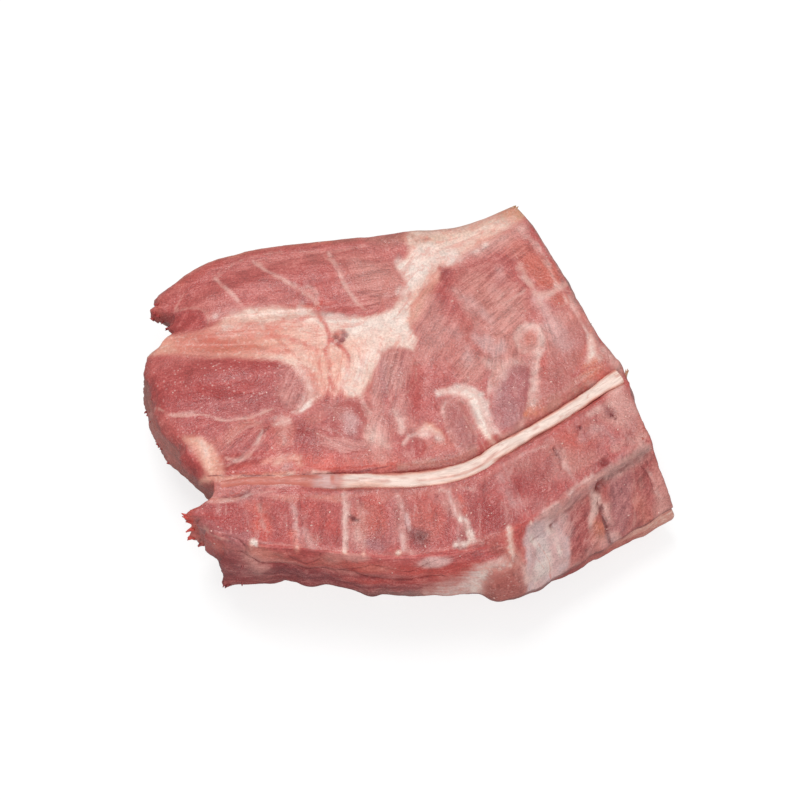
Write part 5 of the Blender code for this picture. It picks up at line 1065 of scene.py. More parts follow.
# lays the bands of tissue over each of the colours, uneven in width and strength
def veiled(x, y, points, colours):
    uneven = cloud(points, 4.5, 17) * 0.5 + cloud(points, 2.2, 18) * 0.35
    thin = 0.25 + 0.75 * smoothStep(cloud(points, 5.5, 19) * 1.1 + cloud(points, 2.0, 20) * 0.5 + 0.62)
    for tone, strength, soft, *outline in sheets:
        depth = outlineDepth(x, y, np.reshape(outline, (-1, 2))) + uneven
        amount = strength * smoothStep(depth / (2 * soft) + 0.5)
        colours = [mixTone(colour, tone, amount) for colour in colours]
    for tone, strength, soft, *places in veils:
        table = np.reshape(places, (-1, 3))
        reach = table[:, 2].max() + soft
        near = (x > table[:, 0].min() - reach) & (x < table[:, 0].max() + reach)
        near &= (y > table[:, 1].min() - reach) & (y < table[:, 1].max() + reach)
        half = table[:, 2].mean()
        depth = bandDepth(x[near], y[near], table) + uneven[near] * min(half, 2.2)
        amount = np.zeros(len(x))
        even = smoothStep((half - 1.6) / 2.0)
        inside = smoothStep(depth / (2 * max(soft, 0.45)) + 0.55)
        amount[near] = strength * inside * (thin[near] * (1 - even) + even)
        colours = [mixTone(colour, tone, amount) for colour in colours]
    return colours


# clouds, ragged edges and relief of the surface, layers as size in mm, seed, amount
paintLook = {
    "warpX": ((14, 3, 1.6), (5, 4, 1), (2.4, 14, 0.4)), "warpY": ((14, 5, 1.6), (5, 6, 1), (2.4, 15, 0.4)),
    "raggedSides": ((17, 60, 0.22), (6, 61, 0.1)),
    "leanClouds": (("milky", 0.4, 20, 8, 1, 0.3), ("rose", 0.4, 13, 9, 1, 0.2),
        ("dusky", 0.35, 8, 10, 1, -0.1)),
    "boneClouds": (("paleBone", 0.5, 7, 63, 1.5, -0.1), ("darkBone", 0.5, 6, 64, 1.6, -0.1)),
    "relief": ((21, 41, 0.45, 0), (8.5, 42, 0.26, 0.4), (3.8, 43, 0.16, 0.5), (1.9, 50, 0.1, 0.6)),
    "boneRelief": ((5, 51, 0.3), (1.6, 52, 0.2)), "throatRelief": ((9, 48, 0.5), (4, 49, 0.3)),
    "wallRelief": ((16, 45, 1.3), (6.5, 46, 0.7), (3, 47, 0.35)),
    "wallRough": (0.5, 0.9, 1.3, 0.45),  # tail, back, head, throat
    "archRagged": ((5, 16, 1.2),), "archRim": -0.6, "bandWarp": 0.5, "veilWarp": 0.6,
    "seamBottom": 42.0, "seamSlope": 0.5, "seamRagged": ((9, 11, 2),), "hidden": -30.0, "bonyFrom": 0.05,
    # the cut at the tail end: muscles along it, their places and how wide the fat between them is
    "muscles": 15, "muscleSeed": 7, "muscleSpan": (-112, 70), "muscleLoose": 6,
    "muscleLow": 14, "muscleHigh": 44,
    "muscleTones": ("rose", "lean", "milky", "lean", "salmon"), "muscleRagged": ((16, 21, 1),),
    "cutSkew": (0.45, 0.9, 1.15), "seamWidth": 1.3, "seamSharp": 0.55, "cutRagged": ((7, 22, 0.7),),
    # thin fat over the outer side
    "cover": 2.2, "coverRagged": ((26, 24, 3), (9, 25, 1.6)), "edgeRagged": ((19, 62, 0.07), (7, 63, 0.03)),
    "coverBack": 0.2, "coverThroat": -2.4, "coverLow": 1.6, "coverLowFrom": 2.5,
    "coverFades": 10, "coverEnds": 9,
    "throatCover": 0.3, "rimRagged": ((8, 27, 1.2),), "tailRagged": ((7, 28, 1.6),),
}
# where a change starts and over how much it goes
ramps = {
    "wall": (0, 0.1), "side": (0.3, 0.4), "neckEnd": (0.62, 0.1), "boneEdge": (0, 0.12),
    "throatLow": (18, 10), "archFace": (-1.8, 3.6), "archMiddle": (1.5, 3), "archMottled": (-0.3, 1),
    "archRimMottled": (-0.6, 1), "towardsHead": (-20, -80), "wallShare": (0, 0.03),
    "belowRim": (0.88, 0.08), "headRose": (0, 1), "backTop": (0.8, 0.16), "coverTail": (0.6, 0.2),
    "throatTop": (0, 0.2), "blush": (-0.4, 1), "rimShadeDown": (0.95, -0.25),
    "rimShadeTail": (0.5, 0.16), "skinStart": (0.02, 0.1), "skinEnd": (0.5, 0.2), "skin": (5, -4),
    "brownSkin": (1.6, -1.2), "tanFat": (4, -3), "strip": (0.9, 0.08), "edgeWallShade": (2.4, -1.8),
    "rowStart": (0.4, 2), "rowEnd": (0, 1.4), "rowHead": (-1, 2), "duskyBone": (0.45, 0.3),
    "duskyMottled": (-0.6, 1), "canalSide": (21.5, 3), "creamSideEnd": (0.3, 0.1),
    "salmonSideEnd": (0.55, 0.2), "discEnd": (19, 5), "archBony": (-0.8, 1.6),
    "broken": (-0.0625, 0.625), "brokenRow": (2.47, -0.3), "milkStrip": (5.5, -3),
}
# tone and strength
shades = {
    "neckRim": ("rose", 0.8), "lowThroat": ("throat", 0.75), "archMiddle": ("rose", 0.5),
    "headFat": ("pinkCream", 0.5), "tailFat": ("pinkCream", 0.5), "headMilk": ("milky", 0.7),
    "headRose": ("rose", 0.6), "headSalmon": ("salmon", 0.5), "outerFat": ("rosyCream", 0.55),
    "throatWall": ("throat", 0.3), "rimShade": ("umber", 0.8), "skin": ("redFat", 0.75),
    "brownSkin": ("brown", 0.5), "tanFat": ("tan", 0.6), "edgeWallShade": ("grey", 0.7),
    "milkStrip": ("pinkMilk", 0.8), "muscle": (None, 0.6), "archInner": (None, 0.85),
    "archRim": (None, 0.5),
    "duskyBone": ("dusky", 0.5), "creamSide": ("rosyCream", 0.55), "salmonSide": ("salmon", 0.5),
    "disc": ("gristle", 0.85), "besideDisc": ("milky", 0.6),
}


# everything that the flesh material reads, for points given in plan millimetres
def fleshPaint(points, level, share, row, station, down):
    warp = np.stack([layers(points, paintLook[name]) for name in ("warpX", "warpY")], -1)
    x, y, z = points[:, 0] + warp[:, 0], points[:, 1] + warp[:, 1], points[:, 2]
    wall = ramp(1 - level, "wall")
    side = sideWeights(points[:, 0], points[:, 1]) + layers(points, paintLook["raggedSides"])[:, None]
    sides = tuple(ramp(side[:, k], "side") * wall for k in range(4))
    lean = clouded(points, toned("lean", points), paintLook["leanClouds"])
    neck = 1 - ramp(share, "neckEnd")
    lean = shaded(lean, "neckRim", ramp(1 - row, "boneEdge") * neck)
    lean = shaded(lean, "lowThroat", ramp(down, "throatLow") * neck * (row < 1))
    lean = patched(x, y, lean, leanPatches)
    overEdge = ((down > 0) * neck)[:, None]
    lean = lean + (patched(x, down + warp[:, 1], lean, throatPatches) - lean) * overEdge
    for place, (inner, rim, seen) in zip(archEnds, archTones):
        inside = archDepth(x, y, place) + layers(points, paintLook["archRagged"])
        lean = mixTone(lean, inner, shades["archInner"][1] * seen * ramp(inside, "archFace"))
        middle = ramp(inside, "archMiddle") * ramp(cloud(points, 6, 12), "archMottled")
        lean = shaded(lean, "archMiddle", seen * middle)
        edge = np.exp(-(inside - paintLook["archRim"]) ** 2) * ramp(cloud(points, 7, 13), "archRimMottled")
        lean = mixTone(lean, rim, shades["archRim"][1] * seen * edge)
    pale = shaded(toned("cream", points), "headFat", ramp(x, "towardsHead"))
    depth = np.full(len(x), paintLook["hidden"])
    bandPlaces = (points[:, :2] + paintLook["bandWarp"] * warp).T
    for tissue in paleTissue:
        here = tissueDepth(*bandPlaces, tissue)
        if tissue[0] == "seam":
            bottom = (z - paintLook["seamBottom"]) * paintLook["seamSlope"]
            here = np.minimum(here, bottom + layers(points, paintLook["seamRagged"]))
        else:
            here = np.where(level > 0.9, here, paintLook["hidden"])
            pale = mixTone(pale, tissue[2], (here > -2) * 1.0)
        depth = np.maximum(depth, here)
    pale = patched(x, y, pale, palePatches)
    lean, bony, dots, ridge = rowPaint(points, station, row, level, lean)
    top = (level > 0.85)[:, None] * 1.0
    over = veiled(*(points[:, :2] + paintLook["veilWarp"] * warp).T, points, (lean, pale))
    lean, pale = (a + (b - a) * top for a, b in zip((lean, pale), over))
    depth = np.where(bony > paintLook["bonyFrom"], np.minimum(depth, -3), depth)
    return {"x": x, "y": y, "wall": wall, "side": sides, "lean": lean, "pale": pale, "depth": depth,
            "bony": bony, "dots": dots, "ridge": ridge}


# outer side, cut ends and rims: what the photo doesn't show is finished like what it shows
def wallPaint(points, level, paint, share, row):
    tail, back, head, throat = paint["side"]
    wallShare = ramp(1 - level, "wallShare") * (points[:, 1] < -40)
    lean, pale, depth = paint["lean"], paint["pale"], paint["depth"]
    z = points[:, 2]
    # the cut at the tail end goes through rounded muscles with fat between them
    skewX, skewY, tall = paintLook["cutSkew"]
    along = (points[:, 0] - 150) * skewX - points[:, 1] * skewY
    rng = np.random.default_rng(paintLook["muscleSeed"])
    count, loose = paintLook["muscles"], paintLook["muscleLoose"]
    places = np.linspace(*paintLook["muscleSpan"], count) + rng.uniform(-loose, loose, count)
    seeds = np.stack([places, paintLook["muscleLow"] + paintLook["muscleHigh"] * rng.random(count)], 1)
    gaps = np.hypot(along[:, None] - seeds[:, 0], (z[:, None] - seeds[:, 1]) * tall)
    gaps = gaps + layers(points, paintLook["muscleRagged"])[:, None]
    two = np.sort(gaps, axis=1)[:, :2]
    nearest = np.argmin(gaps, axis=1)
    seamDepth = paintLook["seamWidth"] - (two[:, 1] - two[:, 0]) * paintLook["seamSharp"]
    seamDepth = seamDepth + layers(points, paintLook["cutRagged"])
    onCut = seamDepth - 8 * (1 - tail) - 8 * ramp(level, "belowRim") - 20 * (paint["bony"] > 0.1)
    depth = np.maximum(depth, onCut)
    kinds = paintLook["muscleTones"]
    muscleTones = np.array([kinds[k % len(kinds)] for k in range(count)])
    for tone in ("rose", "milky", "salmon"):
        mine = (muscleTones[nearest] == tone) * (paint["bony"] < 0.1)
        lean = mixTone(lean, tone, shades["muscle"][1] * mine * tail)
    pale = shaded(pale, "tailFat", tail)
    # the head end is torn deep red meat, painted milkier and lighter on its wall to offset the shade that
    # falls there
    lean = shaded(lean, "headMilk", head)
    lean = shaded(lean, "headRose", head * ramp(cloud(points, 11, 23), "headRose"))
    lean = shaded(lean, "headSalmon", head * ramp(cloud(points * (1, 0.5, 1), 8, 30), "headRose"))
    # thin fat with pink showing through covers the outer side
    cover = paintLook["cover"] + layers(points, paintLook["coverRagged"])
    uneven = level + layers(points, paintLook["edgeRagged"])
    fades, ends = paintLook["coverFades"], paintLook["coverEnds"]
    onBack = cover + paintLook["coverBack"] - fades * (1 - back) - ends * ramp(uneven, "backTop")
    lowCover = paintLook["throatCover"] * (1 - ramp(share, "coverTail"))
    onThroat = cover + paintLook["coverThroat"] - fades * (1 - throat)
    onThroat = onThroat - ends * ramp(uneven - lowCover, "throatTop")
    depth = np.maximum(np.maximum(depth, onBack), onThroat)
    pale = shaded(pale, "outerFat", np.maximum(back, throat) * ramp(cloud(points, 18, 26), "blush"))
    lean = shaded(lean, "throatWall", throat)
    rimShade = wallShare * (1 - ramp(level, "rimShadeDown")) * ramp(share, "rimShadeTail")
    lean = shaded(lean, "rimShade", rimShade * np.minimum(throat + tail, 1))
    depth = np.maximum(depth, cover - paintLook["coverLow"] * np.maximum(z - paintLook["coverLowFrom"], 0))
    # a thin red-brown skin along the back rim; along the tail rim grey painted shade where the cut wall shows
    # edge-on
    width = np.linalg.norm(alongLine(lines["back"], share) - alongLine(lines["canal"], share), axis=-1)
    fromBack = np.where(level > 0.99, (3 - row) * width, 0) + layers(points, paintLook["rimRagged"])
    onBackHalf = row > 2.5
    rim = onBackHalf * ramp(share, "skinStart") * (1 - ramp(share, "skinEnd"))
    lean = shaded(lean, "skin", rim * ramp(fromBack, "skin"))
    lean = shaded(lean, "brownSkin", ramp(fromBack, "brownSkin") * onBackHalf)
    pale = shaded(pale, "tanFat", ramp(fromBack, "tanFat") * onBackHalf)
    fromTail = (1 - share) * collar["length"] + layers(points, paintLook["tailRagged"])
    strip = (row > 2.04) * (row < 2.95) * ramp(uneven, "strip")
    # painted shade of the edge-on cut wall along the tail rim
    lean = shaded(lean, "edgeWallShade", strip * ramp(fromTail, "edgeWallShade"))
    broken = ramp(cloud(points, 13, 29), "broken") * ramp(row, "brokenRow")
    lean = shaded(lean, "milkStrip", strip * broken * ramp(fromTail, "milkStrip"))
    return lean, pale, depth


# fibre coordinates, along, across and through, with how streaky and filmy the surface is and how thick its
# specks of painted wet glint lie
def fibres(points, x, y, wall):
    heading = np.full(len(x), 30.0)
    best, second = np.zeros(len(x)), np.zeros(len(x))
    amounts = np.tile((0.1, 0.02, 0.12), (len(x), 1))
    total = np.full(len(x), 0.3)
    for cx, cy, halfLength, halfWidth, tilt, angle, *values in fibreFields:
        depth = ovalDepth(x, y, (cx, cy, halfLength, halfWidth, tilt))
        weight = smoothStep(depth / min(halfLength, halfWidth) / 0.5)
        amounts += weight[:, None] * np.array(values)
        total += weight
        nearer = weight > best
        second = np.where(nearer, best, np.maximum(second, weight))
        heading = np.where(nearer, angle, heading)
        best = np.where(nearer, weight, best)
    streak, film, glintSpeckle = (amounts / total[:, None]).T
    streak = streak * (0.3 + 0.7 * smoothStep((best - second) / 0.3))
    a = np.radians(heading)
    bend = np.stack([cloud(points, 45, 31) * 5, cloud(points, 45, 32) * 5, cloud(points, 30, 33) * 3], -1)
    p = points + bend
    u = p[:, 0] * np.cos(a) + p[:, 1] * np.sin(a)
    v = -p[:, 0] * np.sin(a) + p[:, 1] * np.cos(a)
    flat = np.stack([u, v, p[:, 2]], -1)
    upright = np.stack([p[:, 0] + p[:, 1] * 0.6, p[:, 2] * 1.4, p[:, 1]], -1)
    return np.where(wall[:, None] > 0.5, upright, flat), streak, film, glintSpeckle


def relief(points, paint, depth, cuts, lineStrokes, level, row):
    p = points
    fat = smoothStep(depth / 2.0 + 0.5)
    height = 0.25 * fat
    for size, seed, amount, smoother in paintLook["relief"]:
        height += cloud(p, size, seed) * amount * (1 - smoother * fat)
    place, strength = lineStrokes
    height -= 0.2 * strength * np.exp(-(place / 1.4) ** 2)
    height -= cuts
    height += 0.2 * cloud(paint["fibres"] * np.array([0.18, 1.0, 0.6]), 2.2, 44) * paint["streak"] * (1 - fat)
    for place, (_, _, seen) in zip(archEnds, archTones):
        inside = archDepth(paint["x"], paint["y"], place)
        groove = 0.3 * np.exp(-((inside + 0.4) / 1.3) ** 2) * smoothStep(cloud(p, 6, 53) + 0.5)
        height += (level > 0.99) * seen * (0.4 * smoothStep(inside / 4 + 0.3) - groove)
    height += paint["bony"] * layers(p, paintLook["boneRelief"]) + paint["dots"] * 0.5
    height += paint["ridge"] * 0.25
    rough = sum(side * amount for side, amount in zip(paint["side"], paintLook["wallRough"]))
    height += rough * layers(p, paintLook["wallRelief"])
    low = (1 - smoothStep((row - 0.6) / 0.5)) * (level > 0.99)
    height += low * layers(p * (0.5, 1, 1), paintLook["throatRelief"])
    return height * smoothStep(p[:, 2] / 8.0)


# pieces let into the top face share its lattice, so no line shows where they meet

letIn = {
    "archSquareness": 2.6, "seamFloor": 41.0, "patchFloor": 58.0, "archFloor": (58, 62, 58, 56, 56, 62),
    "ribDepth": 14.0, "boneFloor": 56.5, "slack": 0.3, "deepLevels": 10, "boneLevels": 5, "archLevels": 4,
    "holdBack": 1.0, "followReach": 14.0,
}
print("plan ready")


# name, node, slot, depth inside it at a place, its floor, wall levels that it reaches down
def letInPieces():
    deep = letIn["deepLevels"]
    pieces = [("fatSeam", "fat_seam", "fat", lambda x, y: tissueDepth(x, y, paleTissue[0]),
               lambda z: z * 0 + letIn["seamFloor"], deep),
              ("fatPatch", "fat_patch", "fat", lambda x, y: tissueDepth(x, y, paleTissue[1]),
               lambda z: z * 0 + letIn["patchFloor"], deep)]
    for k, place in enumerate(archEnds):
        pieces.append((f"archEnd{k + 1}", f"arch_end_{k + 1}", "sawn_bone",
                       lambda x, y, p=place: archDepth(x, y, p),
                       lambda z, low=letIn["archFloor"][k]: z * 0 + low, letIn["archLevels"]))
    for k, band in enumerate(ribBands):
        pieces.append((f"rib{k + 1}", f"rib_{k + 1}", "rib_skin", lambda x, y, b=band: bandDepth(x, y, b),
                       lambda z: z - letIn["ribDepth"], deep))
    bones = [(f"vertebra{k + 1}", f"vertebra_{k + 1}", "sawn_bone") for k in range(len(boneRow["discs"]) + 1)]
    discs = [(f"disc{k + 1}", f"disc_{k + 1}", "gristle") for k in range(len(boneRow["discs"]))]
    for k in range(len(bones) + len(discs)):
        name = (discs if k % 2 else bones)[k // 2]
        pieces.append((*name, None, lambda z: z * 0 + letIn["boneFloor"], letIn["boneLevels"]))
    return pieces


# which piece each cell of the top face belongs to: 0 is the meat
def cellOwners(lattice, pieces):
    p = lattice["points"]
    middle = (p[:-1, :-1] + p[1:, :-1] + p[:-1, 1:] + p[1:, 1:]) / 4
    owner = np.zeros(middle.shape[:2], int)
    bonesFrom, bonesTo = lattice["bones"]
    free = np.ones(middle.shape[:2], bool)
    free[:, bonesFrom - 1:lattice["canalTo"]] = False
    x, y = middle[..., 0].ravel(), middle[..., 1].ravel()
    stations = lattice["station"][:, 0]
    at = (stations[1:] + stations[:-1]) / 2
    knots = rowKnots()[1][1:]
    firstBone = len(pieces) - (len(knots) - 1)
    for k, piece in enumerate(pieces):
        if piece[3] is None:
            here = (at > knots[k - firstBone]) & (at < knots[k - firstBone + 1])
            owner[here, bonesFrom:bonesTo] = k + 1
            continue
        inside = (piece[3](x, y) > 0).reshape(owner.shape) & free
        inside[:, bonesFrom:] &= not piece[0].startswith("rib")
        owner[inside] = k + 1
    for _ in range(8):
        a, b, c, d = owner[:-1, :-1], owner[1:, :-1], owner[:-1, 1:], owner[1:, 1:]
        crossed = (a == d) & (b != a) & (c != a) & (a > 0)
        b[crossed] = a[crossed]
        crossed = (b == c) & (a != b) & (d != b) & (b > 0)
        a[crossed] = b[crossed]
    return owner


# smooth normals of a block of quads
def faceNormals(vertices, faces):
    normals = np.zeros_like(vertices)
    a, b, c, d = (vertices[faces[:, k]] for k in range(4))
    cross = np.cross(c - a, d - b)
    for k in range(4):
        np.add.at(normals, faces[:, k], cross)
    return normals / np.maximum(np.linalg.norm(normals, axis=1, keepdims=True), 1e-9)


# closed meshes of the meat and of every let-in piece: vertices, faces, where each came from
def cutApart(block, owner, pieces):
    ni, nj = block["shape"]
    vertices = block["vertices"]
    topCount = ni * nj
    border = borderRing(ni, nj)
    size = len(border)
    place = {int(v): k for k, v in enumerate(border)}

    def wallVertex(v, level):
        return v if level == 0 else topCount + (level - 1) * size + place[v]

    cells = block["top"]
    rim = vertices[border, :2]
    flat = owner.ravel()
    edgeOwner = np.zeros(size, int)
    for k in range(size):
        i, j = divmod(int(border[k]), nj)
        i2, j2 = divmod(int(border[(k + 1) % size]), nj)
        edgeOwner[k] = owner[min(i, i2, ni - 2), min(j, j2, nj - 2)]
    walls = block["walls"].reshape(-1, size, 4)
    reach = np.array([0] + [piece[5] for piece in pieces])[edgeOwner]
    built = {}
    extra, extraSource = [], []
    meatFaces = [tuple(f) for f in cells[flat == 0]]
    meatOuter = [True] * len(meatFaces)
    for level in range(len(walls)):
        keep = level >= reach
        meatFaces += [tuple(f) for f in walls[level][keep]]
        meatOuter += [True] * int(keep.sum())
    meatFaces.append(tuple(block["base"]))
    meatOuter.append(False)
    # neighbours with one floor share one recess in the meat
    sharedSides, recessAt = set(), {}
    for k, piece in enumerate(pieces):
        if piece[3] is None:
            for f in cells[flat == k + 1].tolist():
                sharedSides.update(zip(f, f[1:] + f[:1]))
    for k, piece in enumerate(pieces):
        low = piece[5]
        own = cells[flat == k + 1]
        used = np.unique(own)
        floors = piece[4](vertices[used, 2])
        floorOf, recessOf, sideOf = {}, {}, {}
        for v, z in zip(used, floors):
            v = int(v)
            if v in place:
                floorOf[v] = recessOf[v] = wallVertex(v, low)
                continue
            away = np.hypot(*(rim - vertices[v, :2]).T)
            near = away.argmin()
            pull = max(0.0, 1 - away[near] / letIn["followReach"])
            beside = vertices[topCount + near:topCount + near + low * size:size]
            inward = (vertices[v, :2] - rim[near]) / max(away[near], 1e-6) * letIn["holdBack"]
            shift = (beside[:, :2] - rim[near] + inward) * pull
            z += (beside[-1, 2] - z) * pull
            floorOf[v] = len(vertices) + len(extra)
            extra.append((*(vertices[v, :2] + shift[-1]), z))
            extraSource.append(v)
            key = (v, low, piece[3] is None)
            if key not in recessAt:
                recessAt[key] = len(vertices) + len(extra)
                extra.append((*(vertices[v, :2] + shift[-1]), z - letIn["slack"]))
                extraSource.append(v)
            recessOf[v] = recessAt[key]
            drop = (z - vertices[v, 2]) / low
            steps = range(low - 1) if pull > 0 else ()
            sideOf[v] = [(*(vertices[v, :2] + shift[s]), vertices[v, 2] + drop * (s + 1)) for s in steps]
        edges = {}
        for f in own:
            f = [int(v) for v in f]
            for a, b in zip(f, f[1:] + f[:1]):
                edges[(a, b)] = True
        faces, outer = [tuple(int(v) for v in f) for f in own], [True] * len(own)
        for level in range(low):
            mine = walls[level][edgeOwner == k + 1]
            faces += [tuple(int(v) for v in f) for f in mine]
            outer += [True] * len(mine)
        for f in own:
            f = [int(v) for v in f]
            faces.append(tuple(floorOf[v] for v in reversed(f)))
            outer.append(False)
            meatFaces.append(tuple(recessOf[v] for v in f))
            meatOuter.append(False)
        for a, b in edges:
            if (b, a) in edges or (a in place and b in place and isBorderEdge(place[a], place[b], size)):
                continue
            for v in (a, b):
                if v in place:
                    sideOf[v] = [wallVertex(v, s) for s in range(1, low)]
                elif sideOf[v] and isinstance(sideOf[v][0], tuple):
                    first = len(vertices) + len(extra)
                    extra += sideOf[v]
                    extraSource += [v] * len(sideOf[v])
                    sideOf[v] = list(range(first, first + len(sideOf[v])))
            ways = [([v, *sideOf[v], floorOf[v]], [v, *sideOf[v], recessOf[v]]) for v in (a, b)]
            if sideOf[a] and sideOf[b]:
                (down, meatDown), (beyond, meatBeyond) = ways
                mine = list(zip(beyond, down, down[1:], beyond[1:]))
                meat = list(zip(meatDown, meatBeyond, meatBeyond[1:], meatDown[1:]))
            else:
                mine = [(*reversed(ways[1][0]), *ways[0][0])]
                meat = [(*reversed(ways[0][1]), *ways[1][1])]
            faces += mine
            outer += [False] * len(mine)
            if not (piece[3] is None and (b, a) in sharedSides):
                meatFaces += meat
                meatOuter += [False] * len(meat)
        built[piece[0]] = (faces, outer)
    built["meat"] = (meatFaces, meatOuter)
    everything = np.vstack([vertices, np.array(extra)]) if extra else vertices
    source = np.concatenate([np.arange(len(vertices)), np.array(extraSource, int)])
    return built, everything, source


def isBorderEdge(a, b, size):
    return (a - b) % size in (1, size - 1)


def fleshObject(name, faces, outer, vertices, source, normals, values):
    used = np.unique(np.concatenate([np.array(f) for f in faces]))
    index = np.full(len(vertices), -1)
    index[used] = np.arange(len(used))
    remapped = [tuple(index[list(f)]) for f in faces]
    mesh = newMesh(name, vertices[used], remapped)
    setAttributes(mesh, {key: value[source[used]] for key, value in values.items()})
    outer = np.array(outer)
    mesh.polygons.foreach_set("use_smooth", outer)
    counts = np.array([len(f) for f in faces])
    loopVertex = np.concatenate([np.array(f) for f in faces])
    loopNormals = np.where(np.repeat(outer, counts)[:, None], normals[source[loopVertex]], 0.0)
    mesh.normals_split_custom_set(loopNormals.tolist())
    mesh.materials.append(materials["flesh"])
    return placed(name, mesh)


# node helpers

def fill(tree, node, inputs):
    for key, value in inputs.items():
        if isinstance(value, bpy.types.NodeSocket):
            tree.links.new(value, node.inputs[key])
        else:
            node.inputs[key].default_value = value
    return node.outputs


def wire(tree, kind, inputs={}, output=0, **settings):
    node = tree.nodes.new(kind)
    for name, value in settings.items():
        setattr(node, name, value)
    return fill(tree, node, inputs)[output]


def calc(tree, operation, a, b=0.0, c=0.0):
    return wire(tree, "ShaderNodeMath", {0: a, 1: b, 2: c}, operation=operation)


# smooth step of value from low to high
def between(tree, value, low, high, toLow=0.0, toHigh=1.0):
    inputs = {"Value": value, "From Min": low, "From Max": high, "To Min": toLow, "To Max": toHigh}
    return wire(tree, "ShaderNodeMapRange", inputs, interpolation_type="SMOOTHSTEP")


def times(tree, a, b):
    return calc(tree, "MULTIPLY", a, b)


def plus(tree, a, b):
    return calc(tree, "ADD", a, b)


def minus(tree, a, b):
    return calc(tree, "SUBTRACT", a, b)


def blendColour(tree, factor, a, b, kind="MIX"):
    return wire(tree, "ShaderNodeMix", {0: factor, 6: a, 7: b}, 2, data_type="RGBA", blend_type=kind)


def blendFloat(tree, factor, a, b):
    return wire(tree, "ShaderNodeMix", {0: factor, 2: a, 3: b})


def noise(tree, vector, scale, detail=2.0, distortion=0.0, rough=0.5):
    return wire(tree, "ShaderNodeTexNoise", {"Vector": vector, "Scale": scale, "Detail": detail,
                                             "Roughness": rough, "Distortion": distortion})


def stretched(tree, vector, amounts):
    return wire(tree, "ShaderNodeVectorMath", {0: vector, 1: amounts}, operation="MULTIPLY")


def attribute(tree, name, output="Fac"):
    return wire(tree, "ShaderNodeAttribute", output=output, attribute_name=name)


def opened(colour):
    return (*colour, 1.0)


def newGroup(name, inputs, outputs):
    tree = bpy.data.node_groups.new(name, "ShaderNodeTree")
    for socketName in inputs:
        kind = "NodeSocketVector" if socketName in ("Fibre", "Place") else "NodeSocketFloat"
        tree.interface.new_socket(socketName, in_out="INPUT", socket_type=kind)
    for socketName in outputs:
        tree.interface.new_socket(socketName, in_out="OUTPUT", socket_type="NodeSocketFloat")
    return tree, tree.nodes.new("NodeGroupInput").outputs, tree.nodes.new("NodeGroupOutput").inputs


def useGroup(tree, group, inputs):
    node = tree.nodes.new("ShaderNodeGroup")
    node.node_tree = group
    return fill(tree, node, inputs)


# streaks along the fibres, fine grains, wisps of fat between the bundles and their height, with pale specks
# painted as wet glints
def fibreGroup():
    outputs = ("Tone", "Wisp", "Glints", "Height")
    tree, given, out = newGroup("fibreGrain", ("Fibre", "Place", "Streak"), outputs)
    coarse = noise(tree, stretched(tree, given["Fibre"], (0.045, 0.32, 0.2)), 1.0, 2.0, 0.4)
    fine = noise(tree, stretched(tree, given["Fibre"], (0.11, 1.15, 0.7)), 1.0, 3.0, 0.6)
    grain = noise(tree, given["Place"], 0.95, 2.5)
    blotch = noise(tree, given["Place"], 0.16, 2.0)
    streaks = plus(tree, times(tree, coarse, 0.55), times(tree, fine, 0.45))
    centred = minus(tree, streaks, 0.5)
    tone = times(tree, centred, calc(tree, "MULTIPLY_ADD", given["Streak"], 1.9, 0.55))
    tone = plus(tree, tone, times(tree, minus(tree, blotch, 0.5), 0.55))
    tree.links.new(plus(tree, tone, times(tree, minus(tree, grain, 0.5), 0.95)),
                   out["Tone"])
    ridge = calc(tree, "ABSOLUTE", minus(tree, fine, 0.52))
    wisp = times(tree, between(tree, ridge, 0.045, 0.0), between(tree, coarse, 0.42, 0.62))
    tree.links.new(times(tree, wisp, given["Streak"]), out["Wisp"])
    cells = wire(tree, "ShaderNodeTexVoronoi", {"Vector": given["Place"], "Scale": 0.42, "Randomness": 1.0},
                 "Distance")
    # painted highlight: pale specks in clusters stand for glints on the wet surface
    glint = times(tree, between(tree, cells, 0.3, 0.14), between(tree, blotch, 0.36, 0.55))
    tree.links.new(glint, out["Glints"])
    height = times(tree, times(tree, fine, given["Streak"]), 0.8)
    tree.links.new(plus(tree, height, times(tree, grain, 0.5)), out["Height"])
    return tree


# mask of a signed depth in millimetres whose edge wanders a little
def edgeGroup():
    tree, given, out = newGroup("softEdge", ("Depth", "Place", "Fibre", "Wander", "Soft"), ("Mask", "Depth"))
    big = minus(tree, noise(tree, given["Place"], 0.28, 3.0, 0.5), 0.5)
    small = minus(tree, noise(tree, given["Place"], 1.1, 2.0), 0.5)
    feather = minus(tree, noise(tree, stretched(tree, given["Fibre"], (0.06, 0.55, 0.4)), 1.0, 3.0), 0.5)
    shift = calc(tree, "MULTIPLY_ADD", feather, 1.9, calc(tree, "MULTIPLY_ADD", small, 0.5, big))
    shift = times(tree, shift, given["Wander"])
    moved = plus(tree, given["Depth"], shift)
    share = calc(tree, "MULTIPLY_ADD", calc(tree, "DIVIDE", moved, given["Soft"]), 0.5, 0.5)
    tree.links.new(between(tree, share, 0.0, 1.0), out["Mask"])
    tree.links.new(moved, out["Depth"])
    return tree


# mask of a drawn line, uneven in width and strength
def strokeGroup():
    tree, given, out = newGroup("stroke", ("Side", "Strength", "Place"), ("Mask",))
    wander = times(tree, minus(tree, noise(tree, given["Place"], 0.35, 3.0), 0.5), 1.6)
    across = plus(tree, given["Side"], wander)
    width = between(tree, noise(tree, given["Place"], 0.13, 1.0), 0.3, 0.7, 0.55, 1.5)
    core = between(tree, calc(tree, "DIVIDE", calc(tree, "ABSOLUTE", across), width), 1.35, 0.1)
    broken = between(tree, noise(tree, given["Place"], 0.22, 3.0), 0.34, 0.62, 0.12, 1.0)
    tree.links.new(times(tree, times(tree, core, broken), given["Strength"]), out["Mask"])
    return tree


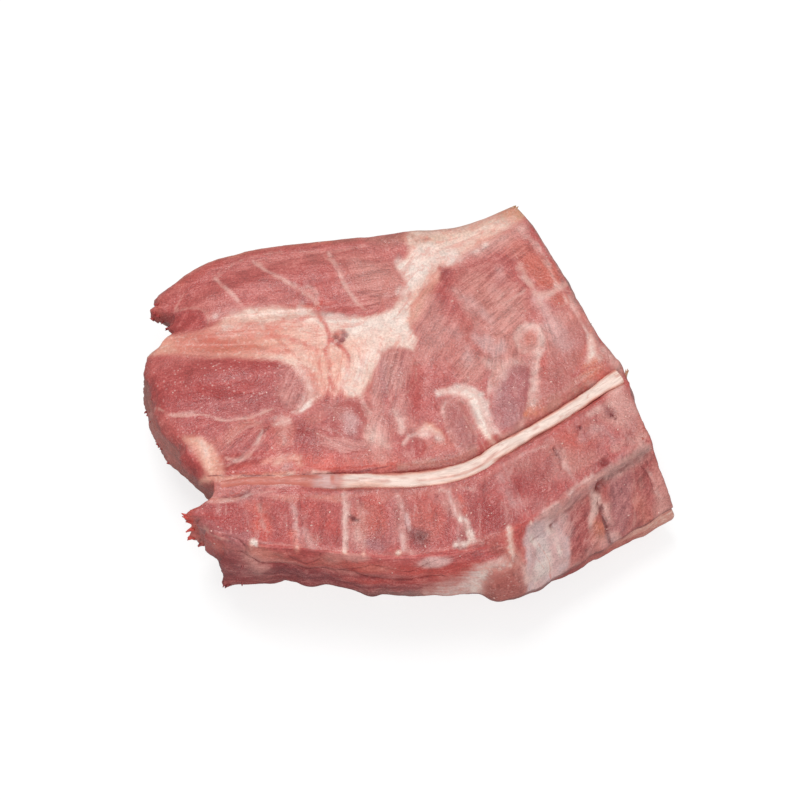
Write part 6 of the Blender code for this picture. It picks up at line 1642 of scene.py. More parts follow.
# spongy sawn bone: grains, open pores and height
def boneGroup():
    tree, given, out = newGroup("spongyBone", ("Place",), ("Grain", "Pore", "Height"))
    bent = wire(tree, "ShaderNodeVectorMath", {0: given["Place"], 1: noiseVector(tree, given["Place"], 0.5)},
                operation="ADD")
    cells = wire(tree, "ShaderNodeTexVoronoi", {"Vector": bent, "Scale": 0.95, "Randomness": 1.0}, "Distance")
    grain = noise(tree, given["Place"], 0.75, 3.0, 0.3)
    tree.links.new(grain, out["Grain"])
    pore = times(tree, between(tree, cells, 0.34, 0.12), between(tree, grain, 0.42, 0.6))
    tree.links.new(pore, out["Pore"])
    tree.links.new(minus(tree, grain, times(tree, pore, 0.5)), out["Height"])
    return tree


def noiseVector(tree, vector, scale):
    colour = wire(tree, "ShaderNodeTexNoise", {"Vector": vector, "Scale": scale, "Detail": 1.0}, "Color")
    return wire(tree, "ShaderNodeVectorMath", {0: colour, 1: (0.5, 0.5, 0.5)}, operation="SUBTRACT")


# roughness of a moist surface with drier and wetter places
def wetGroup():
    tree, given, out = newGroup("wetSpots", ("Place", "Dry"), ("Roughness",))
    spots = noise(tree, given["Place"], 0.6, 3.0)
    broad = noise(tree, given["Place"], 0.06, 2.0)
    wet = calc(tree, "MULTIPLY_ADD", minus(tree, spots, 0.5), 0.6, given["Dry"])
    wet = calc(tree, "MULTIPLY_ADD", minus(tree, broad, 0.5), 0.3, wet)
    tree.links.new(wire(tree, "ShaderNodeClamp", {"Value": wet, "Min": 0.14, "Max": 0.8}), out["Roughness"])
    return tree


groups = {"fibre": fibreGroup(), "edge": edgeGroup(), "stroke": strokeGroup(), "bone": boneGroup(),
          "wet": wetGroup()}


def newMaterial(name):
    material = bpy.data.materials.new(name)
    material.use_nodes = True
    tree = material.node_tree
    tree.nodes.clear()
    shader = tree.nodes.new("ShaderNodeBsdfPrincipled")
    end = tree.nodes.new("ShaderNodeOutputMaterial")
    tree.links.new(shader.outputs[0], end.inputs["Surface"])
    coordinates = wire(tree, "ShaderNodeTexCoord", output="Object")
    place = stretched(tree, coordinates, (1000.0, 1000.0, 1000.0))
    return material, tree, shader, place


def addBump(tree, shader, height, strength, distance):
    bump = wire(tree, "ShaderNodeBump", {"Height": height, "Strength": strength, "Distance": distance})
    tree.links.new(bump, shader.inputs["Normal"])


def tinted(tree, amount, colour, tint):
    return blendColour(tree, amount, colour, opened(fleshLook[tint]))


fleshLook = {
    "film": (0.68, 0.330, 0.290), "wisp": (0.76, 0.430, 0.370), "line": (0.72, 0.360, 0.300),
    # dark is painted shade in the clefts and the dark of the spots
    "dark": (0.19, 0.022, 0.024), "vein": (0.66, 0.155, 0.110), "blush": (0.76, 0.270, 0.205),
    # the pale pink of the lean's specks is painted wet glint; grain, on the next line, is painted glint on
    # bone and also the pale of its saw smears
    "pearl": (0.93, 0.720, 0.630), "edge": (0.64, 0.190, 0.150), "glint": (0.85, 0.55, 0.50),
    "pore": (0.22, 0.030, 0.030), "grain": (0.70, 0.330, 0.300),
    "leanDry": 0.33, "fatDry": 0.38, "specular": 0.41, "bump": 0.9, "bumpDistance": 0.0006,
}


def fleshMaterial():
    material, tree, shader, place = newMaterial("wetMeat")
    tone, pale = attribute(tree, "tone", "Color"), attribute(tree, "pale", "Color")
    fibre = attribute(tree, "fibre", "Vector")
    streak, bony = attribute(tree, "streak"), attribute(tree, "bony")
    grain = useGroup(tree, groups["fibre"], {"Fibre": fibre, "Place": place, "Streak": streak})
    sponge = useGroup(tree, groups["bone"], {"Place": place})
    lean = blendColour(tree, 1.0, tone, plus(tree, grain["Tone"], 1.0), "MULTIPLY")
    lean = tinted(tree, times(tree, between(tree, grain["Tone"], 0.0, 0.42), 0.3), lean, "film")
    lean = tinted(tree, times(tree, grain["Wisp"], 0.5), lean, "wisp")
    # the milky film: the membrane over the muscles, with painted sheen of its wet surface
    filmAndSheenShare = times(tree, attribute(tree, "film"), between(tree, grain["Tone"], -0.25, 0.3, 0.25, 0.9))
    lean = tinted(tree, filmAndSheenShare, lean, "film")
    # painted highlight: pale specks for glints on the wet lean
    glint = times(tree, grain["Glints"], attribute(tree, "glintSpeckle"))
    lean = tinted(tree, times(tree, glint, 0.55), lean, "glint")
    bone = blendColour(tree, 1.0, tone, between(tree, sponge["Grain"], 0.3, 0.72, 0.84, 1.16), "MULTIPLY")
    bone = tinted(tree, times(tree, sponge["Pore"], 0.4), bone, "pore")
    # pale flecks on the bone: its pinker trabeculae, also painted as wet glints
    boneFleckAndGlintShare = times(tree, between(tree, sponge["Grain"], 0.57, 0.74),
                      between(tree, noise(tree, place, 0.09, 2.0), 0.4, 0.6, 0.12, 0.7))
    bone = tinted(tree, boneFleckAndGlintShare, bone, "grain")
    smear = noise(tree, stretched(tree, place, (0.30, 0.07, 0.2)), 1.0, 4.0, 0.6)
    bone = tinted(tree, between(tree, smear, 0.55, 0.72, 0.0, 0.45), bone, "grain")
    bone = tinted(tree, between(tree, smear, 0.45, 0.3, 0.0, 0.4), bone, "pore")
    lean = blendColour(tree, bony, lean, bone)
    edge = useGroup(tree, groups["edge"], {"Depth": attribute(tree, "fatDepth"), "Place": place,
                                           "Fibre": fibre, "Wander": 2.0, "Soft": 1.8})
    near = between(tree, edge["Depth"], -3.0, -0.2)
    lean = tinted(tree, times(tree, near, 0.35), lean, "edge")
    shade = noise(tree, place, 0.22, 3.0, 0.4)
    band = noise(tree, stretched(tree, fibre, (0.05, 0.30, 0.2)), 1.0, 3.0, 0.8)
    fat = blendColour(tree, 1.0, pale, between(tree, shade, 0.25, 0.75, 0.86, 1.06), "MULTIPLY")
    clouds = noise(tree, place, 0.11, 5.0, 0.8, 0.62)
    green = wire(tree, "ShaderNodeSeparateColor", {0: pale}, "Green")
    ruddy = times(tree, between(tree, clouds, 0.46, 0.68, 0.0, 0.6),
                  between(tree, green, 0.35, 0.66, 1.0, 0.3))
    fat = tinted(tree, ruddy, fat, "blush")
    crumbsAndGlints = noise(tree, place, 0.85, 3.0, 0.4)
    flecks = noise(tree, place, 0.3, 4.0, 1.2, 0.6)
    fat = tinted(tree, between(tree, flecks, 0.52, 0.66, 0.0, 0.35), fat, "pearl")
    fat = tinted(tree, between(tree, flecks, 0.46, 0.34, 0.0, 0.4), fat, "blush")
    fat = blendColour(tree, 1.0, fat, between(tree, crumbsAndGlints, 0.3, 0.7, 0.87, 1.10), "MULTIPLY")
    blush = times(tree, between(tree, band, 0.46, 0.66), between(tree, shade, 0.3, 0.6, 0.3, 0.75))
    fat = tinted(tree, times(tree, blush, calc(tree, "MULTIPLY_ADD", streak, 0.9, 0.15)), fat, "vein")
    rosy = times(tree, between(tree, edge["Depth"], 2.2, 0.0), 0.3)
    fat = tinted(tree, rosy, fat, "edge")
    colour = blendColour(tree, edge["Mask"], lean, fat)
    # pale lines, red veins, and painted shade along the clefts
    for name, tint in (("line", "line"), ("vein", "vein"), ("cut", "dark")):
        drawn = useGroup(tree, groups["stroke"], {"Side": attribute(tree, name + "Side"), "Place": place,
                                                  "Strength": attribute(tree, name + "Strength")})
        colour = tinted(tree, drawn["Mask"], colour, tint)
    colour = tinted(tree, attribute(tree, "spot"), colour, "dark")
    tree.links.new(colour, shader.inputs["Base Color"])
    shader.inputs["Specular IOR Level"].default_value = fleshLook["specular"]
    dry = between(tree, edge["Mask"], 0.0, 1.0, fleshLook["leanDry"], fleshLook["fatDry"])
    wet = useGroup(tree, groups["wet"], {"Place": place, "Dry": dry})
    tree.links.new(wet["Roughness"], shader.inputs["Roughness"])
    softer = between(tree, edge["Mask"], 0.0, 1.0, 1.0, 0.45)
    high = blendFloat(tree, bony, grain["Height"], sponge["Height"])
    addBump(tree, shader, times(tree, high, softer), fleshLook["bump"], fleshLook["bumpDistance"])
    return material


nerveLook = {"vein": (0.70, 0.26, 0.19), "dry": 0.42, "specular": 0.4, "bump": 0.5, "bumpDistance": 0.0004}


def nerveMaterial():
    material, tree, shader, place = newMaterial("nerveSheath")
    shade = noise(tree, place, 0.3, 3.0, 0.5)
    threads = stretched(tree, attribute(tree, "fibre", "Vector"), (0.10, 0.55, 0.4))
    threads = noise(tree, threads, 1.0, 4.0, 1.4)
    uneven = between(tree, threads, 0.3, 0.7, 0.86, 1.08)
    colour = blendColour(tree, 1.0, attribute(tree, "tone", "Color"), uneven, "MULTIPLY")
    veinShare = times(tree, between(tree, threads, 0.45, 0.36), between(tree, shade, 0.45, 0.62, 0.0, 0.4))
    colour = blendColour(tree, veinShare, colour, opened(nerveLook["vein"]))
    tree.links.new(colour, shader.inputs["Base Color"])
    shader.inputs["Specular IOR Level"].default_value = nerveLook["specular"]
    wet = useGroup(tree, groups["wet"], {"Place": place, "Dry": nerveLook["dry"]})
    tree.links.new(wet["Roughness"], shader.inputs["Roughness"])
    addBump(tree, shader, threads, nerveLook["bump"], nerveLook["bumpDistance"])
    return material


materials = {"flesh": fleshMaterial(), "nerve": nerveMaterial()}


# meat with its fat seam, fat patch, arch ends and ribs

def spotFields(x, y, table):
    strength, depth = np.zeros(len(x)), np.zeros(len(x))
    for cx, cy, radius, power, deep in table:
        inside = smoothStep((1.0 - np.hypot(x - cx, y - cy) / radius) * 2.2)
        strength, depth = np.maximum(strength, inside * power), np.maximum(depth, inside * deep)
    return strength, depth


# the row of sawn bones, in mm: its width, the strip beside the canal that stays free, its discs and dots
sawnRow = {
    "width": 31, "canalStrip": 5.6, "wander": 1.2, "canalWander": 2.5, "lowest": 0.79,
    "discWander": 0.9, "discHalf": 0.8, "discUneven": 0.45, "discFades": 0.5, "rimAway": 2.4, "rimHalf": 1.3,
    "dotSquash": 0.8, "dotRagged": 0.8, "dotSharp": 1.8, "discGives": 0.8, "canalGives": 0.6, "archBony": 0.7,
}


# colour of the sawn row, how bony each point is, and the height of its discs and dots
def rowPaint(points, station, row, level, lean):
    wander = sawnRow["wander"]
    middle = rowKnots()[1][1:]
    x, y = points[:, 0] + cloud(points, 9, 61) * wander, points[:, 1] + cloud(points, 9, 62) * wander
    across = (row - 1.0) * sawnRow["width"]
    toStrip = sawnRow["width"] - sawnRow["canalStrip"] - across
    onRow = ramp(across, "rowStart") * ramp(toStrip, "rowEnd") * (row > 1) * (row < 2)
    fromHead = (station - middle[0]) * collar["length"]
    onRow = onRow * ramp(fromHead, "rowHead") * (level > sawnRow["lowest"])
    colour = toned("bone", points).astype(float)
    dusky = ramp(station, "duskyBone") * ramp(cloud(points, 12, 60), "duskyMottled")
    colour = shaded(colour, "duskyBone", dusky)
    colour = clouded(points, colour, paintLook["boneClouds"])
    colour = patched(x, y, colour, bonePatches)
    canalSide = ramp(across + cloud(points, 8, 65) * sawnRow["canalWander"], "canalSide")
    colour = shaded(colour, "creamSide", canalSide * (1 - ramp(station, "creamSideEnd")))
    colour = shaded(colour, "salmonSide", canalSide * (1 - ramp(station, "salmonSideEnd")))
    ridge = np.zeros(len(x))
    for k, seen in enumerate(discSeen):
        centre = (middle[2 * k + 1] + middle[2 * k + 2]) / 2
        off = (station - centre) * collar["length"]
        off = off + cloud(points, 6, 70 + k) * sawnRow["discWander"] + cloud(points, 22, 80 + k)
        wide = sawnRow["discHalf"] + sawnRow["discUneven"] * cloud(points, 5, 90 + k)
        line = np.exp(-(off / wide) ** 2) * smoothStep(cloud(points, 7, 100 + k) * 1.3 + 0.75)
        line = line * seen * (1 - sawnRow["discFades"] * ramp(across, "discEnd"))
        colour = shaded(colour, "disc", line)
        rim = (np.abs(off) - sawnRow["rimAway"]) / sawnRow["rimHalf"]
        beside = np.exp(-rim ** 2) * smoothStep(cloud(points, 8, 110 + k))
        colour = shaded(colour, "besideDisc", beside * seen)
        ridge = np.maximum(ridge, line)
    dots = np.zeros(len(x))
    for cx, cy, radius in discDots:
        away = np.hypot(points[:, 0] - cx, (points[:, 1] - cy) * sawnRow["dotSquash"])
        away = away + cloud(points, 2.6, 120) * sawnRow["dotRagged"]
        dots = np.maximum(dots, np.exp(-(away / radius) ** 2 * sawnRow["dotSharp"]))
    onRow = np.maximum(onRow, 0)
    mixed = lean + (colour - lean) * onRow[:, None]
    mixed = mixTone(mixed, "pinkCream", np.clip(dots * 1.3, 0, 1) * 0.8)
    mixed = mixTone(mixed, "white", np.clip(dots * 1.6 - 0.7, 0, 1) * 0.7)
    bony = onRow * (1 - sawnRow["discGives"] * ridge) * (1 - sawnRow["canalGives"] * canalSide)
    for place in archEnds:
        inside = ramp(archDepth(x, y, place), "archBony") * (level > 0.99)
        bony = np.maximum(bony, inside * sawnRow["archBony"])
    return mixed, bony, dots, ridge * onRow


# where the torn head rim stands out or is notched: y, half width, how far
headTears = (
    (28, 4.5, -6.5), (42, 8, -2.5), (-8, 22, -3), (-44, 12, -2.8), (-67, 6, -8), (-95, 8, -2), (38, 2.6, 2.4),
    (44, 1.5, -1.2), (49, 2, 1.6), (55, 1.6, -1), (17, 5, 1.6), (-38, 4, -1), (-52, 3, -1), (-84, 2, 1.6),
    (-90, 1.6, 2), (-96, 2.4, -1.4),
)
# and how far the wall under that rim draws in
headPulls = ((50, 12, 11), (-68, 10, 9), (-52, 10, 7))


# how far the torn head rim stands out, in millimetres towards -X
def tornHead(points, share, head, level):
    y = points[:, 1]
    out = sum(amount * np.exp(-((y - at) / half) ** 2) for at, half, amount in headTears)
    ragged = cloud(points * (0.2, 1, 0.7), 3.4, 130) + cloud(points * (0.3, 1, 1), 1.7, 131) * 0.55
    near = np.maximum(smoothStep((9.0 - share * collar["length"]) / 7.0), head)
    tailGrowth = 3.2 * np.exp(-((y - 4) / 11) ** 2) * smoothStep((share - 0.95) / 0.04)
    below = sum(amount * np.exp(-((y - at) / half) ** 2) for at, half, amount in headPulls)
    out = out - below * smoothStep((1.0 - level) / 0.35) * head
    return ((out + ragged) * near - tailGrowth) * smoothStep(points[:, 2] / 10.0)


# way over the surface from the bones' edge down the throat side, 0 elsewhere
def wayDown(lattice, ringIndex, points):
    p = lattice["points"]
    edge = np.argmax(lattice["row"][0] >= 1.0)
    steps = np.linalg.norm(np.diff(p[:, :edge + 1], axis=1), axis=2)
    down = np.zeros(p.shape[:2])
    down[:, :edge] = np.cumsum(steps[:, ::-1], axis=1)[:, ::-1]
    top = down.ravel()
    low = top[ringIndex]
    count = len(points) - len(top)
    wall = np.tile(low, count // len(low))
    fall = np.tile(p.reshape(-1, 3)[ringIndex, 2], count // len(low)) - points[len(top):, 2]
    return np.concatenate([top, np.where(wall > 0, wall + fall, 0.0)])


def buildFlesh():
    lattice = collarLattice()
    block = closedBlock(lattice)
    ni, nj = block["shape"]
    points, level = block["vertices"], block["level"]
    ringIndex = borderRing(ni, nj)
    repeats = weave["wallLevels"] - 1
    flat = [lattice[key].ravel() for key in ("share", "row", "station")]
    share, row, station = (np.concatenate([field, np.tile(field[ringIndex], repeats)]) for field in flat)
    print("lattice", ni, "x", nj, "points", len(points))
    down = wayDown(lattice, ringIndex, points)
    paint = fleshPaint(points, level, share, row, station, down)
    lean, pale, depth = wallPaint(points, level, paint, share, row)
    fibre, streak, film, glintSpeckle = fibres(points, paint["x"], paint["y"], paint["wall"])
    paint["fibres"], paint["streak"] = fibre, streak
    px, py = points[:, 0], points[:, 1]
    top = (level > 0.97) * 1.0
    drawn = {"line": strokes(px, py, paleLines), "vein": strokes(px, py, veinLines),
             "cut": strokes(px, py, shadedClefts)}
    # painted shade of the clefts: on the throat side the nearer of both tables is taken
    overEdge = (down > -0.5) * (down < 60) * (row < 1.02) * (share < 0.66)
    side, strength = drawn["cut"]
    throatSide, throatStrength = strokes(px, down, throatShadedClefts)
    better = (overEdge > 0) & (np.abs(throatSide) < np.abs(side))
    drawn["cut"] = (np.where(better, throatSide, side), np.where(better, throatStrength, strength))
    grooves = np.maximum(grooved(px, py, shadedClefts), overEdge * grooved(px, down, throatShadedClefts))
    spot, spotDepth = spotFields(px, py, darkSpots + boneHoles)
    height = relief(points, paint, depth, (grooves + spotDepth) * top, drawn["line"], level, row)
    quads = np.vstack([block["top"], block["walls"]])
    points = points + faceNormals(points, quads) * height[:, None]
    points[:, 0] -= tornHead(points, share, paint["side"][2], level)
    points[:, 2] = np.maximum(points[:, 2], 0.0)
    block["vertices"] = points
    normals = faceNormals(points, quads)
    one = np.ones(len(lean))
    values = {"tone": np.column_stack([lean, one]), "pale": np.column_stack([pale, one]), "fibre": fibre,
              "streak": streak, "film": film * (1 - paint["wall"]), "glintSpeckle": glintSpeckle * top,
              "bony": paint["bony"], "fatDepth": np.clip(depth, -30, 30), "spot": spot * top}
    for name, (side, strength) in drawn.items():
        values[name + "Side"], values[name + "Strength"] = side, strength * top
    # bits of bone on the sawn bones, and pale specks as painted wet glints where the lean is speckled and
    # thinly all over the top
    crumbAndGlintShare = values["bony"] * smoothStep(cloud(points, 9, 140) * 1.4 + 0.3) * 0.9
    crumbAndGlintShare = np.maximum(crumbAndGlintShare, values["glintSpeckle"] * 0.35 * smoothStep(cloud(points, 7, 141) + 0.2))
    crumbAndGlintShare = crumbAndGlintShare * (1 - (depth > 0)) + 0.04 * top * (row < 2.9)
    pieces = letInPieces()
    moved = {**lattice, "points": points[:ni * nj].reshape(ni, nj, 3)}
    built, everything, source = cutApart(block, cellOwners(moved, pieces), pieces)
    things = {}
    for name, (faces, outer) in built.items():
        things[name] = fleshObject(name, faces, outer, everything, source, normals, values)
    print("meat", len(things["meat"].data.polygons), "faces,", len(things), "pieces")
    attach(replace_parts(things["meat"], "meat"), "root")
    for name, node, slotName, *_ in pieces:
        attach(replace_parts(things[name], node), "root")
    return {"rows": ni, "columns": nj, "points": points, "crumbsAndGlints": crumbAndGlintShare}


def plainMaterial(name, colour, rough):
    material, tree, shader, place = newMaterial(name)
    shade = between(tree, noise(tree, place, 0.5, 2.0), 0.3, 0.7, 0.8, 1.15)
    tree.links.new(blendColour(tree, 1.0, colour(tree), shade, "MULTIPLY"), shader.inputs["Base Color"])
    shader.inputs["Roughness"].default_value = rough
    return material


def geoTree(name, inputs):
    tree = bpy.data.node_groups.new(name, "GeometryNodeTree")
    tree.interface.new_socket("Geometry", in_out="INPUT", socket_type="NodeSocketGeometry")
    for socketName, kind in inputs:
        tree.interface.new_socket(socketName, in_out="INPUT", socket_type=kind)
    tree.interface.new_socket("Geometry", in_out="OUTPUT", socket_type="NodeSocketGeometry")
    return tree, tree.nodes.new("NodeGroupInput").outputs, tree.nodes.new("NodeGroupOutput").inputs


# runs the tree on base with its settings and leaves a plain mesh object
def madeByNodes(base, tree, settings, name):
    modifier = base.modifiers.new("build", "NODES")
    modifier.node_group = tree
    for item in tree.interface.items_tree:
        if item.item_type == "SOCKET" and item.in_out == "INPUT" and item.name in settings:
            modifier[item.identifier] = settings[item.name]
    bpy.context.view_layer.update()
    graph = bpy.context.evaluated_depsgraph_get()
    finished = base.evaluated_get(graph)
    mesh = bpy.data.meshes.new_from_object(finished, preserve_all_data_layers=True, depsgraph=graph)
    mesh.name = name
    base.modifiers.remove(modifier)
    bpy.data.objects.remove(base)
    return placed(name, mesh)


def finishTree(tree, out, mesh, material):
    mesh = wire(tree, "GeometryNodeSetShadeSmooth", {"Geometry": mesh, "Shade Smooth": True})
    mesh = wire(tree, "GeometryNodeRealizeInstances", {"Geometry": mesh})
    mesh = wire(tree, "GeometryNodeSetMaterial", {"Geometry": mesh, "Material": material})
    tree.links.new(mesh, out["Geometry"])
    return tree


# sweeps a round skin along a line of points by their girth, and roughens it
def sweptTree(name, material):
    tree, given, out = geoTree(name, (("Sides", "NodeSocketInt"), ("Uneven", "NodeSocketFloat"),
                                      ("Uneven Scale", "NodeSocketFloat"), ("Seed", "NodeSocketFloat")))
    curve = wire(tree, "GeometryNodeMeshToCurve", {"Mesh": given["Geometry"]})
    radius = wire(tree, "GeometryNodeInputNamedAttribute", {"Name": "girth"}, data_type="FLOAT")
    ring = wire(tree, "GeometryNodeCurvePrimitiveCircle", {"Resolution": given["Sides"], "Radius": 1.0})
    mesh = wire(tree, "GeometryNodeCurveToMesh", {"Curve": curve, "Profile Curve": ring, "Scale": radius,
                                                  "Fill Caps": True})
    place = wire(tree, "GeometryNodeInputPosition")
    inputs = {"Vector": place, "W": given["Seed"], "Scale": given["Uneven Scale"], "Detail": 2.0}
    field = wire(tree, "ShaderNodeTexNoise", inputs, noise_dimensions="4D")
    amount = times(tree, minus(tree, field, 0.5), given["Uneven"])
    push = wire(tree, "ShaderNodeVectorMath", {0: wire(tree, "GeometryNodeInputNormal"), "Scale": amount},
                operation="SCALE")
    mesh = wire(tree, "GeometryNodeSetPosition", {"Geometry": mesh, "Offset": push})
    return finishTree(tree, out, mesh, material)


# one mesh of separate lines of points, each point with its girth
def lineObject(name, chains, girths):
    points = np.vstack(chains)
    ends = np.cumsum([len(chain) for chain in chains])
    starts = np.delete(np.arange(len(points)), ends - 1)
    mesh = newMesh(name, points, [])
    mesh.edges.add(len(starts))
    mesh.edges.foreach_set("vertices", np.stack([starts, starts + 1], 1).ravel())
    setAttributes(mesh, {"girth": np.concatenate(girths) * mm})
    return placed(name, mesh)


# loose bits of bone and fat that the saw left, with pale specks painted as wet glints: how many a square
# metre at most, size in metres
crumbsAndGlints = {"density": 26000.0, "size": 0.00042, "least": 0.4, "most": 1.25, "seed": 11, "rough": 0.22,
          "colour": (0.84, 0.50, 0.44)}


def crumbAndGlintTree():
    tree, given, out = geoTree("crumbAndGlintScatter", (("Density", "NodeSocketFloat"), ("Size", "NodeSocketFloat"),
                                                ("Seed", "NodeSocketInt")))
    share = wire(tree, "GeometryNodeInputNamedAttribute", {"Name": "crumbsAndGlints"}, data_type="FLOAT")
    density = times(tree, share, given["Density"])
    scatter = tree.nodes.new("GeometryNodeDistributePointsOnFaces")
    tree.links.new(given["Geometry"], scatter.inputs["Mesh"])
    tree.links.new(density, scatter.inputs["Density"])
    tree.links.new(given["Seed"], scatter.inputs["Seed"])
    ball = wire(tree, "GeometryNodeMeshIcoSphere", {"Radius": 1.0, "Subdivisions": 1})
    limits = {2: crumbsAndGlints["least"], 3: crumbsAndGlints["most"], 8: given["Seed"]}
    girth = wire(tree, "FunctionNodeRandomValue", limits, 1)
    girth = times(tree, girth, given["Size"])
    long = wire(tree, "FunctionNodeRandomValue", {2: 0.8, 3: 2.2, 8: 5}, 1)
    scale = wire(tree, "ShaderNodeCombineXYZ", {0: times(tree, girth, long), 1: girth,
                                                2: times(tree, girth, 0.5)})
    inputs = {"Points": scatter.outputs["Points"], "Instance": ball, "Rotation": scatter.outputs["Rotation"],
              "Scale": scale}
    lumps = wire(tree, "GeometryNodeInstanceOnPoints", inputs)
    material = plainMaterial("sawCrumbsAndGlints", lambda t: opened(crumbsAndGlints["colour"]), crumbsAndGlints["rough"])
    return finishTree(tree, out, lumps, material)


def buildCrumbsAndGlints():
    ni, nj, points, share = surface["rows"], surface["columns"], surface["points"], surface["crumbsAndGlints"]
    mesh = newMesh("crumbAndGlintGround", points[:ni * nj], gridFaces(ni, nj))
    setAttributes(mesh, {"crumbsAndGlints": share[:ni * nj]})
    ground = placed("crumbAndGlintGround", mesh)
    thing = madeByNodes(ground, crumbAndGlintTree(), {"Density": crumbsAndGlints["density"], "Size": crumbsAndGlints["size"],
                                              "Seed": crumbsAndGlints["seed"]}, "looseCrumbsAndGlints")
    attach(thing, "root")
    print("crumbsAndGlints", len(thing.data.polygons), "faces")


# frayed ends on the torn rims: x, y, spread, heading, rise, length, half width, how many, tone
shreds = {
    "sides": 7, "steps": 8, "seed": 21, "uneven": 0.0007, "unevenSize": 420.0, "rough": 0.3,
    "clumps": (
        (-114, -80, 2.5, 185, 5, 4.5, 1.2, 8, "bright"), (-111, -73, 3, 160, 10, 2.5, 0.9, 4, "salmon"),
        (-110, -86, 2.5, 205, 0, 3, 1.0, 4, "rose"), (-136, 53, 1.5, 165, 5, 2.5, 1.0, 3, "rose"),
        (-138, 46, 2, 180, -5, 3, 1.0, 4, "rose"), (-134, 41, 1.5, 210, -5, 3, 0.9, 3, "deep"),
        (-95, -103, 2, 230, -20, 3, 1.0, 4, "throat"), (-86, -105, 3, 250, -20, 2.2, 0.9, 4, "throat"),
        (-140, -10, 7, 185, -20, 1.6, 0.8, 5, "rose"), (-136, -28, 7, 195, -20, 1.6, 0.8, 5, "rose"),
        (124.5, 6, 0.6, 80, 50, 5.5, 1.0, 3, "tan"), (109, 44, 6, 10, 10, 1.6, 0.6, 5, "grey"),
        (117, 25, 6, 5, 10, 1.6, 0.6, 5, "pinkMilk"), (65, 112, 2.5, 60, 10, 2.4, 1.0, 3, "tan"),
        (134, -32, 8, 0, 0, 1.6, 0.6, 5, "salmon"),
    ),
}


def buildShreds():
    rng = np.random.default_rng(shreds["seed"])
    points = surface["points"]
    chains, girths, shades = [], [], []
    for x, y, spread, heading, rise, length, half, count, tone in shreds["clumps"]:
        for _ in range(count):
            at = np.array([x, y]) + rng.uniform(-spread, spread, 2)
            away = np.hypot(points[:, 0] - at[0], points[:, 1] - at[1])
            base = points[np.argmin(away + (points[:, 2] < 20) * 50)]
            angle = math.radians(heading + rng.uniform(-25, 25))
            lift = math.radians(rise + rng.uniform(-15, 15))
            flat = math.cos(lift)
            way = np.array([math.cos(angle) * flat, math.sin(angle) * flat, math.sin(lift)])
            t = np.linspace(0, 1, shreds["steps"])
            long = length * rng.uniform(0.6, 1.15)
            chain = base + way * ((t - 0.3) * long)[:, None]
            chain = chain + rng.normal(0, 0.12 * length, 3) * (t ** 2)[:, None]
            chain[:, 2] -= t ** 2 * 0.15 * length
            chains.append(chain)
            girths.append(half * rng.uniform(0.7, 1.2) * (1.05 - 0.85 * t ** 1.3))
            shades.append(tones[tone])
    line = lineObject("shredLines", chains, girths)
    material = plainMaterial("tornShred", lambda t: attribute(t, "tone", "Color"), shreds["rough"])
    tree = sweptTree("shredSweep", material)
    thing = madeByNodes(line, tree, {"Sides": shreds["sides"], "Uneven": shreds["uneven"], "Seed": 3.0,
                                     "Uneven Scale": shreds["unevenSize"]}, "frayedShreds")
    places = np.array([v.co[:] for v in thing.data.vertices]) / mm + (*collar["planCentre"], 0.0)
    middles = np.array([chain.mean(0) for chain in chains])
    nearest = np.argmin(np.linalg.norm(places[:, None] - middles[None], axis=2), axis=1)
    setAttributes(thing.data, {"tone": np.column_stack([np.array(shades)[nearest], np.ones(len(places))])})
    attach(thing, "root")
    print("shreds", len(thing.data.polygons), "faces")


surface = buildFlesh()
buildCrumbsAndGlints()
buildShreds()


# nerve strand: a swept curve with an uneven skin

strand = {
    "start": 0.05, "stop": 0.992, "points": 240, "shiftHead": 2.0, "shiftTail": -0.8, "sunkHead": 1.1,
    "sunkTail": 2.5, "halfHead": 2.3, "halfTail": 4.6, "flat": 0.55, "sides": 28, "unevenSize": 160.0,
    "uneven": 0.0016, "seed": 5.0,
    "clouds": (("pinkCream", 0.6, 2.6, 83, 1.6, 0), ("cream", 0.6, 1.7, 89, 1.6, 0),
        ("salmon", 0.5, 1.2, 90, 2, -0.7)),
}


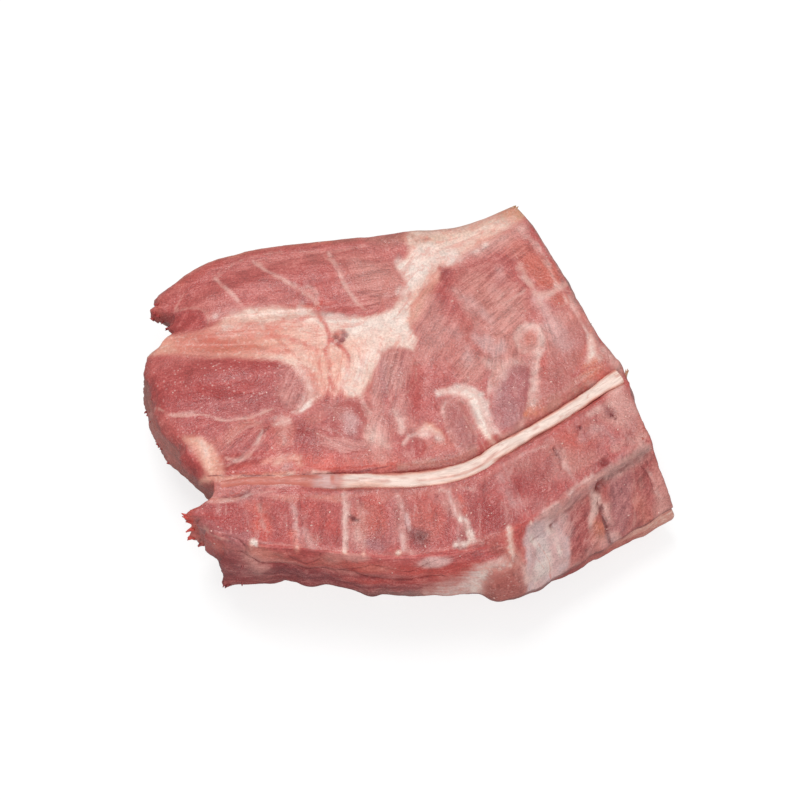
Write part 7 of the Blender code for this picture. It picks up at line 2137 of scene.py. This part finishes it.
def buildStrand():
    share = np.linspace(strand["start"], strand["stop"], strand["points"])
    run = np.column_stack([share * collar["length"], share * 0, share * 0])
    grown = smoothStep(share / 0.36)
    ahead = alongLine(lines["canal"], share + 0.02) - alongLine(lines["canal"], share - 0.02)
    ahead = ahead / np.linalg.norm(ahead, axis=1, keepdims=True)
    side = np.column_stack([-ahead[:, 1], ahead[:, 0]])
    shift = strand["shiftHead"] + (strand["shiftTail"] - strand["shiftHead"]) * grown
    shift = shift + cloud(run, 30, 81) * 0.6
    plan = alongLine(lines["canal"], share) + side * shift[:, None]
    half = strand["halfHead"] + (strand["halfTail"] - strand["halfHead"]) * grown + 0.35 * cloud(run, 14, 82)
    half = half + 0.9 * np.exp(-((plan[:, 0] - 30) / 22) ** 2)
    half = half * (1 - 0.2 * smoothStep((share - 0.6) / 0.15)) + 1.2 * smoothStep((share - 0.93) / 0.05)
    sunk = strand["sunkHead"] + (strand["sunkTail"] - strand["sunkHead"]) * grown + 0.3 * cloud(run, 22, 84)
    height = topHeights(share, np.full(len(share), 2.0), plan[:, 0], plan[:, 1]) - sunk
    line = lineObject("strandLine", [np.column_stack([plan, height])], [half])
    settings = {"Sides": strand["sides"], "Uneven": strand["uneven"], "Uneven Scale": strand["unevenSize"],
                "Seed": strand["seed"]}
    thing = madeByNodes(line, sweptTree("strandSweep", materials["nerve"]), settings, "nerveStrand")
    places = np.array([v.co[:] for v in thing.data.vertices]) / mm + (*collar["planCentre"], 0.0)
    nearest = np.argmin(np.hypot(*(places[:, None, :2] - plan[None]).transpose(2, 0, 1)), axis=1)
    places[:, 2] = height[nearest] + (places[:, 2] - height[nearest]) * strand["flat"]
    moved = (places - (*collar["planCentre"], 0.0)) * mm
    thing.data.vertices.foreach_set("co", moved.ravel())
    across = ((places[:, :2] - plan[nearest]) * side[nearest]).sum(1) / half[nearest]
    colour = np.tile(tones["sheath"], (len(places), 1)).astype(float)
    run = np.column_stack([share[nearest] * collar["length"] * 0.12, across * half[nearest], 0 * across])
    colour = clouded(run, colour, strand["clouds"])
    edge = np.abs(across + 0.05 + 0.25 * cloud(places * (0.5, 0.5, 1), 4, 88))
    colour = mixTone(colour, "pinkCream", 0.6 * smoothStep((edge - 0.55) / 0.25))
    colour = mixTone(colour, "salmon", 0.85 * smoothStep((edge - 0.8) / 0.18))
    # one thin red line runs between its two roots past the bend
    parted = np.exp(-((across + 0.25) / 0.09) ** 2) * np.exp(-((plan[nearest, 0] - 34) / 24) ** 4)
    colour = mixTone(colour, "redFat", 0.6 * parted)
    # towards the head red tissue covers it, but for a pale swelling
    tissue = smoothStep((0.325 - share[nearest]) / 0.03)
    colour = mixTone(colour, "salmon", tissue)
    mottled = smoothStep(cloud(places * (0.4, 1, 1), 4, 86) * 1.5 - 0.1)
    colour = mixTone(colour, "rosyCream", 0.8 * tissue * mottled)
    swelling = np.exp(-((share[nearest] - 0.275) / 0.028) ** 4)
    colour = mixTone(colour, "gristle", 0.9 * swelling * smoothStep(cloud(places, 3, 87) + 0.8))
    along = share[nearest] * collar["length"]
    values = {"tone": np.column_stack([colour, np.ones(len(colour))]),
              "fibre": np.column_stack([along, across * half[nearest], places[:, 2]])}
    setAttributes(thing.data, values)
    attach(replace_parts(thing, "nerve_strand"), "root")
    print("strand", len(thing.data.polygons), "faces")


buildStrand()


# floor, light, camera

studio = {
    "floorColour": (0.36, 0.36, 0.36), "floorGlow": 0.72, "floorSize": 6.0, "world": 0.50, "key": 18.8,
    "keySize": 0.9,
    "keyPlace": (-0.35, 0.75, 1.9), "fill": 8.0, "fillSize": 0.9, "fillPlace": (0.3, -1.35, 0.62),
    "cameraPlace": (-0.0049, -0.4562, 1.0622), "cameraTarget": (-0.00491, -0.00069, 0.039), "lens": 90.0,
    "sensor": 36.0,
}


def buildStudio():
    size = studio["floorSize"] / 2
    mesh = bpy.data.meshes.new("floor")
    corners = [(-size, -size, 0), (size, -size, 0), (size, size, 0), (-size, size, 0)]
    mesh.from_pydata(corners, [], [(0, 1, 2, 3)])
    floorMaterial = bpy.data.materials.new("paleFloor")
    floorMaterial.use_nodes = True
    tree = floorMaterial.node_tree
    floorShader = tree.nodes["Principled BSDF"]
    floorShader.inputs["Base Color"].default_value = opened(studio["floorColour"])
    floorShader.inputs["Roughness"].default_value = 0.9
    floorShader.inputs["Specular IOR Level"].default_value = 0.0
    floorShader.inputs["Emission Color"].default_value = (1, 1, 1, 1)
    # the glow whitens the floor for the camera alone, so that it doesn't light the meat from below
    seen = wire(tree, "ShaderNodeLightPath", output="Is Camera Ray")
    glow = times(tree, seen, studio["floorGlow"])
    tree.links.new(glow, floorShader.inputs["Emission Strength"])
    mesh.materials.append(floorMaterial)
    floor = placed("floor", mesh)
    world = bpy.data.worlds.new("softWhite")
    world.use_nodes = True
    world.node_tree.nodes["Background"].inputs["Color"].default_value = (1, 1, 1, 1)
    world.node_tree.nodes["Background"].inputs["Strength"].default_value = studio["world"]
    bpy.context.scene.world = world
    target = Vector(studio["cameraTarget"])
    for name in ("key", "fill"):
        light = bpy.data.lights.new(name, "AREA")
        light.energy = studio[name]
        light.size = studio[name + "Size"]
        lamp = placed(name, light)
        lamp.location = studio[name + "Place"]
        lamp.rotation_euler = (target - lamp.location).to_track_quat("-Z", "Y").to_euler()
    camera = placed("camera", bpy.data.cameras.new("camera"))
    camera.location = studio["cameraPlace"]
    camera.rotation_euler = (target - camera.location).to_track_quat("-Z", "Y").to_euler()
    camera.data.lens = studio["lens"]
    camera.data.sensor_width = studio["sensor"]
    bpy.context.scene.camera = camera
    bpy.context.scene.view_settings.view_transform = "Standard"


buildStudio()
print("studio ready")
